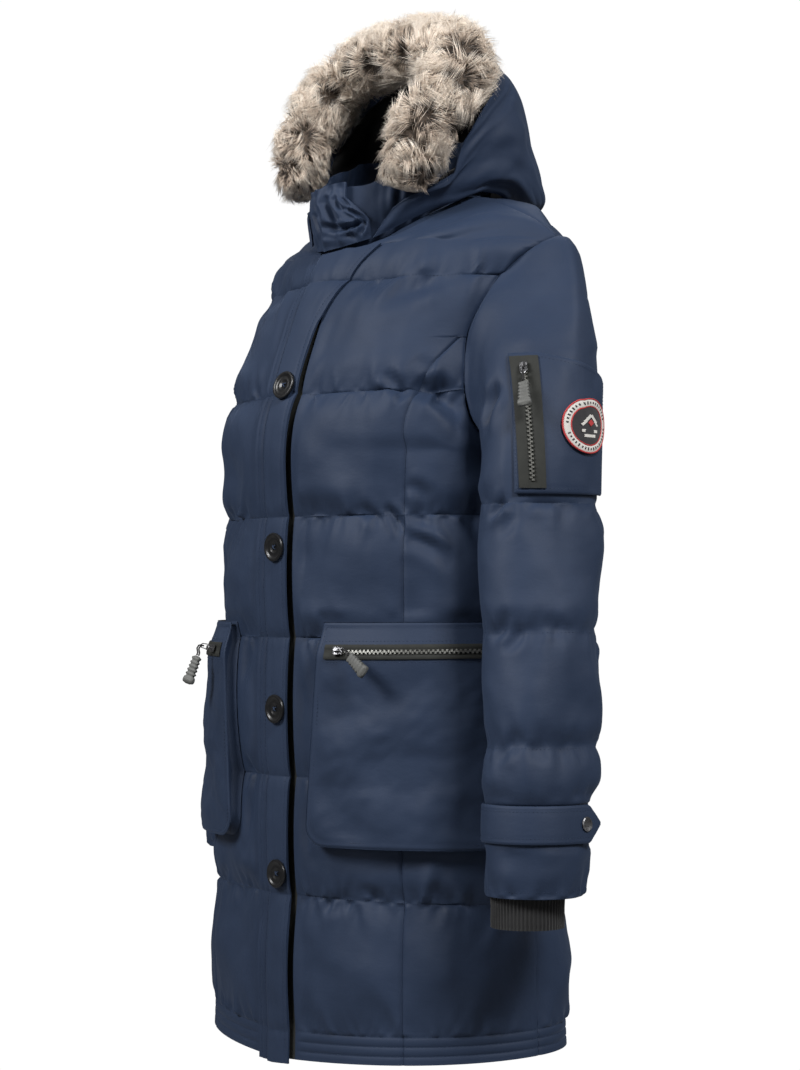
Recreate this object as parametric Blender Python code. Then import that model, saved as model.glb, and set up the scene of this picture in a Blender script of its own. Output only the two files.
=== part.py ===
"""Fur trimmed parka, worn form, built from its cut pieces.

Heights in the tables are measured up from the hem, and the origin is the
middle of the neck opening, level with the shoulders. +Z is up, the front
faces -Y, and the wearer's left is +X.
"""

import math
from typing import NamedTuple

import bmesh
import bpy
import numpy as np
from mathutils import Matrix, Vector

# Driving sizes, in metres
NECK_LEVEL = 0.800
WALL = 0.0020
SEAM_GAP = 0.0003
PUFF = 0.0070
HEM_BAND_TOP = 0.026
HEM_TILT_X = 0.045
HEM_TILT_Y = 0.050
HEM_TILT_TOP = 0.15
ARMPIT_ROW = 0.575
PRINCESS_TOP = 0.684
SHOULDER_ROW = 0.808
ROW_SAMPLES = 72

PLACKET_RIGHT_EDGE = -0.027
PLACKET_LIFT = 0.0034
PLACKET_WALL = 0.0022
ZIP_RIGHT_EDGE = -0.010
LEFT_FRONT_EDGE = 0.0284
BUTTON_RADIUS = 0.014
BUTTON_HEIGHTS = (0.641, 0.487, 0.331, 0.172)

POCKET_TOP = 0.415
POCKET_BOTTOM = 0.203
POCKET_DEPTH = 0.013
POCKET_CORNER = 0.020
POCKET_ZIP_HEIGHT = 0.387
POCKET_ZIP_WIDTH = 0.014
ZIP_RIDGE = 0.0027

SLEEVE_HEM = 0.171
STRAP_LOW = 0.219
STRAP_HIGH = 0.253
RIB_BOTTOM = 0.142
RIB_RADIUS = 0.0335
BACK_SLEEVE_SEAM = math.radians(-60.0)
STRAP_LEAVES = 0.0
STRAP_BEND = 0.010

BADGE_RADIUS = 0.0255
FUR_SECTION_OUT = 0.034
FUR_SECTION_FRONT = 0.040
HOOD_SET_BACK = 0.0425


class BodySection(NamedTuple):
    """Half widths and depths of the body at one height below the armhole."""

    height: float
    side_x: float
    side_y: float
    front: float
    back: float
    roundness: float


class YokeSection(NamedTuple):
    """One cross row above the armpit: where it starts, bends and ends."""

    row: float
    start: tuple
    bend: tuple
    end: tuple
    roundness: float


class SleeveRing(NamedTuple):
    """Centre and half widths of one sleeve section below the sleeve cap."""

    height: float
    centre_x: float
    centre_y: float
    half_x: float
    half_y: float


class HoodArch(NamedTuple):
    """Bend points of one hood arch, from neck seam up to the centre seam."""

    share: float
    low_bend: tuple
    high_bend: tuple
    crown: tuple


BODY = (
    BodySection(0.000, 0.227, 0.000, 0.139, 0.116, 0.78),
    BodySection(0.150, 0.219, 0.000, 0.136, 0.113, 0.78),
    BodySection(0.300, 0.206, 0.000, 0.137, 0.108, 0.78),
    BodySection(0.420, 0.195, 0.001, 0.138, 0.104, 0.78),
    BodySection(0.500, 0.190, 0.002, 0.139, 0.106, 0.78),
    BodySection(0.575, 0.188, 0.003, 0.140, 0.116, 0.78),
)

FRONT_YOKE = (
    YokeSection(0.595, (0, -0.1390, 0.595), (0.178, -0.135, 0.595), (0.1815, -0.030, 0.592), 0.82),
    YokeSection(0.612, (0, -0.1370, 0.612), (0.169, -0.130, 0.612), (0.1750, -0.0415, 0.612), 0.84),
    YokeSection(0.640, (0, -0.1300, 0.640), (0.158, -0.119, 0.640), (0.1680, -0.0430, 0.640), 0.85),
    YokeSection(0.684, (0, -0.1140, 0.684), (0.152, -0.099, 0.684), (0.1655, -0.0370, 0.684), 0.85),
    YokeSection(0.720, (0, -0.1010, 0.720), (0.156, -0.084, 0.721), (0.1695, -0.0220, 0.720), 0.85),
    YokeSection(0.744, (0, -0.0910, 0.744), (0.158, -0.068, 0.748), (0.1770, -0.0060, 0.744), 0.85),
    YokeSection(0.760, (0, -0.0830, 0.760), (0.154, -0.052, 0.769), (0.1850, 0.0080, 0.760), 0.85),
    YokeSection(0.772, (0, -0.0750, 0.773), (0.150, -0.036, 0.783), (0.1920, 0.0160, 0.768), 0.85),
    YokeSection(0.778, (0.021, -0.0690, 0.777), (0.150, -0.025, 0.791), (0.1965, 0.0205, 0.772), 0.86),
    YokeSection(0.784, (0.042, -0.0540, 0.784), (0.150, -0.014, 0.799), (0.2000, 0.0240, 0.775), 0.88),
    YokeSection(0.796, (0.066, -0.0240, 0.804), (0.155, 0.008, 0.812), (0.2060, 0.0310, 0.779), 0.94),
    YokeSection(0.808, (0.090, 0.0260, 0.832), (0.160, 0.030, 0.818), (0.2100, 0.0360, 0.781), 1.00),
)

BACK_YOKE = (
    YokeSection(0.595, (0, 0.1200, 0.595), (0.181, 0.116, 0.595), (0.1850, 0.0400, 0.592), 0.80),
    YokeSection(0.612, (0, 0.1225, 0.612), (0.176, 0.119, 0.612), (0.1800, 0.0620, 0.612), 0.80),
    YokeSection(0.640, (0, 0.1260, 0.640), (0.170, 0.122, 0.640), (0.1755, 0.0790, 0.640), 0.80),
    YokeSection(0.684, (0, 0.1285, 0.686), (0.165, 0.124, 0.685), (0.1740, 0.0860, 0.684), 0.80),
    YokeSection(0.720, (0, 0.1280, 0.724), (0.165, 0.119, 0.724), (0.1780, 0.0820, 0.718), 0.80),
    YokeSection(0.744, (0, 0.1250, 0.752), (0.167, 0.112, 0.752), (0.1850, 0.0740, 0.742), 0.80),
    YokeSection(0.760, (0, 0.1200, 0.778), (0.169, 0.101, 0.776), (0.1920, 0.0640, 0.758), 0.82),
    YokeSection(0.772, (0, 0.1130, 0.804), (0.170, 0.089, 0.797), (0.1990, 0.0550, 0.769), 0.85),
    YokeSection(0.784, (0, 0.1000, 0.829), (0.168, 0.073, 0.811), (0.2040, 0.0480, 0.775), 0.90),
    YokeSection(0.790, (0.031, 0.0950, 0.832), (0.166, 0.063, 0.815), (0.2055, 0.0450, 0.777), 0.92),
    YokeSection(0.796, (0.060, 0.0790, 0.834), (0.164, 0.052, 0.818), (0.2070, 0.0420, 0.779), 0.95),
    YokeSection(0.802, (0.081, 0.0550, 0.834), (0.162, 0.041, 0.818), (0.2085, 0.0390, 0.780), 0.98),
    YokeSection(0.808, (0.090, 0.0260, 0.832), (0.160, 0.030, 0.818), (0.2100, 0.0360, 0.781), 1.00),
)

# Distance of the princess seam from the centre, at each height
PRINCESS_SEAM = (
    (0.000, 0.154), (0.200, 0.149), (0.420, 0.144), (0.510, 0.1425),
    (0.588, 0.1445), (0.6465, 0.1500), (0.684, 0.1632),
)

# Free edge of the button strip, which flares out to the collar at the top
PLACKET_EDGE = (
    (-0.010, 0.024), (0.300, 0.024), (0.600, 0.025), (0.690, 0.028),
    (0.720, 0.034), (0.750, 0.048), (0.772, 0.066),
)

QUILT_ROWS = (0.0, 0.026, 0.1525, 0.266, 0.400, 0.516, 0.634, 0.744, 0.808)
PANEL_ROWS = (
    0.000, 0.026, 0.050, 0.090, 0.130, 0.1525, 0.176, 0.210, 0.243, 0.266,
    0.290, 0.333, 0.376, 0.400, 0.423, 0.458, 0.493, 0.516, 0.540, 0.575,
    0.595, 0.612, 0.634, 0.656, 0.684, 0.705, 0.726, 0.744,
    0.760, 0.772, 0.778, 0.784, 0.790, 0.796, 0.802, 0.808,
)
INNER_ROWS = (
    0.000, 0.026, 0.090, 0.1525, 0.210, 0.266, 0.333, 0.400, 0.458, 0.516,
    0.575, 0.595, 0.634, 0.684, 0.726, 0.744, 0.772, 0.784, 0.796, 0.808,
)

LEFT_SLEEVE = (
    SleeveRing(0.524, 0.2520, -0.0225, 0.0485, 0.0570),
    SleeveRing(0.408, 0.2745, -0.0415, 0.0470, 0.0535),
    SleeveRing(0.305, 0.2885, -0.0540, 0.0455, 0.0495),
    SleeveRing(0.253, 0.2930, -0.0610, 0.0445, 0.0475),
    SleeveRing(SLEEVE_HEM, 0.2995, -0.0680, 0.0435, 0.0450),
)
RIGHT_SLEEVE = (
    SleeveRing(0.524, 0.2480, 0.0420, 0.0485, 0.0570),
    SleeveRing(0.408, 0.2580, 0.0450, 0.0470, 0.0535),
    SleeveRing(0.305, 0.2665, 0.0380, 0.0455, 0.0495),
    SleeveRing(0.253, 0.2695, 0.0300, 0.0445, 0.0475),
    SleeveRing(SLEEVE_HEM, 0.2720, 0.0220, 0.0435, 0.0450),
)
CAP_SHARES = (0.0, 0.07, 0.15, 0.24, 0.31, 0.41, 0.56, 0.67, 0.78, 0.90, 1.0)
CAP_SEAMS = (0.0, 1.0)
TUBE_SEAMS = (0.524, 0.408, 0.305, STRAP_HIGH, SLEEVE_HEM)

HOOD = (
    HoodArch(0.00, (0.1380, -0.0100, 0.8620), (0.1280, 0.0460, 0.9980), (0, 0.0500, 0.9920)),
    HoodArch(0.25, (0.1540, 0.0295, 0.8665), (0.1280, 0.0935, 0.9890), (0, 0.1020, 0.9740)),
    HoodArch(0.50, (0.1410, 0.0670, 0.8500), (0.1055, 0.1275, 0.9355), (0, 0.1305, 0.9220)),
    HoodArch(0.75, (0.1185, 0.1255, 0.8100), (0.0855, 0.1450, 0.8540), (0, 0.1440, 0.8625)),
    HoodArch(1.00, (0, 0.1380, 0.8115), (0, 0.1600, 0.8030), (0, 0.1695, 0.8200)),
)

FUR_LINE = (
    (0.0870, -0.0460, 0.833), (0.0960, -0.0400, 0.880), (0.1050, -0.0200, 0.920),
    (0.1040, 0.0040, 0.953), (0.0750, 0.0170, 0.977), (0.0000, 0.0180, 0.988),
)
FUR_RIGHT_END = (-0.0895, -0.0445, 0.848)


# ---------------------------------------------------------------- curves

def lift(point):
    """Point given by its height above the hem, in the part's own frame."""
    return np.array((point[0], point[1], point[2] - NECK_LEVEL), dtype=float)


def even_slopes(knots, values):
    """Slopes that keep a curve from swinging past its own knots."""
    widths = np.diff(knots).reshape((-1,) + (1,) * (values.ndim - 1))
    steps = np.diff(values, axis=0) / widths
    slopes = np.zeros_like(values)
    slopes[0] = steps[0]
    slopes[-1] = steps[-1]
    before = steps[:-1]
    after = steps[1:]
    same_way = before * after > 0
    total = np.where(same_way, before + after, 1.0)
    slopes[1:-1] = np.where(same_way, 2 * before * after / total, 0.0)
    return slopes


def smooth(knots, values, at):
    """Smooth curve through table values, with one value or vector per knot."""
    knots = np.asarray(knots, dtype=float)
    values = np.asarray(values, dtype=float)
    at = min(max(at, knots[0]), knots[-1])
    slopes = even_slopes(knots, values)
    i = int(min(np.searchsorted(knots, at, side="right") - 1, len(knots) - 2))
    span = knots[i + 1] - knots[i]
    t = (at - knots[i]) / span
    near = (2 * t ** 3 - 3 * t ** 2 + 1) * values[i] + (t ** 3 - 2 * t ** 2 + t) * span * slopes[i]
    far = (3 * t ** 2 - 2 * t ** 3) * values[i + 1] + (t ** 3 - t ** 2) * span * slopes[i + 1]
    return near + far


def spread(line, count):
    """Same line with evenly spaced points."""
    line = np.asarray(line, dtype=float)
    steps = np.linalg.norm(np.diff(line, axis=0), axis=1)
    along = np.concatenate(([0.0], np.cumsum(steps)))
    marks = np.linspace(0.0, along[-1], count)
    return np.stack([np.interp(marks, along, line[:, k]) for k in range(3)], axis=1)


def spline(points, count):
    """Smooth line through a few points, evenly spaced."""
    points = np.asarray(points, dtype=float)
    knots = np.concatenate(([0.0], np.cumsum(np.linalg.norm(np.diff(points, axis=0), axis=1))))
    fine = [smooth(knots, points, at) for at in np.linspace(0.0, knots[-1], count * 6)]
    return spread(fine, count)


def bend_row(start, bend, end, weight):
    """Finely sampled curve that leaves start toward bend and arrives at end."""
    t = np.linspace(0.0, 1.0, ROW_SAMPLES)[:, None]
    low = (1 - t) ** 2
    mid = 2 * weight * t * (1 - t)
    high = t ** 2
    return (low * start + mid * bend + high * end) / (low + mid + high)


def yoke_knots(front):
    """Row table of one half, with the body sections first."""
    side = -1.0 if front else 1.0
    rows = []
    for section in BODY:
        depth = side * (section.front if front else section.back)
        rows.append(YokeSection(
            section.height,
            (0.0, depth, section.height),
            (section.side_x, depth, section.height),
            (section.side_x, section.side_y, section.height),
            section.roundness,
        ))
    return rows + list(FRONT_YOKE if front else BACK_YOKE)


KNOTS = {True: yoke_knots(True), False: yoke_knots(False)}
ROW_CACHE = {}


def body_row(front, row):
    """Sampled cross row of the body, from the centre to the side or armhole."""
    key = (front, round(row, 6))
    if key not in ROW_CACHE:
        table = KNOTS[front]
        knots = [entry.row for entry in table]
        start = smooth(knots, [entry.start for entry in table], row)
        bend = smooth(knots, [entry.bend for entry in table], row)
        end = smooth(knots, [entry.end for entry in table], row)
        weight = smooth(knots, [entry.roundness for entry in table], row)
        if row < 0.0:
            start[2] = bend[2] = end[2] = row
        line = bend_row(start, bend, end, weight)
        settle = max(0.0, 1.0 - max(row, 0.0) / HEM_TILT_TOP)
        line[:, 2] += settle * (HEM_TILT_X * line[:, 0] + HEM_TILT_Y * line[:, 1])
        along = np.concatenate(([0.0], np.cumsum(np.linalg.norm(np.diff(line, axis=0), axis=1))))
        ROW_CACHE[key] = (line, along)
    return ROW_CACHE[key]


def row_length(front, row):
    """Length of a cross row."""
    return float(body_row(front, row)[1][-1])


def on_row(front, row, share):
    """Point at a share of a cross row, on the wearer's left half."""
    line, along = body_row(front, row)
    mark = share * along[-1]
    point = np.array([np.interp(mark, along, line[:, k]) for k in range(3)])
    return lift(point)


def share_at_x(front, row, x):
    """Share of a cross row at which it reaches a distance from the centre."""
    line, along = body_row(front, row)
    if x <= line[0, 0]:
        return 0.0
    return float(np.interp(x, line[:, 0], along) / along[-1])


def one_normal(front, row, share, low, high):
    """Outward direction of the body, from rows just below and above."""
    step = 0.002
    across = on_row(front, row, min(share + step, 1.0)) - on_row(front, row, max(share - step, 0.0))
    upward = on_row(front, high, share) - on_row(front, low, share)
    normal = np.cross(across, upward)
    if not front:
        normal = -normal
    if share == 0.0 and abs(on_row(front, row, 0.0)[0]) < 1e-6:
        normal[0] = 0.0
    return normal / np.linalg.norm(normal)


def body_normal(front, row, share):
    """Outward direction of the body surface; shared along the shoulder seam."""
    step = 0.0015
    low = row - step
    high = min(row + step, SHOULDER_ROW)
    normal = one_normal(front, row, share, low, high)
    side_seam = share > 0.995 and row < ARMPIT_ROW + 0.001
    if row > SHOULDER_ROW - 1e-6 or side_seam:
        normal = normal + one_normal(not front, row, share, low, high)
        normal /= np.linalg.norm(normal)
    return normal


def pillow(row):
    """Height of the quilting between two stitched rows, from 0 to 1."""
    for low, high in zip(QUILT_ROWS[1:], QUILT_ROWS[2:]):
        if low <= row <= high:
            t = (row - low) / (high - low)
            return max(0.0, math.sin(math.pi * t)) ** 0.6
    return 0.0


def princess_share(row):
    """Share of the front row at which the princess seam lies."""
    table = PRINCESS_SEAM
    x = float(smooth([r for r, _ in table], [v for _, v in table], row))
    return share_at_x(True, row, x)


def side_edge(row):
    """Part of the quilting height kept at the side seam; none at the armhole."""
    return 0.35 * min(max((ARMPIT_ROW - row) / 0.02, 0.0), 1.0)


def side_reach(row):
    """Distance from the side over which the quilting rises, most at the armhole."""
    return 0.030 + 0.030 * min(max((row - 0.490) / 0.080, 0.0), 1.0)


def neck_ease(row, aside, neck_row):
    """Part of the quilting height kept near the neckline, where there is none."""
    below = max(0.0, neck_row - row)
    return min(math.hypot(aside, below) / 0.030, 1.0)


def front_puff(row, share):
    """Quilting height on the front, low at the centre and at every seam."""
    length = row_length(True, row)
    seam = princess_share(row) if row <= PRINCESS_TOP + 1e-9 else 2.0
    reach = 0.030
    centre = min(share * length / 0.055, 1.0)
    near_seam = min(abs(share - seam) * length / reach, 1.0)
    edge = side_edge(row)
    near_side = min((1.0 - share) * length / side_reach(row), 1.0)
    ease = (0.30 + 0.70 * centre) * (0.45 + 0.55 * near_seam) * (edge + (1.0 - edge) * near_side)
    return PUFF * pillow(row) * ease * neck_ease(row, share * length, 0.772)


def back_puff(row, share):
    """Quilting height on the back, low at the side seams."""
    edge = side_edge(row)
    length = row_length(False, row)
    near_side = min((1.0 - share) * length / side_reach(row), 1.0)
    ease = (edge + (1.0 - edge) * near_side) * neck_ease(row, share * length, 0.784)
    return PUFF * pillow(row) * ease


def front_point(row, share, raised):
    """Point raised above the front's own quilting."""
    height = front_puff(row, share) + raised
    return on_row(True, row, share) + height * body_normal(True, row, share)


# ---------------------------------------------------------------- walls

class Shell:
    """Closed wall put together from sheets and the rims that join them."""

    def __init__(self):
        self.points = []
        self.index = {}
        self.faces = []

    def vertex(self, point):
        """Number of a point, shared by every face that touches it."""
        key = tuple(round(float(c) * 1e7) for c in point)
        if key not in self.index:
            self.index[key] = len(self.points)
            self.points.append(tuple(float(c) for c in point))
        return self.index[key]

    def face(self, *corners):
        """One face, left out if its corners meet."""
        loop = []
        for corner in corners:
            number = self.vertex(corner)
            if number not in loop:
                loop.append(number)
        if len(loop) > 2:
            self.faces.append(loop)

    def sheet(self, grid, ring=False):
        """Faces of a grid of points, closed around if it is a ring."""
        rows, columns = grid.shape[:2]
        last = columns if ring else columns - 1
        for i in range(rows - 1):
            for j in range(last):
                k = (j + 1) % columns
                self.face(grid[i, j], grid[i, k], grid[i + 1, k], grid[i + 1, j])

    def rim(self, outer, inner):
        """Faces between two lines that may have unlike numbers of points."""
        a = b = 0
        while a < len(outer) - 1 or b < len(inner) - 1:
            next_a = (a + 1) / (len(outer) - 1)
            next_b = (b + 1) / (len(inner) - 1)
            if len(outer) == len(inner):
                self.face(outer[a], outer[a + 1], inner[b + 1], inner[b])
                a += 1
                b += 1
            elif b >= len(inner) - 1 or (a < len(outer) - 1 and next_a <= next_b):
                self.face(outer[a], outer[a + 1], inner[b])
                a += 1
            else:
                self.face(outer[a], inner[b + 1], inner[b])
                b += 1

    def matched_rim(self, outer, inner, outer_marks, inner_marks):
        """Rim between two lines whose points carry heights to match by."""
        a = b = 0
        while a < len(outer) - 1 or b < len(inner) - 1:
            if b >= len(inner) - 1:
                step_outer = True
            elif a >= len(outer) - 1:
                step_outer = False
            else:
                step_outer = outer_marks[a + 1] <= inner_marks[b + 1]
            if step_outer:
                self.face(outer[a], outer[a + 1], inner[b])
                a += 1
            else:
                self.face(outer[a], inner[b + 1], inner[b])
                b += 1

    def build(self, name, material, shade_smooth=True):
        """Named object with every face turned outward."""
        mesh = bpy.data.meshes.new(name)
        mesh.from_pydata(self.points, [], self.faces)
        work = bmesh.new()
        work.from_mesh(mesh)
        bmesh.ops.recalc_face_normals(work, faces=work.faces)
        if work.calc_volume(signed=True) < 0:
            bmesh.ops.reverse_faces(work, faces=work.faces)
        work.to_mesh(mesh)
        work.free()
        for polygon in mesh.polygons:
            polygon.use_smooth = shade_smooth
        thing = bpy.data.objects.new(name, mesh)
        thing.data.materials.append(material)
        COAT.objects.link(thing)
        return thing


def mirrored(grid):
    """Same points on the wearer's right."""
    return grid * np.array((-1.0, 1.0, 1.0))


def close_open_grid(shell, outer, inner, outer_rows, inner_rows):
    """Both sheets of a panel and the rim all round it."""
    shell.sheet(outer)
    shell.sheet(inner)
    shell.rim(outer[0], inner[0])
    shell.rim(outer[-1], inner[-1])
    shell.matched_rim(outer[:, 0], inner[:, 0], outer_rows, inner_rows)
    shell.matched_rim(outer[:, -1], inner[:, -1], outer_rows, inner_rows)


def body_grid(front, rows, start_share, end_share, columns, height_at):
    """Grid of points on the body, raised by a height along its normals."""
    grid = []
    for row in rows:
        low = start_share(row)
        high = end_share(row)
        line = []
        for j in range(columns + 1):
            share = low + (high - low) * j / columns
            point = on_row(front, row, share)
            point = point + height_at(row, share) * body_normal(front, row, share)
            if row > SHOULDER_ROW - 1e-6:
                point[1] += -0.6 * SEAM_GAP if front else 0.6 * SEAM_GAP
            line.append(point)
        grid.append(line)
    return np.array(grid)


# ---------------------------------------------------------------- materials

def finish(name, colour, roughness, metallic=0.0, sheen=0.0):
    """Plain surface finish."""
    material = bpy.data.materials.new(name)
    material.use_nodes = True
    shader = material.node_tree.nodes["Principled BSDF"]
    shader.inputs["Base Color"].default_value = (*colour, 1.0)
    shader.inputs["Roughness"].default_value = roughness
    shader.inputs["Metallic"].default_value = metallic
    shader.inputs["Sheen Weight"].default_value = sheen
    return material


# ---------------------------------------------------------------- body panels

def half_gap(front, row):
    """Share of a row taken by half a seam gap."""
    return 0.5 * SEAM_GAP / row_length(front, row)


def front_panel(side):
    """Centre front panel, from the zip to the princess seam and armhole."""
    edge = LEFT_FRONT_EDGE if side == "left" else -ZIP_RIGHT_EDGE + SEAM_GAP

    def start(row):
        return share_at_x(True, row, edge)

    def end(row):
        if row <= PRINCESS_TOP + 1e-9:
            return princess_share(row) - half_gap(True, row)
        return 1.0

    over_top = PRINCESS_TOP + SEAM_GAP
    outer_rows = sorted(PANEL_ROWS + (over_top,))
    inner_rows = sorted(INNER_ROWS + (over_top,))
    outer = body_grid(True, outer_rows, start, end, 5, front_puff)
    inner = body_grid(True, inner_rows, start, end, 5, lambda row, share: -WALL)
    if side == "right":
        outer = mirrored(outer)
        inner = mirrored(inner)
    shell = Shell()
    close_open_grid(shell, outer, inner, outer_rows, inner_rows)
    return shell.build("front_" + side, NAVY)


def side_front_panel(side):
    """Side front panel, from the princess seam to the side seam."""

    def start(row):
        return princess_share(row) + half_gap(True, row)

    def end(row):
        return 1.0 - (half_gap(True, row) if row < 0.600 else 0.0)

    outer_rows = [row for row in PANEL_ROWS if row <= PRINCESS_TOP]
    inner_rows = [row for row in INNER_ROWS if row <= PRINCESS_TOP]
    outer = body_grid(True, outer_rows, start, end, 5, front_puff)
    inner = body_grid(True, inner_rows, start, end, 5, lambda row, share: -WALL)
    if side == "right":
        outer = mirrored(outer)
        inner = mirrored(inner)
    shell = Shell()
    close_open_grid(shell, outer, inner, outer_rows, inner_rows)
    return shell.build("side_front_" + side, NAVY)


def back_panel():
    """Back, cut in one piece from side seam to side seam."""
    columns = 6

    def end(row):
        return 1.0 - (half_gap(False, row) if row < 0.600 else 0.0)

    outer_rows = list(PANEL_ROWS)
    inner_rows = list(INNER_ROWS)
    outer = body_grid(False, outer_rows, lambda row: 0.0, end, columns, back_puff)
    inner = body_grid(False, inner_rows, lambda row: 0.0, end, columns, lambda row, share: -WALL)
    neck_outer = outer_rows.index(0.784)
    neck_inner = inner_rows.index(0.784)
    shell = Shell()
    for turn in (lambda grid: grid, mirrored):
        above = turn(outer)
        below = turn(inner)
        shell.sheet(above)
        shell.sheet(below)
        shell.rim(above[0], below[0])
        shell.rim(above[-1], below[-1])
        shell.matched_rim(above[:, -1], below[:, -1], outer_rows, inner_rows)
        shell.matched_rim(above[neck_outer:, 0], below[neck_inner:, 0],
                          outer_rows[neck_outer:], inner_rows[neck_inner:])
    return shell.build("back", NAVY)


# ---------------------------------------------------------------- front closure

def strip(name, material, rows, left_x, right_x, columns, low, high):
    """Flat strip along the front, between two heights above the panels."""

    def level(row, x, raised):
        side = 1.0 if x >= 0 else -1.0
        point = front_point(row, share_at_x(True, row, abs(x)), raised)
        if abs(x) < 0.030:
            point[0] = abs(x)
        point[0] *= side
        return point

    outer = []
    inner = []
    for row in rows:
        left = left_x(row)
        right = right_x(row)
        spots = [right + (left - right) * j / columns for j in range(columns + 1)]
        outer.append([level(row, x, high(row, x)) for x in spots])
        inner.append([level(row, x, low(row, x)) for x in spots])
    shell = Shell()
    close_open_grid(shell, np.array(outer), np.array(inner), rows, rows)
    return shell.build(name, material)


def placket_edge(row):
    """Distance of the button strip's free edge from the centre."""
    return float(smooth([r for r, _ in PLACKET_EDGE], [v for _, v in PLACKET_EDGE], row))


def button_strip():
    """Strip over the zip, with its free edge toward the wearer's left."""
    rows = [-0.004] + [row for row in PANEL_ROWS if row < 0.770] + [0.7705]

    def low(row, x):
        if x < -0.010:
            return 0.0006
        covered = max(0.0, min(1.0, (abs(x) - 0.026) / 0.010))
        return PLACKET_LIFT * (1.0 - 0.70 * covered)

    return strip("button_strip", NAVY, rows, placket_edge, lambda row: PLACKET_RIGHT_EDGE, 4,
                 low, lambda row, x: low(row, x) + PLACKET_WALL)


def front_zip():
    """Zip under the button strip, with its teeth as one raised line."""
    rows = [row for row in INNER_ROWS if row < 0.750] + [0.768]
    teeth_low = 0.006
    teeth_high = 0.014
    across = (ZIP_RIGHT_EDGE, teeth_low - 0.001, teeth_low, teeth_high, teeth_high + 0.001,
              LEFT_FRONT_EDGE - SEAM_GAP)

    def level(row, x, raised):
        side = 1.0 if x >= 0 else -1.0
        normal = body_normal(True, row, share_at_x(True, row, abs(x)))
        point = on_row(True, row, share_at_x(True, row, abs(x))) + raised * normal
        point[0] = x if x * side > 0 else 0.0
        return point

    outer = []
    inner = []
    for row in rows:
        outer.append([level(row, x, 0.0011 if teeth_low <= x <= teeth_high else -0.0004) for x in across])
        inner.append([level(row, x, -0.0018) for x in across])
    outer = np.array(outer)
    inner = np.array(inner)
    shell = Shell()
    shell.sheet(outer)
    shell.sheet(inner)
    for line_outer, line_inner in ((outer[0], inner[0]), (outer[-1], inner[-1])):
        shell.rim(line_outer, line_inner)
    shell.rim(outer[:, 0], inner[:, 0])
    shell.rim(outer[:, -1], inner[:, -1])
    return shell.build("front_zip", ZIP_BLACK)


def turned_piece(name, material, profile, place, outward, steps=16, upward=(0, 0, 1)):
    """Round piece turned from a profile of (radius, height) about its face."""
    mesh = bpy.data.meshes.new(name)
    work = bmesh.new()
    rings = []
    for radius, height in profile:
        if radius < 1e-6:
            rings.append([work.verts.new((0, 0, height))])
            continue
        ring = []
        for k in range(steps):
            turn = 2 * math.pi * k / steps
            ring.append(work.verts.new((radius * math.cos(turn), radius * math.sin(turn), height)))
        rings.append(ring)
    for low, high in zip(rings, rings[1:]):
        for k in range(steps):
            n = (k + 1) % steps
            corners = [low[k % len(low)], low[n % len(low)], high[n % len(high)], high[k % len(high)]]
            loop = []
            for corner in corners:
                if corner not in loop:
                    loop.append(corner)
            work.faces.new(loop)
    bmesh.ops.recalc_face_normals(work, faces=work.faces)
    if work.calc_volume(signed=True) < 0:
        bmesh.ops.reverse_faces(work, faces=work.faces)
    work.to_mesh(mesh)
    work.free()
    for polygon in mesh.polygons:
        polygon.use_smooth = True
    thing = bpy.data.objects.new(name, mesh)
    thing.data.materials.append(material)
    thing.matrix_world = face_frame(place, outward, upward)
    COAT.objects.link(thing)
    return thing


def face_frame(place, outward, upward=(0, 0, 1)):
    """Frame whose Z points out of a surface and whose Y points up it."""
    z = Vector(outward).normalized()
    x = Vector(upward).cross(z).normalized()
    y = z.cross(x)
    frame = Matrix((x, y, z)).transposed().to_4x4()
    frame.translation = Vector(place)
    return frame


def buttons():
    """Four buttons on the strip, each with a raised rim and a dished face."""
    profile = (
        (0.0, 0.0), (0.0125, 0.0), (BUTTON_RADIUS, 0.0012), (BUTTON_RADIUS, 0.0026),
        (0.0125, 0.0036), (0.0108, 0.0034), (0.0100, 0.0024), (0.0, 0.0021),
    )
    for count, height in enumerate(BUTTON_HEIGHTS, start=1):
        share = share_at_x(True, height, 0.009)
        normal = body_normal(True, height, share)
        top = front_point(height, share, PLACKET_LIFT + PLACKET_WALL + 0.0009)
        turned_piece("button_%d" % count, BUTTON_BLACK, profile, top, normal)


# ---------------------------------------------------------------- sleeves

def resample_half(front, count):
    """Armhole points from the shoulder down to the armpit."""
    table = KNOTS[front]
    knots = [entry.row for entry in table]
    rows = np.linspace(SHOULDER_ROW, ARMPIT_ROW, 90)
    line = [lift(smooth(knots, [entry.end for entry in table], row)) for row in rows]
    return spread(line, count)


ARMHOLE_FRONT = resample_half(True, 61)
ARMHOLE_BACK = resample_half(False, 61)


def armhole(turn):
    """Armhole point at a turn: 0 at the shoulder, half a turn at the armpit."""
    turn = (turn + math.pi) % (2 * math.pi) - math.pi
    line = ARMHOLE_FRONT if turn >= 0 else ARMHOLE_BACK
    mark = abs(turn) / math.pi * (len(line) - 1)
    return np.array([np.interp(mark, np.arange(len(line)), line[:, k]) for k in range(3)])


def tube_ring(rings, height, turn):
    """Point of the straight part of a sleeve; turn 0 is outward, then front."""
    knots = [-ring.height for ring in rings]
    ring = smooth(knots, [ring[1:] for ring in rings], -height)
    centre_x, centre_y, half_x, half_y = ring
    return lift((centre_x + half_x * math.cos(turn), centre_y - half_y * math.sin(turn), height))


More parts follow.
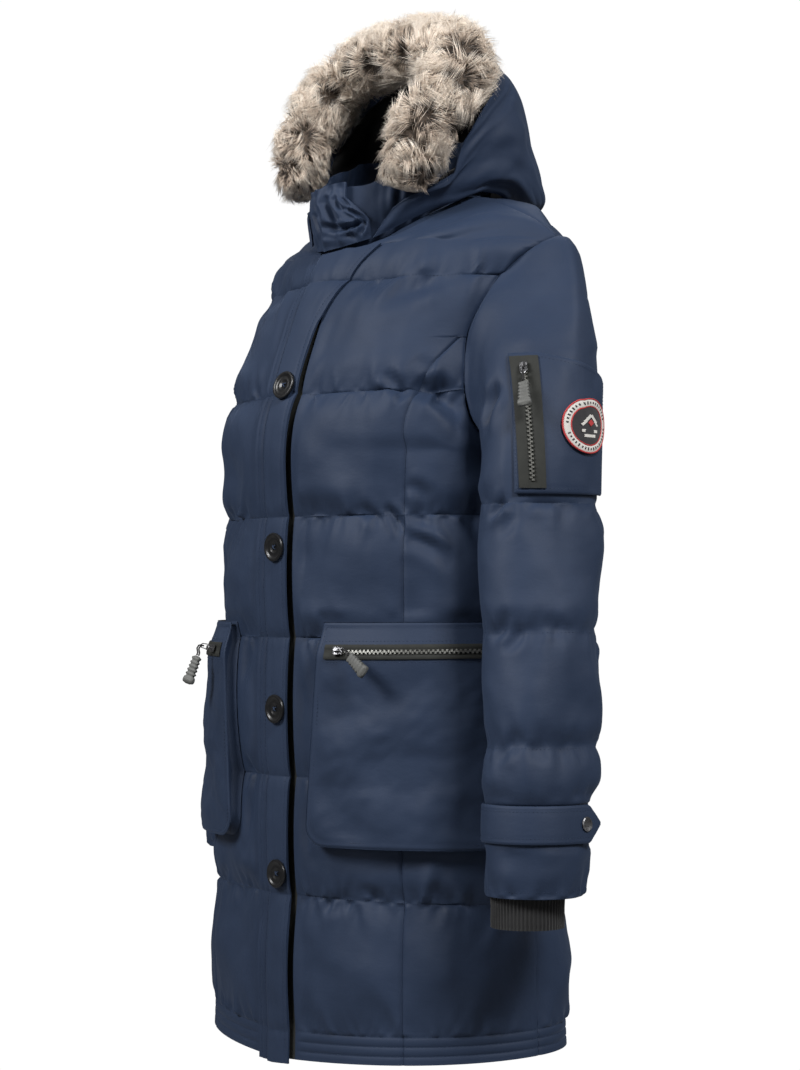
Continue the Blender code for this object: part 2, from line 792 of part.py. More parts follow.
def sleeve_point(rings, level, turn):
    """Point of a sleeve: levels 0 to 1 are the cap, then 1 to 2 the tube."""
    if level >= 1.0:
        height = rings[0].height + (level - 1.0) * (rings[-1].height - rings[0].height)
        return tube_ring(rings, height, turn)
    begin = armhole(turn)
    finish_at = tube_ring(rings, rings[0].height, turn)
    below = tube_ring(rings, rings[0].height - 0.01, turn)
    inward = 0.5 - 0.5 * math.cos(turn)
    away = np.array((0.90 + 0.03 * inward, -0.04 * math.sin(turn), -0.30 - 0.24 * inward))
    away /= np.linalg.norm(away)
    reach = np.linalg.norm(finish_at - begin)
    leave = away * reach * (0.55 + 0.47 * inward)
    arrive = (below - finish_at) * np.array((inward, inward, 1.0))
    arrive *= reach * (1.15 - 0.20 * inward) / np.linalg.norm(arrive)
    begin = begin + away * 2.5 * SEAM_GAP
    t = level
    return ((2 * t ** 3 - 3 * t ** 2 + 1) * begin + (t ** 3 - 2 * t ** 2 + t) * leave
            + (3 * t ** 2 - 2 * t ** 3) * finish_at + (t ** 3 - t ** 2) * arrive)


def tube_level(rings, height):
    """Level of a height on the straight part of a sleeve."""
    return 1.0 + (rings[0].height - height) / (rings[0].height - rings[-1].height)


def sleeve_normal(rings, level, turn):
    """Outward direction of a sleeve."""
    step = 0.01
    low = max(level - step, 0.0)
    high = min(level + step, 2.0)
    down = sleeve_point(rings, high, turn) - sleeve_point(rings, low, turn)
    around = sleeve_point(rings, level, turn + 0.02) - sleeve_point(rings, level, turn - 0.02)
    normal = np.cross(around, down)
    return normal / np.linalg.norm(normal)


def sleeve_puff(rings, level, turn):
    """Quilting height of a sleeve, low on the side next to the body."""
    seams = list(CAP_SEAMS) + [tube_level(rings, height) for height in TUBE_SEAMS[1:]]
    rise = 0.0
    for low, high in zip(seams, seams[1:]):
        if low <= level <= high:
            t = (level - low) / (high - low)
            if high > tube_level(rings, STRAP_HIGH):
                part = 0.35
            elif high <= 1.0:
                part = 0.22 + 0.23 * math.cos(turn - 1.0)
            else:
                part = 1.0
            rise = part * max(0.0, math.sin(math.pi * t)) ** 0.6
            break
    inner_side = 0.5 - 0.5 * math.cos(turn)
    return 0.9 * PUFF * rise * (1.0 - 0.85 * inner_side ** 2)


def sleeve_levels(rings):
    """Levels of the rings of a sleeve."""
    levels = list(CAP_SHARES)
    for high, low in zip(TUBE_SEAMS, TUBE_SEAMS[1:]):
        marks = (0.2, 0.5, 0.8, 1.0) if high > 0.3 else (0.5, 1.0)
        for mark in marks:
            levels.append(tube_level(rings, high + (low - high) * mark))
    return levels


def sleeve_surface(rings, level, turn, raised):
    """Point above a sleeve's own quilting."""
    height = sleeve_puff(rings, level, turn) + raised
    return sleeve_point(rings, level, turn) + height * sleeve_normal(rings, level, turn)


def turn_side(grid, side):
    """Grid for the wearer's left, or mirrored for the right."""
    return grid if side == "left" else mirrored(grid)


def sleeve_pieces(side, rings):
    """Front and back of a sleeve, joined under the arm and behind it."""
    levels = sleeve_levels(rings)
    inner_levels = [level for i, level in enumerate(levels) if level < 1.0 or i % 2 == 0 or level == levels[-1]]
    gap = 0.0032
    spans = {
        "sleeve_front_": (BACK_SLEEVE_SEAM, math.pi, 12),
        "sleeve_back_": (-math.pi, BACK_SLEEVE_SEAM, 6),
    }
    for name, (begin, end, columns) in spans.items():

        facing = np.linspace(begin, end, columns + 1)
        turns = facing + np.array([gap] + [0.0] * (columns - 1) + [-gap])

        def ring_of(level, height_at):
            """Points across a piece, raised along the seams' own normals."""
            return [sleeve_point(rings, level, turn) + height_at(level, turn) * sleeve_normal(rings, level, face)
                    for turn, face in zip(turns, facing)]

        outer = [ring_of(level, lambda lev, turn: sleeve_puff(rings, lev, turn)) for level in levels]
        inner = [ring_of(level, lambda lev, turn: -WALL) for level in inner_levels]
        outer = turn_side(np.array(outer), side)
        inner = turn_side(np.array(inner), side)
        shell = Shell()
        close_open_grid(shell, outer, inner, levels, inner_levels)
        shell.build(name + side, NAVY)


def rib_cuff(side, rings):
    """Knitted cuff that flares out to the sleeve inside its hem."""
    sections = (
        (0.202, 1.0), (0.194, 0.9), (0.184, 0.25), (0.172, 0.0), (RIB_BOTTOM, 0.0),
    )
    count = 18

    def ring_at(height, flare, thickness):
        line = []
        base = smooth([-ring.height for ring in rings], [ring[1:] for ring in rings],
                      -max(height, SLEEVE_HEM))
        for k in range(count):
            turn = 2 * math.pi * k / count
            wide_x = base[2] - WALL - 0.0010
            wide_y = base[3] - WALL - 0.0010
            radius_x = RIB_RADIUS + (wide_x - RIB_RADIUS) * flare - thickness
            radius_y = RIB_RADIUS + (wide_y - RIB_RADIUS) * flare - thickness
            shift = 0.005 * (1.0 - flare)
            line.append(lift((base[0] - shift + radius_x * math.cos(turn),
                              base[1] - shift - radius_y * math.sin(turn), height)))
        return line

    outer = np.array([ring_at(height, flare, 0.0) for height, flare in sections])
    inner = np.array([ring_at(height, flare, 0.0025) for height, flare in sections])
    outer = turn_side(outer, side)
    inner = turn_side(inner, side)
    shell = Shell()
    shell.sheet(outer, ring=True)
    shell.sheet(inner, ring=True)
    for row in (0, -1):
        above = np.vstack((outer[row], outer[row][:1]))
        below = np.vstack((inner[row], inner[row][:1]))
        shell.rim(above, below)
    shell.build("rib_cuff_" + side, RIB_BLACK)


def strap_point(rings, level, turn, raised):
    """Point of a cuff strap, whose pointed end runs on nearly straight, off the sleeve."""
    if turn >= STRAP_LEAVES:
        return sleeve_surface(rings, level, turn, raised)
    base = sleeve_surface(rings, level, STRAP_LEAVES, raised)
    ahead = (sleeve_surface(rings, level, STRAP_LEAVES - 0.02, raised) - base) / 0.02
    beyond = STRAP_LEAVES - turn
    bend = STRAP_BEND * beyond ** 2 * sleeve_normal(rings, level, STRAP_LEAVES)
    return base + ahead * beyond - bend


def strap_ends(rings, level):
    """Turns at which the pointed strap begins and ends, at one level."""
    top = tube_level(rings, STRAP_HIGH)
    low = tube_level(rings, STRAP_LOW)
    middle = abs((level - 0.5 * (top + low)) / (0.5 * (low - top)))
    return math.radians(-44.0 + 19.0 * middle), math.radians(128.0)


def cuff_strap(side, rings):
    """Pointed strap round the front of a sleeve, closed by a snap."""
    levels = np.linspace(tube_level(rings, STRAP_HIGH), tube_level(rings, STRAP_LOW), 5)
    outer = []
    inner = []
    for level in levels:
        begin, end = strap_ends(rings, level)
        turns = np.concatenate((np.linspace(begin, STRAP_LEAVES, 4), np.linspace(STRAP_LEAVES, end, 9)[1:]))
        outer.append([strap_point(rings, level, turn, 0.0034) for turn in turns])
        inner.append([strap_point(rings, level, turn, 0.0008) for turn in turns])
    outer = turn_side(np.array(outer), side)
    inner = turn_side(np.array(inner), side)
    shell = Shell()
    close_open_grid(shell, outer, inner, list(levels), list(levels))
    shell.build("cuff_strap_" + side, NAVY)
    level = 0.5 * (levels[0] + levels[-1])
    turn = math.radians(-19.0)
    place = strap_point(rings, level, turn, 0.0039)
    along = strap_point(rings, level, turn - 0.01, 0.0039) - place
    across = strap_point(rings, level + 0.01, turn, 0.0039) - strap_point(rings, level - 0.01, turn, 0.0039)
    normal = np.cross(across, along)
    normal /= np.linalg.norm(normal)
    if side == "right":
        place = mirrored(place)
        normal = mirrored(normal)
    profile = ((0.0, 0.0), (0.0062, 0.0), (0.0068, 0.0010), (0.0058, 0.0020), (0.0030, 0.0016), (0.0, 0.0015))
    turned_piece("cuff_snap_" + side, METAL, profile, place, normal, steps=12)


# ---------------------------------------------------------------- neck

def neck_edge(front, row, away, raised):
    """Point beside the neckline: so far outside it, raised off the body."""
    place = on_row(front, row, 0.0)
    normal = body_normal(front, row, 0.0)
    outboard = place * np.array((1.0, 1.0, 0.0)) - np.array((0.0, 0.015, 0.0))
    outboard /= np.linalg.norm(outboard)
    outboard -= normal * np.dot(outboard, normal)
    outboard /= np.linalg.norm(outboard)
    return place + away * outboard + raised * normal


def neckline(count, away=0.0, raised=0.0):
    """Left half of the neckline, from the front centre to the back centre."""
    line = [neck_edge(True, row, away, raised) for row in np.linspace(0.772, SHOULDER_ROW, 22)]
    line += [neck_edge(False, row, away, raised) for row in np.linspace(SHOULDER_ROW, 0.784, 14)[1:]]
    line[0][0] = 0.0
    line[-1][0] = 0.0
    return spread(line, count)


COLLAR_START = -0.018
COLLAR_END = 1.088
COLLAR_WALL = 0.0026
COLLAR_COLUMNS = 60
COLLAR_LEVELS = (0.0, 0.22, 0.48, 0.74, 1.0)
COLLAR_INNER_LEVELS = (0.0, 0.48, 1.0)
NECK_HALF = neckline(61)


def neck_loop(around):
    """Point of the whole neckline: 0 at the front, a quarter at the left."""
    around = around % 1.0
    half = around if around <= 0.5 else 1.0 - around
    mark = half * 2.0 * (len(NECK_HALF) - 1)
    point = np.array([np.interp(mark, np.arange(len(NECK_HALF)), NECK_HALF[:, k]) for k in range(3)])
    return point if around <= 0.5 else mirrored(point)


def gathers(around, level):
    """Ripple of the gathered collar, from -1 to 1."""
    wave = 2.0 * math.pi * around
    slow = math.sin(17.0 * wave + 1.3 * math.sin(3.0 * wave) + 1.5 * level)
    fast = math.sin(26.0 * wave + 0.9 * math.sin(5.0 * wave) - 2.6 * level + 1.0)
    return 0.62 * slow + 0.38 * fast


def collar_point(around, level, depth):
    """Point of the stand collar, which overlaps itself at the front."""
    shorter = min(max((level - 0.30) / 0.45, 0.0), 1.0) ** 1.3
    around -= 0.036 * shorter * max(0.0, (around - 0.93) / (COLLAR_END - 0.93))
    base = neck_loop(around)
    outward = np.array((base[0], base[1] - 0.015, 0.0))
    outward /= np.linalg.norm(outward)
    backward = 0.5 - 0.5 * math.cos(2.0 * math.pi * around)
    over = min(max((around - 0.93) / 0.05, 0.0), 1.0)
    under = min(max((0.14 - around) / 0.05, 0.0), 1.0)
    rise = 0.0008 + 0.0035 * over + level * (0.060 - 0.014 * backward)
    lean = level * (0.007 * (1.0 - backward) - 0.010 * backward)
    bulge = 0.0035 * math.sin(math.pi * level)
    ripple = 0.0021 * gathers(around, level) * (1.0 - 0.8 * under)
    out = lean + bulge + ripple + 0.0072 * over - depth
    point = base + out * outward
    point[2] += rise + 0.0020 * level * math.sin(2 * math.pi * 9 * around)
    return point


def collar():
    """Gathered stand collar, its right end lying over its left."""
    arounds = np.linspace(COLLAR_START, COLLAR_END, COLLAR_COLUMNS)
    outer = np.array([[collar_point(a, level, 0.0) for a in arounds] for level in COLLAR_LEVELS])
    inner = np.array([[collar_point(a, level, COLLAR_WALL) for a in arounds] for level in COLLAR_INNER_LEVELS])
    shell = Shell()
    close_open_grid(shell, outer, inner, COLLAR_LEVELS, COLLAR_INNER_LEVELS)
    return shell.build("collar", NAVY)


# ---------------------------------------------------------------- hood and fur

FUR_TURNS = 12
FUR_SECTIONS = 37
HEAD_CENTRE = lift((0.0, 0.030, 0.885))
HOOD_ROWS = 12
HOOD_STEPS = 10


def fur_centreline(count):
    """Middle of the fur trim, from its left tail over the top to its right."""
    half = [lift(point) for point in FUR_LINE]
    whole = half + [mirrored(point) for point in reversed(half[1:-1])] + [lift(FUR_RIGHT_END)]
    return spline(whole, count)


def line_frames(line, centre):
    """Directions along a line, away from a centre, and square to both."""
    along = np.gradient(line, axis=0)
    along /= np.linalg.norm(along, axis=1)[:, None]
    away = line - centre
    away -= along * np.sum(away * along, axis=1)[:, None]
    away /= np.linalg.norm(away, axis=1)[:, None]
    across = np.cross(along, away)
    across *= np.where(across[:, 1:2] < 0, -1.0, 1.0)
    return along, away, across


def fur_trim():
    """Fur strip around the face opening, as one clumpy roll."""
    line = fur_centreline(FUR_SECTIONS)
    along, away, back = line_frames(line, HEAD_CENTRE)
    length = np.concatenate(([0.0], np.cumsum(np.linalg.norm(np.diff(line, axis=0), axis=1))))
    rings = []
    for i in range(FUR_SECTIONS):
        end = min(length[i], length[-1] - length[i]) / 0.030
        taper = math.sqrt(max(1.0 - (1.0 - min(end, 1.0)) ** 2, 0.0)) * 0.80 + 0.20
        slim = 0.80 + 0.20 * min(end / 3.0, 1.0)
        ring = []
        for k in range(FUR_TURNS):
            turn = 2.0 * math.pi * k / FUR_TURNS
            clump = 0.5 + 0.5 * math.sin(3.1 * i * 0.9 + 2.3 * math.sin(turn * 2.0 + i * 0.7))
            front = 0.5 - 0.5 * math.cos(turn)
            size = taper * slim * (1.0 - 0.10 * clump * front)
            ring.append(line[i] + size * (FUR_SECTION_FRONT * math.cos(turn) * back[i]
                                          + FUR_SECTION_OUT * math.sin(turn) * away[i]))
        rings.append(ring)
    rings = np.array(rings)
    shell = Shell()
    shell.sheet(rings, ring=True)
    for i in (0, -1):
        tip = rings[i].mean(axis=0) + (line[i] - line[1 if i == 0 else -2]) * 0.35
        for k in range(FUR_TURNS):
            shell.face(rings[i][k], rings[i][(k + 1) % FUR_TURNS], tip)
    return shell.build("fur_trim", FUR)


def hood_base(count):
    """Neck seam of the hood's left half, from the front to the back centre."""
    line = neckline(80)
    outward = line * np.array((1.0, 1.0, 0.0)) - np.array((0.0, 0.015, 0.0))
    outward /= np.linalg.norm(outward, axis=1)[:, None]
    line = line + 0.0125 * outward + np.array((0.0, 0.0, 0.0022))
    return spread(line[15:], count)


def hood_front_edge(count):
    """Front edge of the hood's left half, from the neck up to the crown."""
    line = fur_centreline(61)[:31]
    along, away, back = line_frames(fur_centreline(61), HEAD_CENTRE)
    edge = line + back[:31] * HOOD_SET_BACK
    edge[-1][0] = 0.0
    start = hood_base(40)[0]
    bend = start + np.array((0.022, 0.012, 0.030))
    whole = np.vstack((start, bend, edge[2:]))
    return spline(whole, count)


HOOD_BASE = hood_base(41)
HOOD_EDGE = hood_front_edge(61)


def hood_rib(arch, t):
    """Point at a share t of one arch of the hood."""
    start = np.array([np.interp(arch.share * 40, np.arange(41), HOOD_BASE[:, k]) for k in range(3)])
    low = lift(arch.low_bend)
    high = lift(arch.high_bend)
    crown = lift(arch.crown)
    return ((1 - t) ** 3 * start + 3 * (1 - t) ** 2 * t * low
            + 3 * (1 - t) * t ** 2 * high + t ** 3 * crown)


def hood_point(share, t):
    """Point of the hood's left half: share runs front to back, t runs up."""
    front = np.array([np.interp(t * 60, np.arange(61), HOOD_EDGE[:, k]) for k in range(3)])
    ribs = [front] + [hood_rib(arch, t) for arch in HOOD[1:]]
    shares = [arch.share for arch in HOOD]
    point = smooth(shares, ribs, share)
    seam = np.array([np.interp(share * 40, np.arange(41), HOOD_BASE[:, k]) for k in range(3)])
    starts = [HOOD_BASE[int(round(at * 40))] for at in shares]
    return point + (1.0 - t) ** 3 * (seam - smooth(shares, starts, share))


def hood_normal(share, t):
    """Outward direction of the hood."""
    step = 0.02
    s = min(share, 1.0 - step)
    u = min(t, 1.0 - step)
    back = hood_point(s + step, u) - hood_point(max(s - step, 0.0), u)
    up = hood_point(s, u + step) - hood_point(s, max(u - step, 0.0))
    normal = np.cross(back, up)
    if share >= 1.0 or t >= 1.0:
        normal[0] = 0.0
    return normal / np.linalg.norm(normal)


def hood_grid(depth, seam_x, rows=HOOD_ROWS, steps=HOOD_STEPS, low_t=0.0, low_share=0.0):
    """Grid of the hood's left half at one depth under its surface."""
    grid = []
    for i in range(rows + 1):
        share = low_share + (1.0 - low_share) * i / rows
        line = []
        for j in range(steps + 1):
            t = low_t + (1.0 - low_t) * j / steps
            point = hood_point(share, t) - depth * hood_normal(share, t)
            if i == rows or j == steps:
                point[0] = seam_x
            line.append(point)
        grid.append(line)
    return np.array(grid)


def hood_halves():
    """Left and right halves of the hood, joined along the centre seam."""
    outer = hood_grid(0.0, 0.5 * SEAM_GAP)
    inner = hood_grid(WALL, 0.5 * SEAM_GAP)
    levels = list(range(HOOD_ROWS + 1))
    for side in ("left", "right"):
        shell = Shell()
        close_open_grid(shell, turn_side(outer, side), turn_side(inner, side), levels, levels)
        shell.build("hood_" + side, NAVY)


def hood_lining():
    """Lining that shows inside the face opening."""
    outer = hood_grid(WALL + 0.0026, 0.0, 8, 8, 0.06, 0.11)
    inner = hood_grid(WALL + 0.0038, 0.0, 8, 8, 0.06, 0.11)
    shell = Shell()
    for side in ("left", "right"):
        above = turn_side(outer, side)
        below = turn_side(inner, side)
        shell.sheet(above)
        shell.sheet(below)
        shell.rim(above[0], below[0])
        shell.rim(above[:, 0], below[:, 0])
    return shell.build("hood_lining", LINING)


# ---------------------------------------------------------------- pockets

class PocketSpot(NamedTuple):
    """Place on a body pocket: distance from the centre line, and height."""

    along: float
    height: float


POCKET_LEFT_TOP = 0.0745
POCKET_LEFT_LOW = 0.0600
POCKET_RIGHT_TOP = 0.246
POCKET_RIGHT_LOW = 0.252
POCKET_MIDDLE = PocketSpot(0.158, 0.305)
POCKET_RIM_GAP = 0.0010


def pocket_outline():
    """Edge of a body pocket, with two rounded lower corners."""
    spots = []
    for share in np.linspace(0.0, 1.0, 8)[:-1]:
        spots.append(PocketSpot(POCKET_LEFT_TOP + share * (POCKET_RIGHT_TOP - POCKET_LEFT_TOP), POCKET_TOP))
    side = POCKET_BOTTOM + POCKET_CORNER
    for share in np.linspace(0.0, 1.0, 8)[:-1]:
        spots.append(PocketSpot(POCKET_RIGHT_TOP + share * (POCKET_RIGHT_LOW - POCKET_RIGHT_TOP),
                                POCKET_TOP + share * (side - POCKET_TOP)))
    for turn in np.radians((0, 30, 60, 90)):
        spots.append(PocketSpot(POCKET_RIGHT_LOW - POCKET_CORNER * (1 - math.cos(turn)),
                                side - POCKET_CORNER * math.sin(turn)))
    for share in np.linspace(0.0, 1.0, 8)[1:-1]:
        low = POCKET_RIGHT_LOW - POCKET_CORNER
        high = POCKET_LEFT_LOW + POCKET_CORNER
        spots.append(PocketSpot(low + share * (high - low), POCKET_BOTTOM))
    for turn in np.radians((90, 60, 30, 0)):
        spots.append(PocketSpot(POCKET_LEFT_LOW + POCKET_CORNER * (1 - math.cos(turn)),
                                side - POCKET_CORNER * math.sin(turn)))
    for share in np.linspace(0.0, 1.0, 8)[1:-1]:
        spots.append(PocketSpot(POCKET_LEFT_LOW + share * (POCKET_LEFT_TOP - POCKET_LEFT_LOW),
                                side + share * (POCKET_TOP - side)))
    return spots


def pocket_rise(height):
    """How far a pocket's face stands off the body, least along its top."""
    t = min(max((POCKET_TOP - height) / 0.035, 0.0), 1.0)
    return PUFF + 0.0045 + (POCKET_DEPTH - 0.0045) * t * t * (3 - 2 * t)


def front_place(along, height, raised, over_quilting):
    """Point over the front at a distance from the centre line."""
    share = min(along / row_length(True, height), 1.0)
    if over_quilting:
        return front_point(height, share, raised)
    return on_row(True, height, share) + raised * body_normal(True, height, share)


def toward_middle(spot, share, inset=0.0):
    """Spot moved toward the middle of its pocket by a share, then an inset."""
    along = POCKET_MIDDLE.along + (spot.along - POCKET_MIDDLE.along) * share
    height = POCKET_MIDDLE.height + (spot.height - POCKET_MIDDLE.height) * share
    reach = math.hypot(spot.along - POCKET_MIDDLE.along, spot.height - POCKET_MIDDLE.height)
    along -= inset * (spot.along - POCKET_MIDDLE.along) / reach * 1.3
    height -= inset * (spot.height - POCKET_MIDDLE.height) / reach * 1.3
    return PocketSpot(along, height)


def pocket(side):
    """Bellows pocket: a face that stands off the body on a low wall."""
    outline = pocket_outline()
    wall = 0.0020

    def ring(share, inset, sink, on_body=False):
        line = []
        for spot in outline:
            moved = toward_middle(spot, share, inset)
            if on_body:
                line.append(front_place(moved.along, moved.height, POCKET_RIM_GAP, True))
            else:
                rise = pocket_rise(moved.height) - sink
                line.append(front_place(moved.along, moved.height, rise, False))
        return line

    outer = [ring(1.0, 0.0, 0.0, True), ring(1.0, 0.0, 0.0016), ring(1.0, 0.0022, 0.0),
             ring(0.70, 0.0, 0.0), ring(0.35, 0.0, 0.0)]
    inner = [ring(1.0, wall, 0.0, True), ring(1.0, wall, wall + 0.0010), ring(0.70, 0.0, wall),
             ring(0.35, 0.0, wall)]
    middle_rise = pocket_rise(POCKET_MIDDLE.height)
    peak = front_place(POCKET_MIDDLE.along, POCKET_MIDDLE.height, middle_rise, False)
    floor = front_place(POCKET_MIDDLE.along, POCKET_MIDDLE.height, middle_rise - wall, False)
    if side == "right":
        outer = [mirrored(np.array(line)) for line in outer]
        inner = [mirrored(np.array(line)) for line in inner]
        peak = mirrored(peak)
        floor = mirrored(floor)
    shell = Shell()
    shell.sheet(np.array(outer), ring=True)
    shell.sheet(np.array(inner), ring=True)
    shell.rim(np.vstack((outer[0], outer[0][:1])), np.vstack((inner[0], inner[0][:1])))
    count = len(outline)
    for k in range(count):
        shell.face(outer[-1][k], outer[-1][(k + 1) % count], peak)
        shell.face(inner[-1][k], inner[-1][(k + 1) % count], floor)
    return shell.build("pocket_" + side, NAVY)


def pocket_surface(along, height, raised):
    """Point above the face of the left pocket."""
    return front_place(along, height, pocket_rise(height) + raised, False)


def zip_tape(name, place, length, width, side, steps=8):
    """Tape with its closed teeth as one raised line down the middle."""
    teeth = 0.0035
    across = (-0.5 * width, -teeth, -teeth + 0.0006, teeth - 0.0006, teeth, 0.5 * width)
    heights = (0.0016, 0.0016, ZIP_RIDGE, ZIP_RIDGE, 0.0016, 0.0016)
    marks = np.linspace(-0.5 * length, 0.5 * length, steps + 1)
    outer = np.array([[place(mark, a, h) for a, h in zip(across, heights)] for mark in marks])
    inner = np.array([[place(mark, a, 0.0009) for a in across] for mark in marks])
    shell = Shell()
    close_open_grid(shell, turn_side(outer, side), turn_side(inner, side), list(marks), list(marks))
    return shell.build(name, ZIP_BLACK)


# ---------------------------------------------------------------- zip pulls

class ZipFrame(NamedTuple):
    """Slider's place: origin on the teeth, run along the zip, axle, outward."""

    origin: np.ndarray
    run: np.ndarray
    axle: np.ndarray
    out: np.ndarray


AXLE_HEIGHT = 0.0040
SLIDER_SEAT = 0.0004
TAB_LENGTH = 0.0100


def frame_matrix(frame, lifted=0.0):
    """Placement whose X runs along the zip, Y is the axle and Z points out."""
    run = Vector(frame.run).normalized()
    out = Vector(frame.out).normalized()
    axle = out.cross(run).normalized()
    run = axle.cross(out)
    matrix = Matrix((run, axle, out)).transposed().to_4x4()
    matrix.translation = Vector(frame.origin) + out * lifted
    return matrix


def plain_object(name, points, faces, material, matrix, shade_smooth=False):
    """Object from points and faces in its own frame."""
    mesh = bpy.data.meshes.new(name)
    mesh.from_pydata(points, [], faces)
    work = bmesh.new()
    work.from_mesh(mesh)
    bmesh.ops.recalc_face_normals(work, faces=work.faces)
    if work.calc_volume(signed=True) < 0:
        bmesh.ops.reverse_faces(work, faces=work.faces)
    work.to_mesh(mesh)
    work.free()
    for polygon in mesh.polygons:
        polygon.use_smooth = shade_smooth
    thing = bpy.data.objects.new(name, mesh)
    if material is not None:
        thing.data.materials.append(material)
    thing.matrix_world = matrix
    return thing


def arch_profile():
    """Side outline of a slider: a low body with an arch over its middle."""
    return (
        (-0.0050, 0.0), (0.0050, 0.0), (0.0050, 0.0018), (0.0030, 0.0022),
        (0.0030, 0.0050), (0.0018, 0.0060), (-0.0018, 0.0060), (-0.0030, 0.0050),
        (-0.0030, 0.0022), (-0.0050, 0.0018),
    )


def slider(name, frame):
    """Slider on the closed teeth, with the arch its pull hangs from.

    The arch is a bridge one bar wide: outer outline, window, and the low body
    that spreads to both sides of it.
    """
    half_body = 0.0036
    half_arch = 0.0009
    outline = arch_profile()
    window = ((-0.0019, 0.0026), (0.0019, 0.0026), (0.0019, 0.0046), (0.0012, 0.0050),
              (-0.0012, 0.0050), (-0.0019, 0.0046))
    body = [point for point in outline if point[1] <= 0.0022]
    points = []
    faces = []

    def ring(profile, y):
        first = len(points)
        points.extend((x, y, z) for x, z in profile)
        return list(range(first, first + len(profile)))

    def wall(low, high):
        count = len(low)
        for k in range(count):
            n = (k + 1) % count
            faces.append([low[k], low[n], high[n], high[k]])

    left = ring(body, -half_body)
    right = ring(body, half_body)
    mid_left = ring(body, -half_arch)
    mid_right = ring(body, half_arch)
    faces.append(left)
    faces.append(right)
    for low, high in ((left, mid_left), (mid_right, right)):
        wall(low, high)
    arch_left = ring(outline[4:8], -half_arch)
    arch_right = ring(outline[4:8], half_arch)
    gap_left = ring(window, -half_arch)
    gap_right = ring(window, half_arch)
    for k in range(3):
        faces.append([arch_left[k], arch_left[k + 1], arch_right[k + 1], arch_right[k]])
    for a, b in ((0, 1), (1, 2), (2, 3), (4, 5), (5, 0)):
        faces.append([mid_left[a], mid_left[b], mid_right[b], mid_right[a]])
    faces.append([mid_left[3], arch_left[0], arch_right[0], mid_right[3]])
    faces.append([mid_left[4], arch_left[3], arch_right[3], mid_right[4]])
    wall(gap_left, gap_right)
    for mid, arch, gap in ((mid_left, arch_left, gap_left), (mid_right, arch_right, gap_right)):
        loop = [mid[3], arch[0], arch[1], arch[2], arch[3], mid[4]]
        faces.append([loop[0], gap[1], gap[2], loop[1]])
        faces.append([loop[1], gap[2], gap[3], loop[2]])
        faces.append([loop[2], gap[3], gap[4], loop[3]])
        faces.append([loop[3], gap[4], gap[5], loop[4]])
        faces.append([loop[4], gap[5], gap[0], loop[5]])
        faces.append([loop[5], gap[0], gap[1], loop[0]])
    thing = plain_object(name, points, faces, METAL, frame_matrix(frame, SLIDER_SEAT + ZIP_RIDGE))
    COAT.objects.link(thing)
    return thing


def swept(name, material, path, sizes, matrix, sides=8, closed=False):
    """Bar of oval section along a path, in the frame of its own joint."""
    path = np.array(path, dtype=float)
    count = len(path)
    points = []
    faces = []
    side = None
    for i in range(count):
        if closed:
            along = path[(i + 1) % count] - path[i - 1]
        else:
            along = path[min(i + 1, count - 1)] - path[max(i - 1, 0)]
        along = Vector(along).normalized()
        wide, thick = sizes[i] if isinstance(sizes, list) else sizes
        if side is None:
            side = Vector((0, 1, 0)) if abs(along.y) < 0.7 else Vector((1, 0, 0))
        side = (side - along * side.dot(along)).normalized()
        flat = along.cross(side).normalized()
        for k in range(sides):
            turn = 2 * math.pi * (k + 0.5) / sides
            place = Vector(path[i]) + side * wide * math.cos(turn) + flat * thick * math.sin(turn)
            points.append(tuple(place))
    last = count if closed else count - 1
    for i in range(last):
        for k in range(sides):
            n = (k + 1) % sides
            m = (i + 1) % count
            faces.append([i * sides + k, i * sides + n, m * sides + n, m * sides + k])
    if not closed:
        faces.append(list(range(sides)))
        faces.append([(count - 1) * sides + k for k in range(sides)])
    thing = plain_object(name, points, faces, material, matrix, True)
    COAT.objects.link(thing)
    return thing


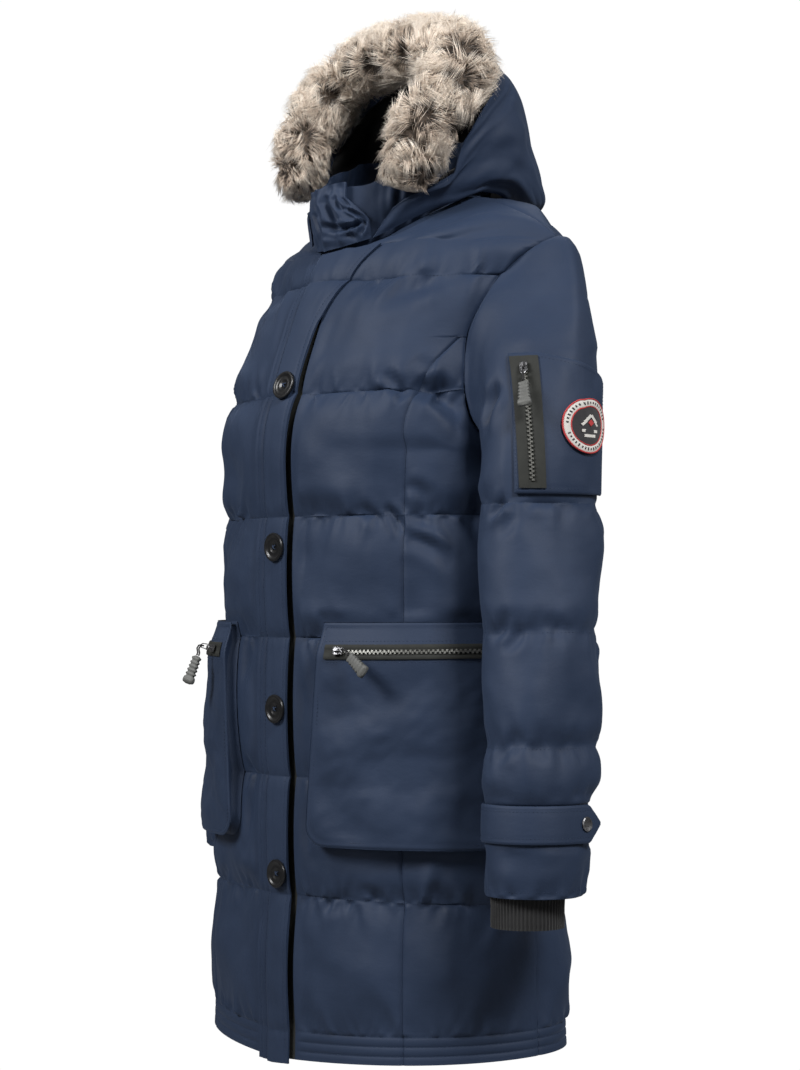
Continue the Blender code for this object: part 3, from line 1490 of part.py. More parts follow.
def zip_pull(name, frame, swing, droop):
    """Pull that hinges under its slider's arch: metal tab, cord and grip.

    X runs along the zip, Y is the hinge and Z points out of the cloth. The
    pull is turned up from the cloth by its swing, and hangs by its droop.
    """
    hinge = Matrix.Rotation(-swing, 4, "Y")
    matrix = frame_matrix(frame, AXLE_HEIGHT + ZIP_RIDGE + SLIDER_SEAT) @ hinge
    bar = 0.00055
    half = 0.0024
    far = TAB_LENGTH
    tab_path = [
        (0, -half, 0), (0, half, 0), (0.45 * far, half, 0), (0.9 * far, 0.85 * half, 0),
        (far, 0.4 * half, 0), (far, -0.4 * half, 0), (0.9 * far, -0.85 * half, 0), (0.45 * far, -half, 0),
    ]
    swept(name + "_tab", METAL, tab_path, (bar, bar), matrix, sides=6, closed=True)
    down = -1.0 if droop >= 0 else 1.0
    lean = abs(droop)

    def hanging(distance, side_z):
        """Point of the cord: out past the tab, then bending to hang."""
        bend = min(distance / 0.008, 1.0)
        angle = lean * bend
        run = far - 0.0002 + distance * math.cos(0.6 * angle)
        fall = distance * math.sin(0.6 * angle) if lean else 0.0
        return (run, down * fall, side_z)

    cord = 0.0008
    side = bar + cord + 0.0004
    path = [hanging(d, side) for d in (0.011, 0.008, 0.005, 0.002)]
    path += [(far - 0.0006, 0, side), (far - 0.0020, 0, 0.7 * side), (far - 0.0024, 0, 0.0),
             (far - 0.0020, 0, -0.7 * side), (far - 0.0006, 0, -side)]
    path += [hanging(d, -side) for d in (0.002, 0.005, 0.008, 0.011)]
    swept(name + "_cord", CORD, path, (cord, cord), matrix, sides=6)
    first = np.array(hanging(0.0113, 0.0))
    step = np.array(hanging(0.0113, 0.0)) - np.array(hanging(0.0105, 0.0))
    step /= np.linalg.norm(step)
    marks = (0.0, 0.001, 0.004, 0.006, 0.009, 0.011, 0.015, 0.017, 0.021, 0.024, 0.025)
    wides = (0.0030, 0.0038, 0.0041, 0.0035, 0.0045, 0.0039, 0.0049, 0.0042, 0.0052, 0.0050, 0.0036)
    grip_path = [first + step * (mark + 0.0002) for mark in marks]
    sizes = [(wide, 0.0027 if 0 < i < 10 else 0.0020) for i, wide in enumerate(wides)]
    swept(name + "_grip", RUBBER, grip_path, sizes, matrix, sides=8)


def pocket_zip(side):
    """Zip across a body pocket with its slider at the front end."""
    middle = 0.158
    length = 0.152

    def place(mark, across, raised):
        return pocket_surface(middle + mark, POCKET_ZIP_HEIGHT - across, raised)

    zip_tape("pocket_zip_" + side, place, length, POCKET_ZIP_WIDTH, side)
    along = 0.0980
    origin = pocket_surface(along, POCKET_ZIP_HEIGHT, 0.0)
    ahead = pocket_surface(along + 0.004, POCKET_ZIP_HEIGHT, 0.0) - origin
    above = pocket_surface(along, POCKET_ZIP_HEIGHT + 0.003, 0.0) - origin
    out = np.cross(above, ahead)
    if out[1] > 0:
        out = -out
    if side == "right":
        origin, ahead, out = mirrored(origin), mirrored(ahead), mirrored(out)
    frame = ZipFrame(origin, ahead, above, out)
    slider("pocket_slider_" + side, frame)
    if side == "left":
        zip_pull("pocket_pull_left", frame, math.radians(12.0), math.radians(62.0))
    else:
        zip_pull("pocket_pull_right", frame, math.radians(42.0), math.radians(-140.0))


# ---------------------------------------------------------------- sleeve pocket

SLEEVE_POCKET_TOP = 0.661
SLEEVE_POCKET_BOTTOM = 0.532
SLEEVE_POCKET_FALL = 0.0115
SLEEVE_POCKET_TURNS = (-48.0, 60.0)
SLEEVE_ZIP_TURN = math.radians(44.5)
SLEEVE_ZIP_LEAN = math.radians(29.0)
BADGE_TURN = -10.0
BADGE_HEIGHT = 0.594


def sleeve_place(height, turn, raised):
    """Point over the left sleeve at a height."""

    def at_level(level):
        return sleeve_point(LEFT_SLEEVE, level, turn)[2] + NECK_LEVEL

    low, high = 0.0, 2.0
    for _ in range(34):
        middle = 0.5 * (low + high)
        if at_level(middle) > height:
            low = middle
        else:
            high = middle
    level = 0.5 * (low + high)
    normal = sleeve_normal(LEFT_SLEEVE, level, turn)
    rest = sleeve_puff(LEFT_SLEEVE, level, turn) - 0.0003
    return sleeve_point(LEFT_SLEEVE, level, turn) + (rest + raised) * normal


def sleeve_pocket_top(turn):
    """Height of the pocket's top edge, which falls toward the back."""
    return SLEEVE_POCKET_TOP - SLEEVE_POCKET_FALL * min(max(0.0, (0.60 - turn) / 0.88), 1.5)


def sleeve_pocket():
    """Flat pocket on the left upper sleeve."""
    shares = np.linspace(0.0, 1.0, 7)
    turns = np.radians(np.linspace(*SLEEVE_POCKET_TURNS, 11))

    def height(share, turn):
        """Height at a share of the way up the pocket."""
        return SLEEVE_POCKET_BOTTOM + share * (sleeve_pocket_top(turn) - SLEEVE_POCKET_BOTTOM)

    def face(raised):
        """Grid of one face."""
        return np.array([[sleeve_place(height(share, turn), turn, raised) for turn in turns]
                         for share in shares[::-1]])

    shell = Shell()
    close_open_grid(shell, face(0.0045), face(0.0025), list(shares), list(shares))
    shell.build("sleeve_pocket", NAVY)


def sleeve_zip():
    """Upright zip on the sleeve pocket with its slider at the top."""
    middle = 0.5 * (SLEEVE_POCKET_TOP + SLEEVE_POCKET_BOTTOM)
    length = 0.120
    radius = 0.056

    def place(mark, across, raised):
        turn = SLEEVE_ZIP_TURN - SLEEVE_ZIP_LEAN * mark - across / radius
        return sleeve_place(middle - mark, turn, 0.0045 + raised)

    zip_tape("sleeve_zip", place, length, 0.0235, "left")
    origin = place(-0.5 * length + 0.012, 0.0, 0.0)
    ahead = place(-0.5 * length + 0.020, 0.0, 0.0) - origin
    beside = place(-0.5 * length + 0.012, 0.003, 0.0) - origin
    out = np.cross(ahead, beside)
    if out[0] < 0:
        out = -out
    frame = ZipFrame(origin, ahead, beside, out)
    slider("sleeve_slider", frame)
    zip_pull("sleeve_pull", frame, math.radians(12.0), 0.0)


def sleeve_badge():
    """Round sewn badge beside the sleeve zip."""
    radius = 0.0535
    turn = math.radians(BADGE_TURN)
    rings = []
    for share, raised in ((1.0, 0.0059), (1.0, 0.0073), (0.55, 0.0075)):
        ring = []
        for k in range(20):
            angle = 2 * math.pi * k / 20
            across = share * BADGE_RADIUS * math.cos(angle)
            upward = share * BADGE_RADIUS * math.sin(angle)
            ring.append(sleeve_place(BADGE_HEIGHT + upward, turn - across / radius, raised))
        rings.append(ring)
    top = sleeve_place(BADGE_HEIGHT, turn, 0.0075)
    floor_ring = []
    for k in range(20):
        angle = 2 * math.pi * k / 20
        across = 0.55 * BADGE_RADIUS * math.cos(angle)
        upward = 0.55 * BADGE_RADIUS * math.sin(angle)
        floor_ring.append(sleeve_place(BADGE_HEIGHT + upward, turn - across / radius, 0.0060))
    floor = sleeve_place(BADGE_HEIGHT, turn, 0.0060)
    shell = Shell()
    shell.sheet(np.array([floor_ring] + rings), ring=True)
    for k in range(20):
        n = (k + 1) % 20
        shell.face(rings[-1][k], rings[-1][n], top)
        shell.face(floor_ring[k], floor_ring[n], floor)
    shell.build("sleeve_badge", BADGE)


# ---------------------------------------------------------------- main

def main():
    front_panel("left")
    front_panel("right")
    side_front_panel("left")
    side_front_panel("right")
    back_panel()
    button_strip()
    front_zip()
    buttons()
    for side, rings in (("left", LEFT_SLEEVE), ("right", RIGHT_SLEEVE)):
        sleeve_pieces(side, rings)
        rib_cuff(side, rings)
        cuff_strap(side, rings)
        pocket(side)
        pocket_zip(side)
    sleeve_pocket()
    sleeve_zip()
    sleeve_badge()
    collar()
    hood_halves()
    hood_lining()
    fur_trim()


def clear_scene():
    """Empty file to build in."""
    for thing in list(bpy.data.objects):
        bpy.data.objects.remove(thing)


clear_scene()
COAT = bpy.data.collections.new("fur_trimmed_parka")
bpy.context.scene.collection.children.link(COAT)
NAVY = finish("navy_shell", (0.019, 0.032, 0.068), 0.55, sheen=0.2)
ZIP_BLACK = finish("black_zip_tape", (0.012, 0.012, 0.013), 0.60)
BUTTON_BLACK = finish("black_button", (0.010, 0.010, 0.012), 0.35)
FUR = finish("beige_grey_fur", (0.330, 0.250, 0.190), 0.90)
LINING = finish("black_lining", (0.006, 0.006, 0.007), 0.70)
METAL = finish("gunmetal", (0.300, 0.300, 0.310), 0.30, metallic=1.0)
CORD = finish("black_cord", (0.012, 0.012, 0.013), 0.80)
RUBBER = finish("black_rubber", (0.018, 0.018, 0.019), 0.50)
BADGE = finish("badge_cloth", (0.100, 0.060, 0.055), 0.70)
RIB_BLACK = finish("black_rib_knit", (0.009, 0.009, 0.010), 0.85)

if __name__ == "__main__":
    main()
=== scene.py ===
"""Looks of the fur trimmed parka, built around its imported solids.

Every soft piece is a thin closed shell on its solid's own form. Quilting,
gathers and creases are raised in its outer points. Heights in the tables are
measured up from the hem, and distances across run from the centre line.
"""

import logging
import math
from dataclasses import dataclass, field
from enum import Enum
from typing import Callable, NamedTuple, Optional, Sequence

import bmesh
import bpy
import numpy as np
from mathutils import Matrix, Vector


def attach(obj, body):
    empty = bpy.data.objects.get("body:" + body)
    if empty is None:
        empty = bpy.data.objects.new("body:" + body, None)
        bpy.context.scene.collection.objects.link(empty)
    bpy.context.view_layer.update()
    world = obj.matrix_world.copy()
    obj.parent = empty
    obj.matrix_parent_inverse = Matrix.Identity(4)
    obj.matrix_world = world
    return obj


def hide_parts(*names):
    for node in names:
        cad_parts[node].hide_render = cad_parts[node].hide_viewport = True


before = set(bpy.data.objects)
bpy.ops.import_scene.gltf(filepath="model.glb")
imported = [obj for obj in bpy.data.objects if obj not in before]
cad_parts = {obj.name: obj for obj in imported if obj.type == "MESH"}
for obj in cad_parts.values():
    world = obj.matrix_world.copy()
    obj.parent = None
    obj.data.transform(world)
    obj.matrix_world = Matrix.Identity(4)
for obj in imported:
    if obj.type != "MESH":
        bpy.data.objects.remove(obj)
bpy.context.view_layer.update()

LOG = logging.getLogger("parka")

NECK_LEVEL = 0.800
WALL = 0.0020
SEAM_GAP = 0.0003
PUFF = 0.0070
HEM_TILT_X = 0.045
HEM_TILT_Y = 0.050
HEM_TILT_TOP = 0.15
HEM_ROWS = (0.0080, 0.0170)
ARMPIT_ROW = 0.575
PRINCESS_TOP = 0.684
SHOULDER_ROW = 0.808
SIDE_SEAM_TOP = 0.600
FRONT_NECK_ROW = 0.772
BACK_NECK_ROW = 0.784
FINE_ROWS_FROM = 0.760
QUILT_ROWS = (0.0, 0.026, 0.1525, 0.266, 0.400, 0.516, 0.634, 0.744, 0.808)

PLACKET_RIGHT_EDGE = -0.027
PLACKET_LIFT = 0.0034
PLACKET_WALL = 0.0022
ZIP_RIGHT_EDGE = -0.010
LEFT_FRONT_EDGE = 0.0284
BUTTON_HEIGHTS = (0.641, 0.487, 0.331, 0.172)

POCKET_TOP = 0.415
POCKET_BOTTOM = 0.203
POCKET_DEPTH = 0.013
POCKET_CORNER = 0.020
POCKET_NEAR_TOP = 0.0745
POCKET_NEAR_LOW = 0.0600
POCKET_FAR_TOP = 0.246
POCKET_FAR_LOW = 0.252
POCKET_MIDDLE_ACROSS = 0.158
POCKET_MIDDLE_UP = 0.305
POCKET_ZIP_HEIGHT = 0.387
POCKET_ZIP_WIDTH = 0.014
POCKET_LIP = 0.0045
POCKET_STITCH = 0.0060

SLEEVE_HEM = 0.171
STRAP_LOW = 0.219
STRAP_HIGH = 0.253
RIB_BOTTOM = 0.142
RIB_RADIUS = 0.0335
BACK_SLEEVE_SEAM = math.radians(-60.0)
STRAP_LEAVES = 0.0
STRAP_BEND = 0.010
SLEEVE_POCKET_TOP = 0.661
SLEEVE_POCKET_BOTTOM = 0.532
SLEEVE_POCKET_FALL = 0.0115
SLEEVE_POCKET_TURNS = (-48.0, 60.0)
SLEEVE_ZIP_TURN = math.radians(44.5)
SLEEVE_ZIP_LEAN = math.radians(29.0)
BADGE_TURN = -10.0
BADGE_HEIGHT = 0.594

FUR_SECTION_OUT = 0.034
FUR_SECTION_FRONT = 0.040
HOOD_SET_BACK = 0.0425

MIRROR = np.array((-1.0, 1.0, 1.0))


class Slot(str, Enum):
    """Finishes that pieces take."""

    NAVY = "navy_shell"
    TAPE = "black_zip_tape"
    BUTTON = "black_button"
    FUR = "beige_grey_fur"
    LINING = "black_lining"
    RIB = "black_rib_knit"
    METAL = "gunmetal"
    CORD = "black_cord"
    RUBBER = "black_rubber"
    BADGE = "badge_cloth"


class Row(NamedTuple):
    """One cross row of the body: where it starts, bends and ends."""

    row: float
    start: tuple
    bend: tuple
    end: tuple
    roundness: float


class Ring(NamedTuple):
    """Centre and half widths of one sleeve section below the sleeve cap."""

    height: float
    centre_x: float
    centre_y: float
    half_x: float
    half_y: float


class Arch(NamedTuple):
    """Bend points of one hood arch, from neck seam up to the centre seam."""

    share: float
    low_bend: tuple
    high_bend: tuple
    crown: tuple


class Crease(NamedTuple):
    """Soft trough from one spot to another; bow pushes its middle aside."""

    from_across: float
    from_up: float
    to_across: float
    to_up: float
    width: float
    depth: float
    bow: float


# Height, half width, depth of the side point, front depth, back depth
BODY = (
    (0.000, 0.227, 0.000, 0.139, 0.116),
    (0.150, 0.219, 0.000, 0.136, 0.113),
    (0.300, 0.206, 0.000, 0.137, 0.108),
    (0.420, 0.195, 0.001, 0.138, 0.104),
    (0.500, 0.190, 0.002, 0.139, 0.106),
    (0.575, 0.188, 0.003, 0.140, 0.116),
)
BODY_ROUNDNESS = 0.78

FRONT_YOKE = (
    Row(0.595, (0, -0.1390, 0.595), (0.178, -0.135, 0.595), (0.1815, -0.030, 0.592), 0.82),
    Row(0.612, (0, -0.1370, 0.612), (0.169, -0.130, 0.612), (0.1750, -0.0415, 0.612), 0.84),
    Row(0.640, (0, -0.1300, 0.640), (0.158, -0.119, 0.640), (0.1680, -0.0430, 0.640), 0.85),
    Row(0.684, (0, -0.1140, 0.684), (0.152, -0.099, 0.684), (0.1655, -0.0370, 0.684), 0.85),
    Row(0.720, (0, -0.1010, 0.720), (0.156, -0.084, 0.721), (0.1695, -0.0220, 0.720), 0.85),
    Row(0.744, (0, -0.0910, 0.744), (0.158, -0.068, 0.748), (0.1770, -0.0060, 0.744), 0.85),
    Row(0.760, (0, -0.0830, 0.760), (0.154, -0.052, 0.769), (0.1850, 0.0080, 0.760), 0.85),
    Row(0.772, (0, -0.0750, 0.773), (0.150, -0.036, 0.783), (0.1920, 0.0160, 0.768), 0.85),
    Row(0.778, (0.021, -0.0690, 0.777), (0.150, -0.025, 0.791), (0.1965, 0.0205, 0.772), 0.86),
    Row(0.784, (0.042, -0.0540, 0.784), (0.150, -0.014, 0.799), (0.2000, 0.0240, 0.775), 0.88),
    Row(0.796, (0.066, -0.0240, 0.804), (0.155, 0.008, 0.812), (0.2060, 0.0310, 0.779), 0.94),
    Row(0.808, (0.090, 0.0260, 0.832), (0.160, 0.030, 0.818), (0.2100, 0.0360, 0.781), 1.00),
)

BACK_YOKE = (
    Row(0.595, (0, 0.1200, 0.595), (0.181, 0.116, 0.595), (0.1850, 0.0400, 0.592), 0.80),
    Row(0.612, (0, 0.1225, 0.612), (0.176, 0.119, 0.612), (0.1800, 0.0620, 0.612), 0.80),
    Row(0.640, (0, 0.1260, 0.640), (0.170, 0.122, 0.640), (0.1755, 0.0790, 0.640), 0.80),
    Row(0.684, (0, 0.1285, 0.686), (0.165, 0.124, 0.685), (0.1740, 0.0860, 0.684), 0.80),
    Row(0.720, (0, 0.1280, 0.724), (0.165, 0.119, 0.724), (0.1780, 0.0820, 0.718), 0.80),
    Row(0.744, (0, 0.1250, 0.752), (0.167, 0.112, 0.752), (0.1850, 0.0740, 0.742), 0.80),
    Row(0.760, (0, 0.1200, 0.778), (0.169, 0.101, 0.776), (0.1920, 0.0640, 0.758), 0.82),
    Row(0.772, (0, 0.1130, 0.804), (0.170, 0.089, 0.797), (0.1990, 0.0550, 0.769), 0.85),
    Row(0.784, (0, 0.1000, 0.829), (0.168, 0.073, 0.811), (0.2040, 0.0480, 0.775), 0.90),
    Row(0.790, (0.031, 0.0950, 0.832), (0.166, 0.063, 0.815), (0.2055, 0.0450, 0.777), 0.92),
    Row(0.796, (0.060, 0.0790, 0.834), (0.164, 0.052, 0.818), (0.2070, 0.0420, 0.779), 0.95),
    Row(0.802, (0.081, 0.0550, 0.834), (0.162, 0.041, 0.818), (0.2085, 0.0390, 0.780), 0.98),
    Row(0.808, (0.090, 0.0260, 0.832), (0.160, 0.030, 0.818), (0.2100, 0.0360, 0.781), 1.00),
)

# Height, distance of the princess seam from the centre
PRINCESS_SEAM = (
    (0.000, 0.154), (0.200, 0.149), (0.420, 0.144), (0.510, 0.1425),
    (0.588, 0.1445), (0.6465, 0.1500), (0.684, 0.1632),
)

# Height, distance of the button strip's free edge from the centre
PLACKET_EDGE = (
    (-0.010, 0.024), (0.300, 0.024), (0.600, 0.025), (0.690, 0.028),
    (0.720, 0.034), (0.750, 0.048), (0.772, 0.066),
)

LEFT_SLEEVE = (
    Ring(0.524, 0.2520, -0.0225, 0.0485, 0.0570),
    Ring(0.408, 0.2745, -0.0415, 0.0470, 0.0535),
    Ring(0.305, 0.2885, -0.0540, 0.0455, 0.0495),
    Ring(0.253, 0.2930, -0.0610, 0.0445, 0.0475),
    Ring(SLEEVE_HEM, 0.2995, -0.0680, 0.0435, 0.0450),
)
RIGHT_SLEEVE = (
    Ring(0.524, 0.2480, 0.0420, 0.0485, 0.0570),
    Ring(0.408, 0.2580, 0.0450, 0.0470, 0.0535),
    Ring(0.305, 0.2665, 0.0380, 0.0455, 0.0495),
    Ring(0.253, 0.2695, 0.0300, 0.0445, 0.0475),
    Ring(SLEEVE_HEM, 0.2720, 0.0220, 0.0435, 0.0450),
)
CAP_SEAMS = (0.0, 1.0)
CAP_ROWS = (0.720, 0.622)
TUBE_SEAMS = (0.524, 0.408, 0.305, STRAP_HIGH, SLEEVE_HEM)
CAP_LENGTH = 0.270
TUBE_LENGTH = 0.353

HOOD = (
    Arch(0.00, (0.1380, -0.0100, 0.8620), (0.1280, 0.0460, 0.9980), (0, 0.0500, 0.9920)),
    Arch(0.25, (0.1540, 0.0295, 0.8665), (0.1280, 0.0935, 0.9890), (0, 0.1020, 0.9740)),
    Arch(0.50, (0.1410, 0.0670, 0.8500), (0.1055, 0.1275, 0.9355), (0, 0.1305, 0.9220)),
    Arch(0.75, (0.1185, 0.1255, 0.8100), (0.0855, 0.1450, 0.8540), (0, 0.1440, 0.8625)),
    Arch(1.00, (0, 0.1380, 0.8115), (0, 0.1600, 0.8030), (0, 0.1695, 0.8200)),
)

FUR_LINE = (
    (0.0870, -0.0460, 0.833), (0.0960, -0.0400, 0.880), (0.1050, -0.0200, 0.920),
    (0.1040, 0.0040, 0.953), (0.0750, 0.0170, 0.977), (0.0000, 0.0180, 0.988),
)
FUR_RIGHT_END = (-0.0895, -0.0445, 0.848)

# Troughs on the front halves: across from the centre, up from the hem
FRONT_CREASES = (
    Crease(0.1250, 0.6490, 0.1490, 0.6210, 0.0050, 0.0057, 0.003),
    Crease(0.1540, 0.6400, 0.2080, 0.6080, 0.0090, 0.0100, 0.005),
    Crease(0.1480, 0.6620, 0.1680, 0.6500, 0.0060, 0.0022, 0.001),
    Crease(0.1340, 0.5240, 0.1500, 0.4980, 0.0046, 0.0051, 0.003),
    Crease(0.1520, 0.5060, 0.1950, 0.4840, 0.0055, -0.0031, 0.004),
    Crease(0.1560, 0.4930, 0.1960, 0.4660, 0.0080, 0.0035, 0.006),
    Crease(0.1540, 0.5440, 0.1760, 0.5320, 0.0065, 0.0032, 0.002),
    Crease(0.1060, 0.5240, 0.1310, 0.5080, 0.0060, 0.0022, 0.002),
    Crease(0.0554, 0.7440, 0.1546, 0.7420, 0.0100, 0.0027, -0.004),
    Crease(0.0900, 0.7300, 0.1500, 0.7520, 0.0085, -0.0024, 0.003),
    Crease(0.0950, 0.7140, 0.1540, 0.7380, 0.0100, 0.0024, 0.003),
    Crease(0.0480, 0.3950, 0.0600, 0.3400, 0.0080, 0.0019, 0.002),
    Crease(0.0500, 0.2500, 0.0560, 0.1800, 0.0080, 0.0019, -0.002),
    Crease(0.1800, 0.1700, 0.2150, 0.1480, 0.0070, 0.0030, 0.002),
    Crease(0.1100, 0.1650, 0.1350, 0.1480, 0.0060, 0.0024, 0.002),
    Crease(0.0700, 0.1400, 0.1000, 0.1540, 0.0070, 0.0019, 0.002),
)
BACK_CREASES = (
    Crease(0.175, 0.660, 0.120, 0.634, 0.008, 0.0046, 0.003),
    Crease(0.190, 0.610, 0.130, 0.636, 0.009, 0.0041, -0.003),
    Crease(0.060, 0.640, 0.020, 0.628, 0.008, 0.0022, 0.001),
    Crease(0.160, 0.540, 0.110, 0.514, 0.008, 0.0041, 0.003),
    Crease(0.200, 0.480, 0.150, 0.512, 0.009, 0.0032, -0.004),
    Crease(0.080, 0.420, 0.040, 0.402, 0.008, 0.0024, 0.002),
    Crease(0.190, 0.420, 0.150, 0.398, 0.008, 0.0030, 0.002),
    Crease(0.120, 0.290, 0.085, 0.268, 0.008, 0.0027, 0.002),
    Crease(0.210, 0.180, 0.170, 0.154, 0.008, 0.0030, 0.002),
    Crease(0.090, 0.778, 0.030, 0.760, 0.010, 0.0022, 0.003),
)
# Troughs on a sleeve: turn in degrees, level
SLEEVE_CREASES = (
    Crease(74.0, 0.51, 99.0, 0.61, 0.0080, 0.0090, -0.003),
    Crease(58.0, 0.60, 65.0, 0.66, 0.0046, 0.0041, 0.001),
    Crease(90.0, 0.52, 104.0, 0.42, 0.0070, 0.0032, 0.002),
    Crease(72.0, 0.96, 90.0, 1.04, 0.0046, 0.0057, 0.002),
    Crease(88.0, 1.06, 66.0, 1.02, 0.0046, -0.0024, 0.002),
    Crease(62.0, 1.03, 74.0, 1.09, 0.0050, 0.0030, 0.002),
    Crease(50.0, 1.00, 20.0, 0.99, 0.0060, 0.0024, 0.001),
    Crease(56.0, 1.31, 76.0, 1.38, 0.0060, 0.0041, 0.003),
    Crease(92.0, 1.35, 70.0, 1.28, 0.0060, 0.0041, -0.003),
    Crease(14.0, 1.33, 30.0, 1.29, 0.0055, 0.0024, 0.002),
    Crease(60.0, 1.58, 80.0, 1.66, 0.0060, 0.0035, 0.002),
    Crease(30.0, 1.66, 44.0, 1.60, 0.0055, 0.0024, 0.002),
    Crease(-40.0, 0.70, -58.0, 0.82, 0.0075, 0.0041, 0.003),
    Crease(-66.0, 0.60, -92.0, 0.70, 0.0070, 0.0046, -0.003),
    Crease(-30.0, 1.06, -50.0, 0.98, 0.0070, 0.0032, 0.003),
    Crease(-100.0, 0.90, -70.0, 1.04, 0.0085, 0.0046, 0.004),
    Crease(-90.0, 1.36, -64.0, 1.30, 0.0080, 0.0038, 0.003),
)
# Troughs on a hood half: share from front to back, share up
HOOD_CREASES = (
    Crease(0.30, 0.66, 0.04, 0.36, 0.0080, 0.0040, 0.006),
    Crease(0.22, 0.56, 0.02, 0.30, 0.0070, -0.0020, 0.004),
    Crease(0.46, 0.30, 0.16, 0.22, 0.0140, 0.0026, -0.006),
    Crease(0.76, 0.14, 0.36, 0.10, 0.0120, 0.0028, 0.003),
    Crease(0.85, 0.42, 0.60, 0.30, 0.0130, 0.0024, 0.003),
    Crease(0.50, 0.80, 0.30, 0.70, 0.0120, 0.0018, 0.003),
)


# ---------------------------------------------------------------- curves

def lift(points: np.ndarray) -> np.ndarray:
    """Points given by heights above the hem, in the part's own frame."""
    return np.asarray(points, dtype=float) - np.array((0.0, 0.0, NECK_LEVEL))


def even_slopes(knots: np.ndarray, values: np.ndarray) -> np.ndarray:
    """Slopes that keep a curve from swinging past its own knots.

    Args:
        knots: Rising table positions.
        values: Value or vector at each.

    Returns:
        Slope at each knot.
    """
    widths = np.diff(knots).reshape((-1,) + (1,) * (values.ndim - 1))
    steps = np.diff(values, axis=0) / widths
    slopes = np.zeros_like(values)
    slopes[0] = steps[0]
    slopes[-1] = steps[-1]
    before = steps[:-1]
    after = steps[1:]
    same_way = before * after > 0
    total = np.where(same_way, before + after, 1.0)
    slopes[1:-1] = np.where(same_way, 2 * before * after / total, 0.0)
    return slopes


def smooth(knots: Sequence, values: Sequence, at: np.ndarray) -> np.ndarray:
    """Smooth curve through table values.

    Args:
        knots: Rising table positions.
        values: One value or vector for each knot.
        at: Positions to read, in an array of any shape.

    Returns:
        Array of at's shape, with the vectors' axes after it.
    """
    knots = np.asarray(knots, dtype=float)
    values = np.asarray(values, dtype=float)
    at = np.clip(np.asarray(at, dtype=float), knots[0], knots[-1])
    slopes = even_slopes(knots, values)
    i = np.clip(np.searchsorted(knots, at, side="right") - 1, 0, len(knots) - 2)
    shape = at.shape + (1,) * (values.ndim - 1)
    span = (knots[i + 1] - knots[i]).reshape(shape)
    t = (at - knots[i]).reshape(shape) / span
    near = (2 * t ** 3 - 3 * t ** 2 + 1) * values[i] + (t ** 3 - 2 * t ** 2 + t) * span * slopes[i]
    far = (3 * t ** 2 - 2 * t ** 3) * values[i + 1] + (t ** 3 - t ** 2) * span * slopes[i + 1]
    return near + far


def column(table: Sequence, at: np.ndarray) -> np.ndarray:
    """Smooth reading of a table of (position, value) pairs."""
    return smooth([p for p, _ in table], [v for _, v in table], at)


def spread(line: np.ndarray, count: int) -> np.ndarray:
    """Same line with evenly spaced points.

    Args:
        line: Points in order.
        count: Number of points.

    Returns:
        That many points on the line.
    """
    along = line_lengths(line)
    marks = np.linspace(0.0, along[-1], count)
    return np.stack([np.interp(marks, along, line[:, k]) for k in range(line.shape[1])], axis=1)


def line_lengths(line: np.ndarray) -> np.ndarray:
    """Distance along a line at each of its points."""
    return np.concatenate(([0.0], np.cumsum(np.linalg.norm(np.diff(line, axis=0), axis=1))))


def spline(points: np.ndarray, count: int) -> np.ndarray:
    """Smooth line through a few points, evenly spaced.

    Args:
        points: Points that it passes.
        count: Number of points.

    Returns:
        That many points on the curve.
    """
    points = np.asarray(points, dtype=float)
    knots = line_lengths(points)
    return spread(smooth(knots, points, np.linspace(0.0, knots[-1], count * 6)), count)


def on_line(line: np.ndarray, marks: np.ndarray) -> np.ndarray:
    """Points at shares, from 0 to 1, of an evenly spaced line.

    Args:
        line: Evenly spaced points.
        marks: Shares from 0 to 1.

    Returns:
        Point for each share.
    """
    place = np.clip(marks, 0.0, 1.0) * (len(line) - 1)
    i = np.minimum(place.astype(int), len(line) - 2)
    part = (place - i)[..., None]
    return line[i] * (1 - part) + line[i + 1] * part


def unit(vectors: np.ndarray) -> np.ndarray:
    """Vectors of length 1."""
    return vectors / np.maximum(np.linalg.norm(vectors, axis=-1, keepdims=True), 1e-12)


def ease(value: np.ndarray) -> np.ndarray:
    """Soft step from 0 to 1."""
    t = np.clip(value, 0.0, 1.0)
    return t * t * (3 - 2 * t)


def marks_between(low: float, high: float, pitch: float, stops: Sequence = (),
                  close: Sequence = (0.0008, 0.0022, 0.0045)) -> np.ndarray:
    """Even marks from low to high, with extra ones beside each stop.

    Args:
        low: Lower end.
        high: Upper end.
        pitch: Widest spacing.
        stops: Marks that must be met.
        close: Distances of the extra marks from each stop.

    Returns:
        Rising marks.
    """
    count = max(int(math.ceil((high - low) / pitch)), 2)
    marks = list(np.linspace(low, high, count + 1))
    extra = [low, high]
    for stop in stops:
        if low - 1e-9 <= stop <= high + 1e-9:
            extra.append(stop)
            extra.extend(stop + side * d for d in close for side in (-1, 1))
    extra = [mark for mark in extra if low <= mark <= high]
    marks = [m for m in marks if min(abs(m - e) for e in extra) > 0.3 * pitch] + extra
    return np.unique(np.round(marks, 7))


# ---------------------------------------------------------------- relief

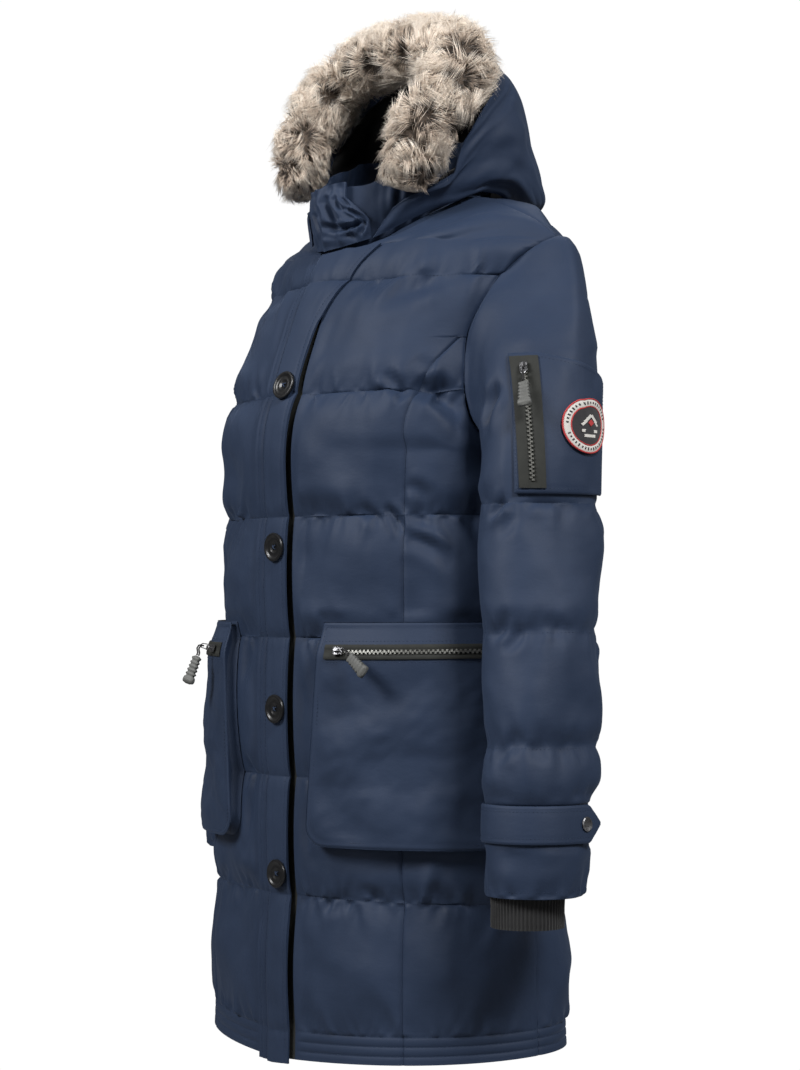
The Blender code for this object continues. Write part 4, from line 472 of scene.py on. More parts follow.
class Puckers:
    """Short folds that run out from a row of stitches, uneven in size."""

    def __init__(self, seed: int, low: float, high: float, spacing: float, height: float,
                 size: float = 1.0) -> None:
        """Lays the folds out along the stitches from low to high.

        Args:
            seed: Start of the random draws.
            low: Start of the row.
            high: End of the row.
            spacing: Mean distance between folds.
            height: Height of the largest fold.
            size: Scale of widths and lengths.
        """
        rng = np.random.default_rng(seed)
        count = int((high - low) / spacing)
        self.place = np.sort(rng.uniform(low, high, count))
        self.slant = rng.uniform(-0.5, 0.5, count)
        self.width = size * rng.uniform(0.0018, 0.0042, count)
        self.length = size * rng.uniform(0.004, 0.018, count)
        self.height = height * rng.uniform(0.25, 1.0, count) ** 1.3
        self.reach = 2.6 * float(self.length.max())

    def rise(self, across: np.ndarray, away: np.ndarray) -> np.ndarray:
        """Height at spots given by distance along the stitches and off them.

        Args:
            across: Distances along the stitches.
            away: Distances off the stitches.

        Returns:
            Heights.
        """
        rise = np.zeros(across.shape)
        near = (away >= 0) & (away < self.reach)
        if not near.any():
            return rise
        u = across[near][:, None]
        d = away[near][:, None]
        side = (u - self.place - self.slant * d) / (self.width + 0.10 * d)
        fade = (1 - np.exp(-(d / 0.0020) ** 2)) * np.exp(-(d / self.length) ** 1.4)
        rise[near] = (self.height * (np.exp(-side ** 2) - 0.5 * np.exp(-0.25 * side ** 2)) * fade).sum(axis=1)
        return rise


class Ripples:
    """Low, uneven swells of cloth."""

    def __init__(self, seed: int, longest: float, shortest: float, height: float, count: int = 22) -> None:
        """Draws waves of random length and direction.

        Args:
            seed: Start of the random draws.
            longest: Longest wave.
            shortest: Shortest wave.
            height: Height of the longest.
            count: Number of waves.
        """
        rng = np.random.default_rng(seed)
        length = np.exp(rng.uniform(math.log(shortest), math.log(longest), count))
        turn = rng.uniform(0, math.pi, count)
        self.along = np.stack((np.cos(turn), np.sin(turn))) * 2 * math.pi / length
        self.start = rng.uniform(0, 2 * math.pi, count)
        self.height = height * (length / longest) / math.sqrt(count)

    def rise(self, across: np.ndarray, up: np.ndarray) -> np.ndarray:
        """Height at spots given in metres across and up.

        Args:
            across: Distances across.
            up: Distances up.

        Returns:
            Heights.
        """
        total = np.zeros(across.shape)
        for (run, climb), start, height in zip(self.along.T, self.start, self.height):
            total += height * np.sin(run * across + climb * up + start)
        return total * 1.4


def crease_rise(table: Sequence[Crease], across: np.ndarray, up: np.ndarray) -> np.ndarray:
    """Height of listed troughs, below zero, with raised shoulders.

    Args:
        table: Troughs, in the units of the spots.
        across: Distances across.
        up: Distances up.

    Returns:
        Heights at the spots.
    """
    total = np.zeros(across.shape)
    for crease in table:
        run = np.array((crease.to_across - crease.from_across, crease.to_up - crease.from_up))
        size = float(np.hypot(*run))
        run /= size
        du = across - crease.from_across
        dv = up - crease.from_up
        t = (du * run[0] + dv * run[1]) / size
        inside = np.clip(4 * t * (1 - t), 0.0, 1.0)
        aside = (dv * run[0] - du * run[1]) - crease.bow * inside
        x = aside / crease.width
        shape = -np.exp(-x ** 2) + 0.42 * np.exp(-((np.abs(x) - 1.7) / 0.9) ** 2)
        total += crease.depth * shape * inside ** 0.6
    return total


# ---------------------------------------------------------------- body form

class BodyForm:
    """Surface of the body without its quilting, row by row."""

    SAMPLES = 320

    def __init__(self) -> None:
        """Fills the row tables of both halves."""
        self.tables = {}
        for front in (True, False):
            rows = []
            for height, side_x, side_y, ahead, behind in BODY:
                depth = -ahead if front else behind
                rows.append(Row(height, (0, depth, height), (side_x, depth, height),
                                (side_x, side_y, height), BODY_ROUNDNESS))
            self.tables[front] = rows + list(FRONT_YOKE if front else BACK_YOKE)
        self.fine_rows = np.concatenate((np.arange(-0.006, 0.76, 0.002), np.arange(0.76, 0.8081, 0.0004)))
        self.fine_lengths = {front: self.lines(front, self.fine_rows)[1] for front in (True, False)}

    def lines(self, front: bool, rows: np.ndarray) -> tuple:
        """Evenly sampled cross rows and their lengths.

        Args:
            front: True for the front half, False for the back.
            rows: Heights of the body's cross rows.

        Returns:
            Points of each row, from the centre to its end, and the rows' lengths.
        """
        table = self.tables[front]
        knots = [entry.row for entry in table]
        start = smooth(knots, [entry.start for entry in table], rows)
        bend = smooth(knots, [entry.bend for entry in table], rows)
        end = smooth(knots, [entry.end for entry in table], rows)
        weight = smooth(knots, [entry.roundness for entry in table], rows)[:, None, None]
        for line in (start, bend, end):
            line[:, 2] = np.where(rows < 0, rows, line[:, 2])
        t = np.linspace(0.0, 1.0, self.SAMPLES)[None, :, None]
        low = (1 - t) ** 2
        mid = 2 * weight * t * (1 - t)
        high = t ** 2
        line = (low * start[:, None] + mid * bend[:, None] + high * end[:, None]) / (low + mid + high)
        tilt = np.maximum(0.0, 1.0 - np.maximum(rows, 0.0) / HEM_TILT_TOP)[:, None]
        line[..., 2] += tilt * (HEM_TILT_X * line[..., 0] + HEM_TILT_Y * line[..., 1])
        steps = np.linalg.norm(np.diff(line, axis=1), axis=2)
        along = np.concatenate((np.zeros((len(rows), 1)), np.cumsum(steps, axis=1)), axis=1)
        even = np.empty_like(line)
        for i in range(len(rows)):
            marks = np.linspace(0.0, along[i, -1], self.SAMPLES)
            for k in range(3):
                even[i, :, k] = np.interp(marks, along[i], line[i, :, k])
        return lift(even), along[:, -1]

    def length(self, front: bool, rows: np.ndarray) -> np.ndarray:
        """Lengths of cross rows."""
        return np.interp(rows, self.fine_rows, self.fine_lengths[front])

    def points(self, front: bool, rows: np.ndarray, shares: np.ndarray) -> np.ndarray:
        """Points at shares of cross rows, on the wearer's left half.

        Args:
            front: True for the front half, False for the back.
            rows: Heights of the body's cross rows.
            shares: Shares of the rows' lengths, from the centre.

        Returns:
            Points in the part's frame.
        """
        rows, shares = np.broadcast_arrays(rows, shares)
        single, inverse = np.unique(np.round(rows, 6), return_inverse=True)
        lines, _ = self.lines(front, single)
        inverse = inverse.reshape(rows.shape)
        place = np.clip(shares, 0.0, 1.0) * (self.SAMPLES - 1)
        i = np.minimum(place.astype(int), self.SAMPLES - 2)
        part = (place - i)[..., None]
        return lines[inverse, i] * (1 - part) + lines[inverse, i + 1] * part

    def share_at_x(self, front: bool, rows: np.ndarray, x: np.ndarray) -> np.ndarray:
        """Shares at which rows reach a distance from the centre plane.

        Args:
            front: True for the front half, False for the back.
            rows: Heights of the body's cross rows.
            x: Distances from the centre plane.

        Returns:
            Shares of the rows' lengths.
        """
        rows, x = np.broadcast_arrays(np.asarray(rows, float), np.asarray(x, float))
        single, inverse = np.unique(np.round(rows, 6), return_inverse=True)
        lines, _ = self.lines(front, single)
        inverse = inverse.reshape(rows.shape)
        marks = np.linspace(0.0, 1.0, self.SAMPLES)
        shares = np.empty(rows.shape)
        for k in range(len(single)):
            mine = inverse == k
            shares[mine] = np.interp(x[mine], lines[k, :, 0], marks)
        return shares

    def _facing(self, front: bool, rows: np.ndarray, shares: np.ndarray) -> np.ndarray:
        """Outward directions of one half taken alone.

        Args:
            front: True for the front half, False for the back.
            rows: Heights of the body's cross rows.
            shares: Shares of the rows' lengths, from the centre.

        Returns:
            Directions of length 1.
        """
        step = 0.004
        rise = 0.0015
        across = (self.points(front, rows, np.minimum(shares + step, 1.0))
                  - self.points(front, rows, np.maximum(shares - step, 0.0)))
        upward = (self.points(front, np.minimum(rows + rise, SHOULDER_ROW), shares)
                  - self.points(front, rows - rise, shares))
        normal = np.cross(across, upward) * (1.0 if front else -1.0)
        middle = ease(shares * self.length(front, rows) / 0.004)
        centred = rows < (FRONT_NECK_ROW if front else BACK_NECK_ROW)
        normal[..., 0] *= np.where(centred, middle, 1.0)
        return unit(normal)

    def normals(self, front: bool, rows: np.ndarray, shares: np.ndarray) -> np.ndarray:
        """Outward directions, shared along the shoulder and side seams.

        Args:
            front: True for the front half, False for the back.
            rows: Heights of the body's cross rows.
            shares: Shares of the rows' lengths, from the centre.

        Returns:
            Directions of length 1.
        """
        rows, shares = np.broadcast_arrays(np.asarray(rows, float), np.asarray(shares, float))
        normal = self._facing(front, rows, shares)
        shoulder = ease((rows - SHOULDER_ROW + 0.004) / 0.004)
        side = ease((shares - 0.975) / 0.025) * (rows < ARMPIT_ROW + 0.001)
        weight = np.maximum(shoulder, side)[..., None]
        return unit(normal + weight * self._facing(not front, rows, shares))

    def princess(self, rows: np.ndarray) -> np.ndarray:
        """Shares of front rows at which the princess seam lies."""
        return self.share_at_x(True, rows, column(PRINCESS_SEAM, rows))


FORM = BodyForm()


def pillow(rows: np.ndarray) -> np.ndarray:
    """Height of the quilting between two stitched rows, from 0 to 1.

    Args:
        rows: Heights of the body's cross rows.

    Returns:
        Heights from 0 to 1.
    """
    rise = np.zeros(np.shape(rows))
    for low, high in zip(QUILT_ROWS[1:], QUILT_ROWS[2:]):
        t = np.clip((rows - low) / (high - low), 0.0, 1.0)
        rise = np.maximum(rise, np.sin(math.pi * t).clip(0.0, 1.0) ** (1.1 if low < 0.03 else 0.6))
    return rise


def neck_ease(rows: np.ndarray, aside: np.ndarray, neck_row: float) -> np.ndarray:
    """Part of the quilting height kept near the neckline, where there is none."""
    return np.minimum(np.hypot(aside, np.maximum(0.0, neck_row - rows)) / 0.030, 1.0)


def side_ease(rows: np.ndarray, aside: np.ndarray) -> np.ndarray:
    """Part of the quilting height kept near the side seam and armhole.

    Args:
        rows: Heights of the body's cross rows.
        aside: Distances from the side seam.

    Returns:
        Parts from 0 to 1.
    """
    edge = 0.35 * np.clip((ARMPIT_ROW - rows) / 0.02, 0.0, 1.0)
    reach = 0.030 + 0.030 * np.clip((rows - 0.490) / 0.080, 0.0, 1.0)
    return edge + (1.0 - edge) * np.minimum(aside / reach, 1.0)


def front_puff(rows: np.ndarray, shares: np.ndarray) -> np.ndarray:
    """Quilting height of the front, low at the centre and at every seam.

    Args:
        rows: Heights of the body's cross rows.
        shares: Shares of the rows' lengths, from the centre.

    Returns:
        Heights above the form.
    """
    length = FORM.length(True, rows)
    away = np.abs(shares - FORM.princess(rows)) * length
    near_seam = np.where(rows <= PRINCESS_TOP + 1e-9, np.minimum(away / 0.030, 1.0), 1.0)
    centre = np.minimum(shares * length / 0.055, 1.0)
    part = (0.30 + 0.70 * centre) * (0.45 + 0.55 * near_seam) * side_ease(rows, (1.0 - shares) * length)
    return PUFF * pillow(rows) * part * neck_ease(rows, shares * length, FRONT_NECK_ROW)


def back_puff(rows: np.ndarray, shares: np.ndarray) -> np.ndarray:
    """Quilting height of the back, low at the side seams.

    Args:
        rows: Heights of the body's cross rows.
        shares: Shares of the rows' lengths, from the centre.

    Returns:
        Heights above the form.
    """
    length = FORM.length(False, rows)
    part = side_ease(rows, (1.0 - shares) * length)
    return PUFF * pillow(rows) * part * neck_ease(rows, shares * length, BACK_NECK_ROW)


def front_point(rows: np.ndarray, shares: np.ndarray, raised: np.ndarray) -> np.ndarray:
    """Points raised above the front's own quilting."""
    height = front_puff(rows, shares) + raised
    return FORM.points(True, rows, shares) + height[..., None] * FORM.normals(True, rows, shares)


def placket_edge(rows: np.ndarray) -> np.ndarray:
    """Distance of the button strip's free edge from the centre."""
    return column(PLACKET_EDGE, rows)


class TorsoRelief:
    """Quilting, puckers and creases of the body's outer face."""

    SETTLED = 0.14

    def __init__(self, seed: int) -> None:
        """Draws the slow and quick swells of the cloth.

        Args:
            seed: Start of the random draws.
        """
        self.seed = seed
        self.slow = Ripples(seed, 0.150, 0.050, 0.0028)
        self.quick = Ripples(seed + 1, 0.050, 0.020, 0.00034)

    def details(self, front: bool, side: int, rows: np.ndarray, across: np.ndarray) -> np.ndarray:
        """Height of small folds at distances from the centre.

        Args:
            front: True for the front half, False for the back.
            side: 1 on the wearer's left, -1 on the right.
            rows: Heights of the body's cross rows.
            across: Distances from the centre.

        Returns:
            Heights above the quilting.
        """
        total = np.zeros(across.shape)
        for index, row in enumerate(QUILT_ROWS[1:-1]):
            for way in (-1, 1):
                if index == 0 and way < 0:
                    continue
                seed = self.seed + 100 * index + 10 * (way + 1) + (1 if front else 0)
                small = Puckers(seed, -0.30, 0.30, 0.0058, 0.0032)
                large = Puckers(seed + 3, -0.30, 0.30, 0.0190, 0.0056, 1.9)
                total += small.rise(across * side, way * (rows - row))
                total += large.rise(across * side, way * (rows - row))
            if index > 0:
                uneven = 0.7 + 0.4 * np.sin(across * side * 37.0 + row * 60.0)
                total += sag(rows - row, 0.0024, 0.0125) * uneven
        swell = self.slow.rise(across * side, rows) + self.quick.rise(across * side, rows)
        total += swell * pillow(rows) ** 0.5
        for row in HEM_ROWS + QUILT_ROWS[1:2]:
            total -= 0.0009 * np.exp(-((rows - row) / 0.0013) ** 2)
        return total + crease_rise(FRONT_CREASES if front else BACK_CREASES, across, rows)

    def front(self, side: int, rows: np.ndarray, shares: np.ndarray) -> np.ndarray:
        """Height of a front half above the form.

        Args:
            side: 1 on the wearer's left, -1 on the right.
            rows: Heights of the body's cross rows.
            shares: Shares of the rows' lengths, from the centre.

        Returns:
            Heights above the form.
        """
        length = FORM.length(True, rows)
        across = shares * length
        calm = ease((across - placket_edge(rows) - 0.004) / 0.014)
        calm = calm * neck_ease(rows, across, FRONT_NECK_ROW) * (1.0 - pocket_cover(across, rows))
        seam = np.abs(shares - FORM.princess(rows)) * length
        dips = 0.0013 * np.exp(-(seam / 0.0016) ** 2) * (rows <= PRINCESS_TOP + 0.001)
        dips = dips + 0.0010 * np.exp(-((1.0 - shares) * length / 0.0018) ** 2)
        total = self.details(True, side, rows, across) - self.SETTLED * front_puff(rows, shares)
        return front_puff(rows, shares) + total * calm - dips

    def back(self, side: int, rows: np.ndarray, shares: np.ndarray) -> np.ndarray:
        """Height of a back half above the form.

        Args:
            side: 1 on the wearer's left, -1 on the right.
            rows: Heights of the body's cross rows.
            shares: Shares of the rows' lengths, from the centre.

        Returns:
            Heights above the form.
        """
        length = FORM.length(False, rows)
        across = shares * length
        calm = neck_ease(rows, across, BACK_NECK_ROW)
        dips = 0.0010 * np.exp(-((1.0 - shares) * length / 0.0018) ** 2)
        total = self.details(False, side, rows, across) - self.SETTLED * back_puff(rows, shares)
        return back_puff(rows, shares) + total * calm - dips


def sag(above: np.ndarray, height: float, wide: float) -> np.ndarray:
    """Height of padding that sinks onto a row of stitches, by distance above the row."""
    return height * (np.exp(-(above / wide - 1.9) ** 2) - 0.9 * np.exp(-(above / wide) ** 2))


def pocket_cover(across: np.ndarray, rows: np.ndarray) -> np.ndarray:
    """1 under a body pocket, fading to 0 a little way outside it.

    Args:
        across: Distances from the centre.
        rows: Heights of the body's cross rows.

    Returns:
        Cover from 0 to 1.
    """
    low = POCKET_NEAR_LOW + (rows - POCKET_BOTTOM) / (POCKET_TOP - POCKET_BOTTOM) * (
        POCKET_NEAR_TOP - POCKET_NEAR_LOW)
    beyond = np.maximum.reduce((low - across, across - POCKET_FAR_LOW, rows - POCKET_TOP,
                                POCKET_BOTTOM - rows))
    return 1.0 - ease((beyond - 0.003) / 0.010)


# ---------------------------------------------------------------- meshes

class Shell:
    """Closed mesh put together from grids of points and the rims between them."""

    def __init__(self) -> None:
        """Starts with no points."""
        self.blocks: list = []
        self.faces: list = []
        self.count = 0

    def add(self, points: np.ndarray) -> np.ndarray:
        """Numbers of new points, in the shape of their grid.

        Args:
            points: Grid of points.

        Returns:
            Grid of their numbers.
        """
        flat = np.asarray(points, dtype=float).reshape(-1, 3)
        numbers = np.arange(self.count, self.count + len(flat)).reshape(np.shape(points)[:-1])
        self.blocks.append(flat)
        self.count += len(flat)
        return numbers

    def grid(self, numbers: np.ndarray, ring: bool = False) -> None:
        """Quads over a grid of numbers, closed around if it is a ring.

        Args:
            numbers: Grid of numbers.
            ring: True where its columns close around.
        """
        if ring:
            numbers = np.concatenate((numbers, numbers[:, :1]), axis=1)
        quads = np.stack((numbers[:-1, :-1], numbers[:-1, 1:], numbers[1:, 1:], numbers[1:, :-1]), axis=-1)
        self.faces.append(quads.reshape(-1, 4))

    def rim(self, outer: np.ndarray, inner: np.ndarray, outer_marks: Sequence = (),
            inner_marks: Sequence = ()) -> None:
        """Faces between two lines of numbers, matched by the marks they carry.

        Args:
            outer: Numbers along the outer line.
            inner: Numbers along the inner line.
            outer_marks: Rising marks of the outer numbers.
            inner_marks: Rising marks of the inner numbers.
        """
        outer_marks = outer_marks if len(outer_marks) else np.linspace(0, 1, len(outer))
        inner_marks = inner_marks if len(inner_marks) else np.linspace(0, 1, len(inner))
        a = b = 0
        triangles = []
        while a < len(outer) - 1 or b < len(inner) - 1:
            outer_next = outer_marks[a + 1] if a < len(outer) - 1 else math.inf
            inner_next = inner_marks[b + 1] if b < len(inner) - 1 else math.inf
            if outer_next <= inner_next:
                triangles.append((outer[a], outer[a + 1], inner[b]))
                a += 1
            else:
                triangles.append((outer[a], inner[b + 1], inner[b]))
                b += 1
        self.faces.append(np.array(triangles))

    def fan(self, ring: np.ndarray, middle: int) -> None:
        """Triangles from a closed ring of numbers to one point."""
        around = np.roll(ring, -1)
        self.faces.append(np.stack((ring, around, np.full(len(ring), middle)), axis=-1))

    def build(self, name: str, slot: Slot, sharp: float = 50.0, merge: float = 1e-6,
              body: str = "garment") -> bpy.types.Object:
        """Named object with every face turned outward.

        Args:
            name: The piece's name.
            slot: Finish that it takes.
            sharp: Angle in degrees past which an edge is not smoothed.
            merge: Distance within which points become one, or 0.
            body: Body that it rides on.

        Returns:
            The new object.
        """
        mesh = bpy.data.meshes.new(name)
        points = np.concatenate(self.blocks)
        sizes = np.concatenate([np.full(len(block), block.shape[1]) for block in self.faces])
        loops = np.concatenate([block.ravel() for block in self.faces])
        mesh.vertices.add(len(points))
        mesh.vertices.foreach_set("co", points.ravel())
        mesh.loops.add(len(loops))
        mesh.loops.foreach_set("vertex_index", loops.astype(np.int32))
        mesh.polygons.add(len(sizes))
        mesh.polygons.foreach_set("loop_start", np.concatenate(([0], np.cumsum(sizes)[:-1])).astype(np.int32))
        mesh.update(calc_edges=True)
        mesh.validate()
        work = bmesh.new()
        work.from_mesh(mesh)
        if merge:
            bmesh.ops.remove_doubles(work, verts=work.verts, dist=merge)
        bmesh.ops.recalc_face_normals(work, faces=work.faces)
        if work.calc_volume(signed=True) < 0:
            bmesh.ops.reverse_faces(work, faces=work.faces)
        work.to_mesh(mesh)
        work.free()
        mesh.polygons.foreach_set("use_smooth", np.ones(len(mesh.polygons), dtype=bool))
        mesh.set_sharp_from_angle(angle=math.radians(sharp))
        return settle(name, mesh, slot, body)


def settle(name: str, mesh: bpy.types.Mesh, slot: Slot, body: str) -> bpy.types.Object:
    """New object that rides on a body and wears a finish.

    Args:
        name: The piece's name.
        mesh: Its faces.
        slot: Finish that it takes.
        body: Body that it rides on.

    Returns:
        The object.
    """
    thing = bpy.data.objects.new(name, mesh)
    bpy.context.scene.collection.objects.link(thing)
    mesh.materials.append(FINISHES[slot])
    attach(thing, body)
    LOG.info("%s: %d faces", name, len(mesh.polygons))
    return thing


def flat_sheet(shell: Shell, outer: np.ndarray, inner: np.ndarray, up: Sequence, across: Sequence,
               inner_up: Sequence, inner_across: Sequence) -> None:
    """Both faces of an open piece and the rim all round it.

    Args:
        shell: Mesh that takes the points.
        outer: Points of the outer face.
        inner: Points of the inner face.
        up: Marks of the outer rows.
        across: Marks of the outer columns.
        inner_up: Marks of the inner rows.
        inner_across: Marks of the inner columns.
    """
    above = shell.add(outer)
    below = shell.add(inner)
    shell.grid(above)
    shell.grid(below)
    shell.rim(above[0], below[0], across, inner_across)
    shell.rim(above[-1], below[-1], across, inner_across)
    shell.rim(above[:, 0], below[:, 0], up, inner_up)
    shell.rim(above[:, -1], below[:, -1], up, inner_up)


def every(count: int, step: int) -> np.ndarray:
    """Every so many of a count of numbers, with the last one.

    Args:
        count: How many there are.
        step: Every so many.

    Returns:
        The numbers kept.
    """
    picked = list(range(0, count, step))
    if picked[-1] != count - 1:
        picked.append(count - 1)
    return np.array(picked)


def closest(values: np.ndarray, at: float) -> int:
    """Number of the value that lies closest to another."""
    return int(np.argmin(np.abs(values - at)))


def lowest_near(heights: np.ndarray, reach: int) -> np.ndarray:
    """Lowest height around each spot of a grid.

    Args:
        heights: Grid of heights.
        reach: Spots looked at to each side.

    Returns:
        Grid of lowest heights.
    """
    low = heights.copy()
    for _ in range(reach):
        padded = np.pad(low, 1, mode="edge")
        low = np.minimum.reduce((padded[1:-1, 1:-1], padded[:-2, 1:-1], padded[2:, 1:-1],
                                 padded[1:-1, :-2], padded[1:-1, 2:]))
    return low


@dataclass
class Stitches:
    """Rows of short raised stitches, joined in one piece."""

    name: str
    length: float = 0.0026
    pitch: float = 0.0036
    radius: float = 0.00030
    centres: list = field(default_factory=list)
    runs: list = field(default_factory=list)
    outs: list = field(default_factory=list)

    def row(self, line: np.ndarray, normals: np.ndarray, raised: float = 0.0001) -> None:
        """Adds stitches along a line of points with outward directions.

        Args:
            line: Points in order.
            normals: Outward directions at the points.
            raised: Height above the line.
        """
        along = line_lengths(line)
        count = max(int(along[-1] / self.pitch), 1)
        marks = (np.arange(count) + 0.5) * along[-1] / count
        place = np.stack([np.interp(marks, along, line[:, k]) for k in range(3)], axis=1)
        out = unit(np.stack([np.interp(marks, along, normals[:, k]) for k in range(3)], axis=1))
        ahead = np.stack([np.interp(marks + 0.0008, along, line[:, k]) for k in range(3)], axis=1)
        behind = np.stack([np.interp(marks - 0.0008, along, line[:, k]) for k in range(3)], axis=1)
        self.centres.append(place + raised * out)
        self.runs.append(unit(ahead - behind))
        self.outs.append(out)

    def build(self, slot: Slot) -> bpy.types.Object:
        """Joined mesh of every stitch added so far.

        Args:
            slot: Finish that it takes.

        Returns:
            The joined stitches.
        """
        centres = np.concatenate(self.centres)
        runs = np.concatenate(self.runs)
        outs = np.concatenate(self.outs)
        sides = unit(np.cross(runs, outs))
        half = 0.5 * self.length
        corners = np.stack((
            centres - half * runs - 0.6 * self.radius * outs,
            centres + self.radius * sides, centres + self.radius * outs,
            centres - self.radius * sides, centres - self.radius * outs,
            centres + half * runs - 0.6 * self.radius * outs,
        ), axis=1)
        shell = Shell()
        numbers = shell.add(corners)
        for k in range(4):
            n = 1 + (k + 1) % 4
            shell.faces.append(numbers[:, [0, n, 1 + k]])
            shell.faces.append(numbers[:, [5, 1 + k, n]])
        return shell.build(self.name, slot, sharp=180.0, merge=0.0)


# ---------------------------------------------------------------- finishes

class Value:
    """Shader value with operators for its maths."""

    def __init__(self, graph: "Graph", socket: bpy.types.NodeSocket) -> None:
        """Wraps a node's output."""
        self.graph = graph
        self.socket = socket

    def _with(self, operation: str, first: object, second: object) -> "Value":
        """Result of one maths node."""
        return self.graph.node("ShaderNodeMath", {"operation": operation}, {0: first, 1: second})

    def __add__(self, other: object) -> "Value":
        """Sum."""
        return self._with("ADD", self, other)

    def __radd__(self, other: object) -> "Value":
        """Sum, the other way round."""
        return self._with("ADD", other, self)

    def __sub__(self, other: object) -> "Value":
        """Difference."""
        return self._with("SUBTRACT", self, other)

    def __rsub__(self, other: object) -> "Value":
        """Difference, the other way round."""
        return self._with("SUBTRACT", other, self)

    def __mul__(self, other: object) -> "Value":
        """Product."""
        return self._with("MULTIPLY", self, other)

    def __rmul__(self, other: object) -> "Value":
        """Product, the other way round."""
        return self._with("MULTIPLY", other, self)

    def within(self, low: float, high: float) -> "Value":
        """Share of the way from low to high, held from 0 to 1."""
        return self.graph.node("ShaderNodeMapRange", {"clamp": True},
                               {0: self, 1: low, 2: high, 3: 0.0, 4: 1.0})


class Graph:
    """Node tree of one finish."""

    def __init__(self, name: str) -> None:
        """Starts a material with a plain principled shader.

        Args:
            name: Name of its material.
        """
        self.material = bpy.data.materials.new(name)
        self.material.use_nodes = True
        self.tree = self.material.node_tree
        self.shader = self.tree.nodes["Principled BSDF"]

    def node(self, kind: str, settings: Optional[dict] = None, inputs: Optional[dict] = None,
             output: object = 0) -> Value:
        """Adds a node.

        Args:
            kind: Node type.
            settings: Its own properties.
            inputs: Values or constants by input name or number.
            output: Output to hand on.

        Returns:
            That output, ready for maths.
        """
        made = self.tree.nodes.new(kind)
        for key, value in (settings or {}).items():
            setattr(made, key, value)
        for key, value in (inputs or {}).items():
            self.set(made.inputs[key], value)
        return Value(self, made.outputs[output])

    def set(self, socket: bpy.types.NodeSocket, value: object) -> None:
        """Links a value to an input, or sets it as a constant.

        Args:
            socket: Input to fill.
            value: Shader value or constant.
        """
        if isinstance(value, Value):
            self.tree.links.new(value.socket, socket)
        elif isinstance(value, tuple) and len(value) == 3 and socket.type == "RGBA":
            socket.default_value = (*value, 1.0)
        else:
            socket.default_value = value

    def place(self) -> Value:
        """Object coordinates."""
        return self.node("ShaderNodeTexCoord", output="Object")

    def noise(self, where: Value, scale: float, detail: float = 2.0, roughness: float = 0.5) -> Value:
        """Noise from 0 to 1."""
        return self.node("ShaderNodeTexNoise", {}, {"Vector": where, "Scale": scale, "Detail": detail,
                                                    "Roughness": roughness})

    def stretched(self, where: Value, scale: tuple) -> Value:
        """Coordinates scaled along each axis."""
        return self.node("ShaderNodeVectorMath", {"operation": "MULTIPLY"}, {0: where, 1: scale})

    def mix(self, first: object, second: object, share: object) -> Value:
        """Colour between two others.

        Args:
            first: Colour at share 0.
            second: Colour at share 1.
            share: Share from 0 to 1.

        Returns:
            The colour.
        """
        made = self.tree.nodes.new("ShaderNodeMix")
        made.data_type = "RGBA"
        self.set(made.inputs[0], share)
        self.set(made.inputs[6], first)
        self.set(made.inputs[7], second)
        return Value(self, made.outputs[2])

    def bump(self, height: Value, strength: float, distance: float) -> Value:
        """Normal raised by a height."""
        return self.node("ShaderNodeBump", {}, {"Strength": strength, "Distance": distance, "Height": height})

    def finish(self, inputs: dict) -> bpy.types.Material:
        """Sets the shader's inputs.

        Args:
            inputs: Values or constants by input name.

        Returns:
            The material.
        """
        for key, value in inputs.items():
            self.set(self.shader.inputs[key], value)
        return self.material


@dataclass(frozen=True)
class WovenCloth:
    """Close, slightly shiny weave."""

    slot: Slot
    colour: tuple
    faded: tuple
    roughness: float = 0.62
    sheen: float = 0.10
    sheen_tint: tuple = (0.45, 0.58, 0.85)
    crinkle: float = 0.85

    def build(self) -> bpy.types.Material:
        """Material of the cloth.

        Returns:
            The material.
        """
        graph = Graph(self.slot.value + "_look")
        where = graph.place()
        threads = graph.noise(graph.stretched(where, (1.0, 1.0, 0.16)), 1500.0, 1.0)
        wefts = graph.noise(graph.stretched(where, (0.22, 0.22, 1.0)), 1700.0, 1.0)
        tone = graph.noise(where, 9.0, 3.0)
        fine = graph.noise(where, 60.0, 2.0)
        share = (tone * 0.75 + fine * 0.25).within(0.32, 0.70)
        colour = graph.mix(self.colour, self.faded, share)
        rough = self.roughness + (threads - 0.5) * 0.10 + (tone - 0.5) * 0.08
        crinkle = graph.noise(graph.stretched(where, (1.0, 1.0, 1.9)), 85.0, 4.0, 0.6)
        weave = threads * 0.08 + wefts * 0.07 + crinkle * self.crinkle
        return graph.finish({
            "Base Color": colour, "Roughness": rough, "Sheen Weight": self.sheen,
            "Sheen Roughness": 0.42, "Sheen Tint": self.sheen_tint, "Specular IOR Level": 0.26,
            "Normal": graph.bump(weave, 0.30, 0.0010),
        })


@dataclass(frozen=True)
class PlainFinish:
    """Even finish with a fine grain."""

    slot: Slot
    colour: tuple
    worn: tuple
    roughness: float
    metallic: float = 0.0
    sheen: float = 0.0
    scale: float = 400.0
    grain: float = 0.00005

    def build(self) -> bpy.types.Material:
        """Material of the piece.

        Returns:
            The material.
        """
        graph = Graph(self.slot.value + "_look")
        where = graph.place()
        fine = graph.noise(where, self.scale, 2.0)
        slow = graph.noise(where, self.scale * 0.08, 2.0)
        colour = graph.mix(self.colour, self.worn, (fine * 0.5 + slow * 0.5).within(0.35, 0.68))
        return graph.finish({
            "Base Color": colour, "Roughness": self.roughness + (fine - 0.5) * 0.14,
            "Metallic": self.metallic, "Sheen Weight": self.sheen,
            "Normal": graph.bump(fine, 0.4, self.grain),
        })


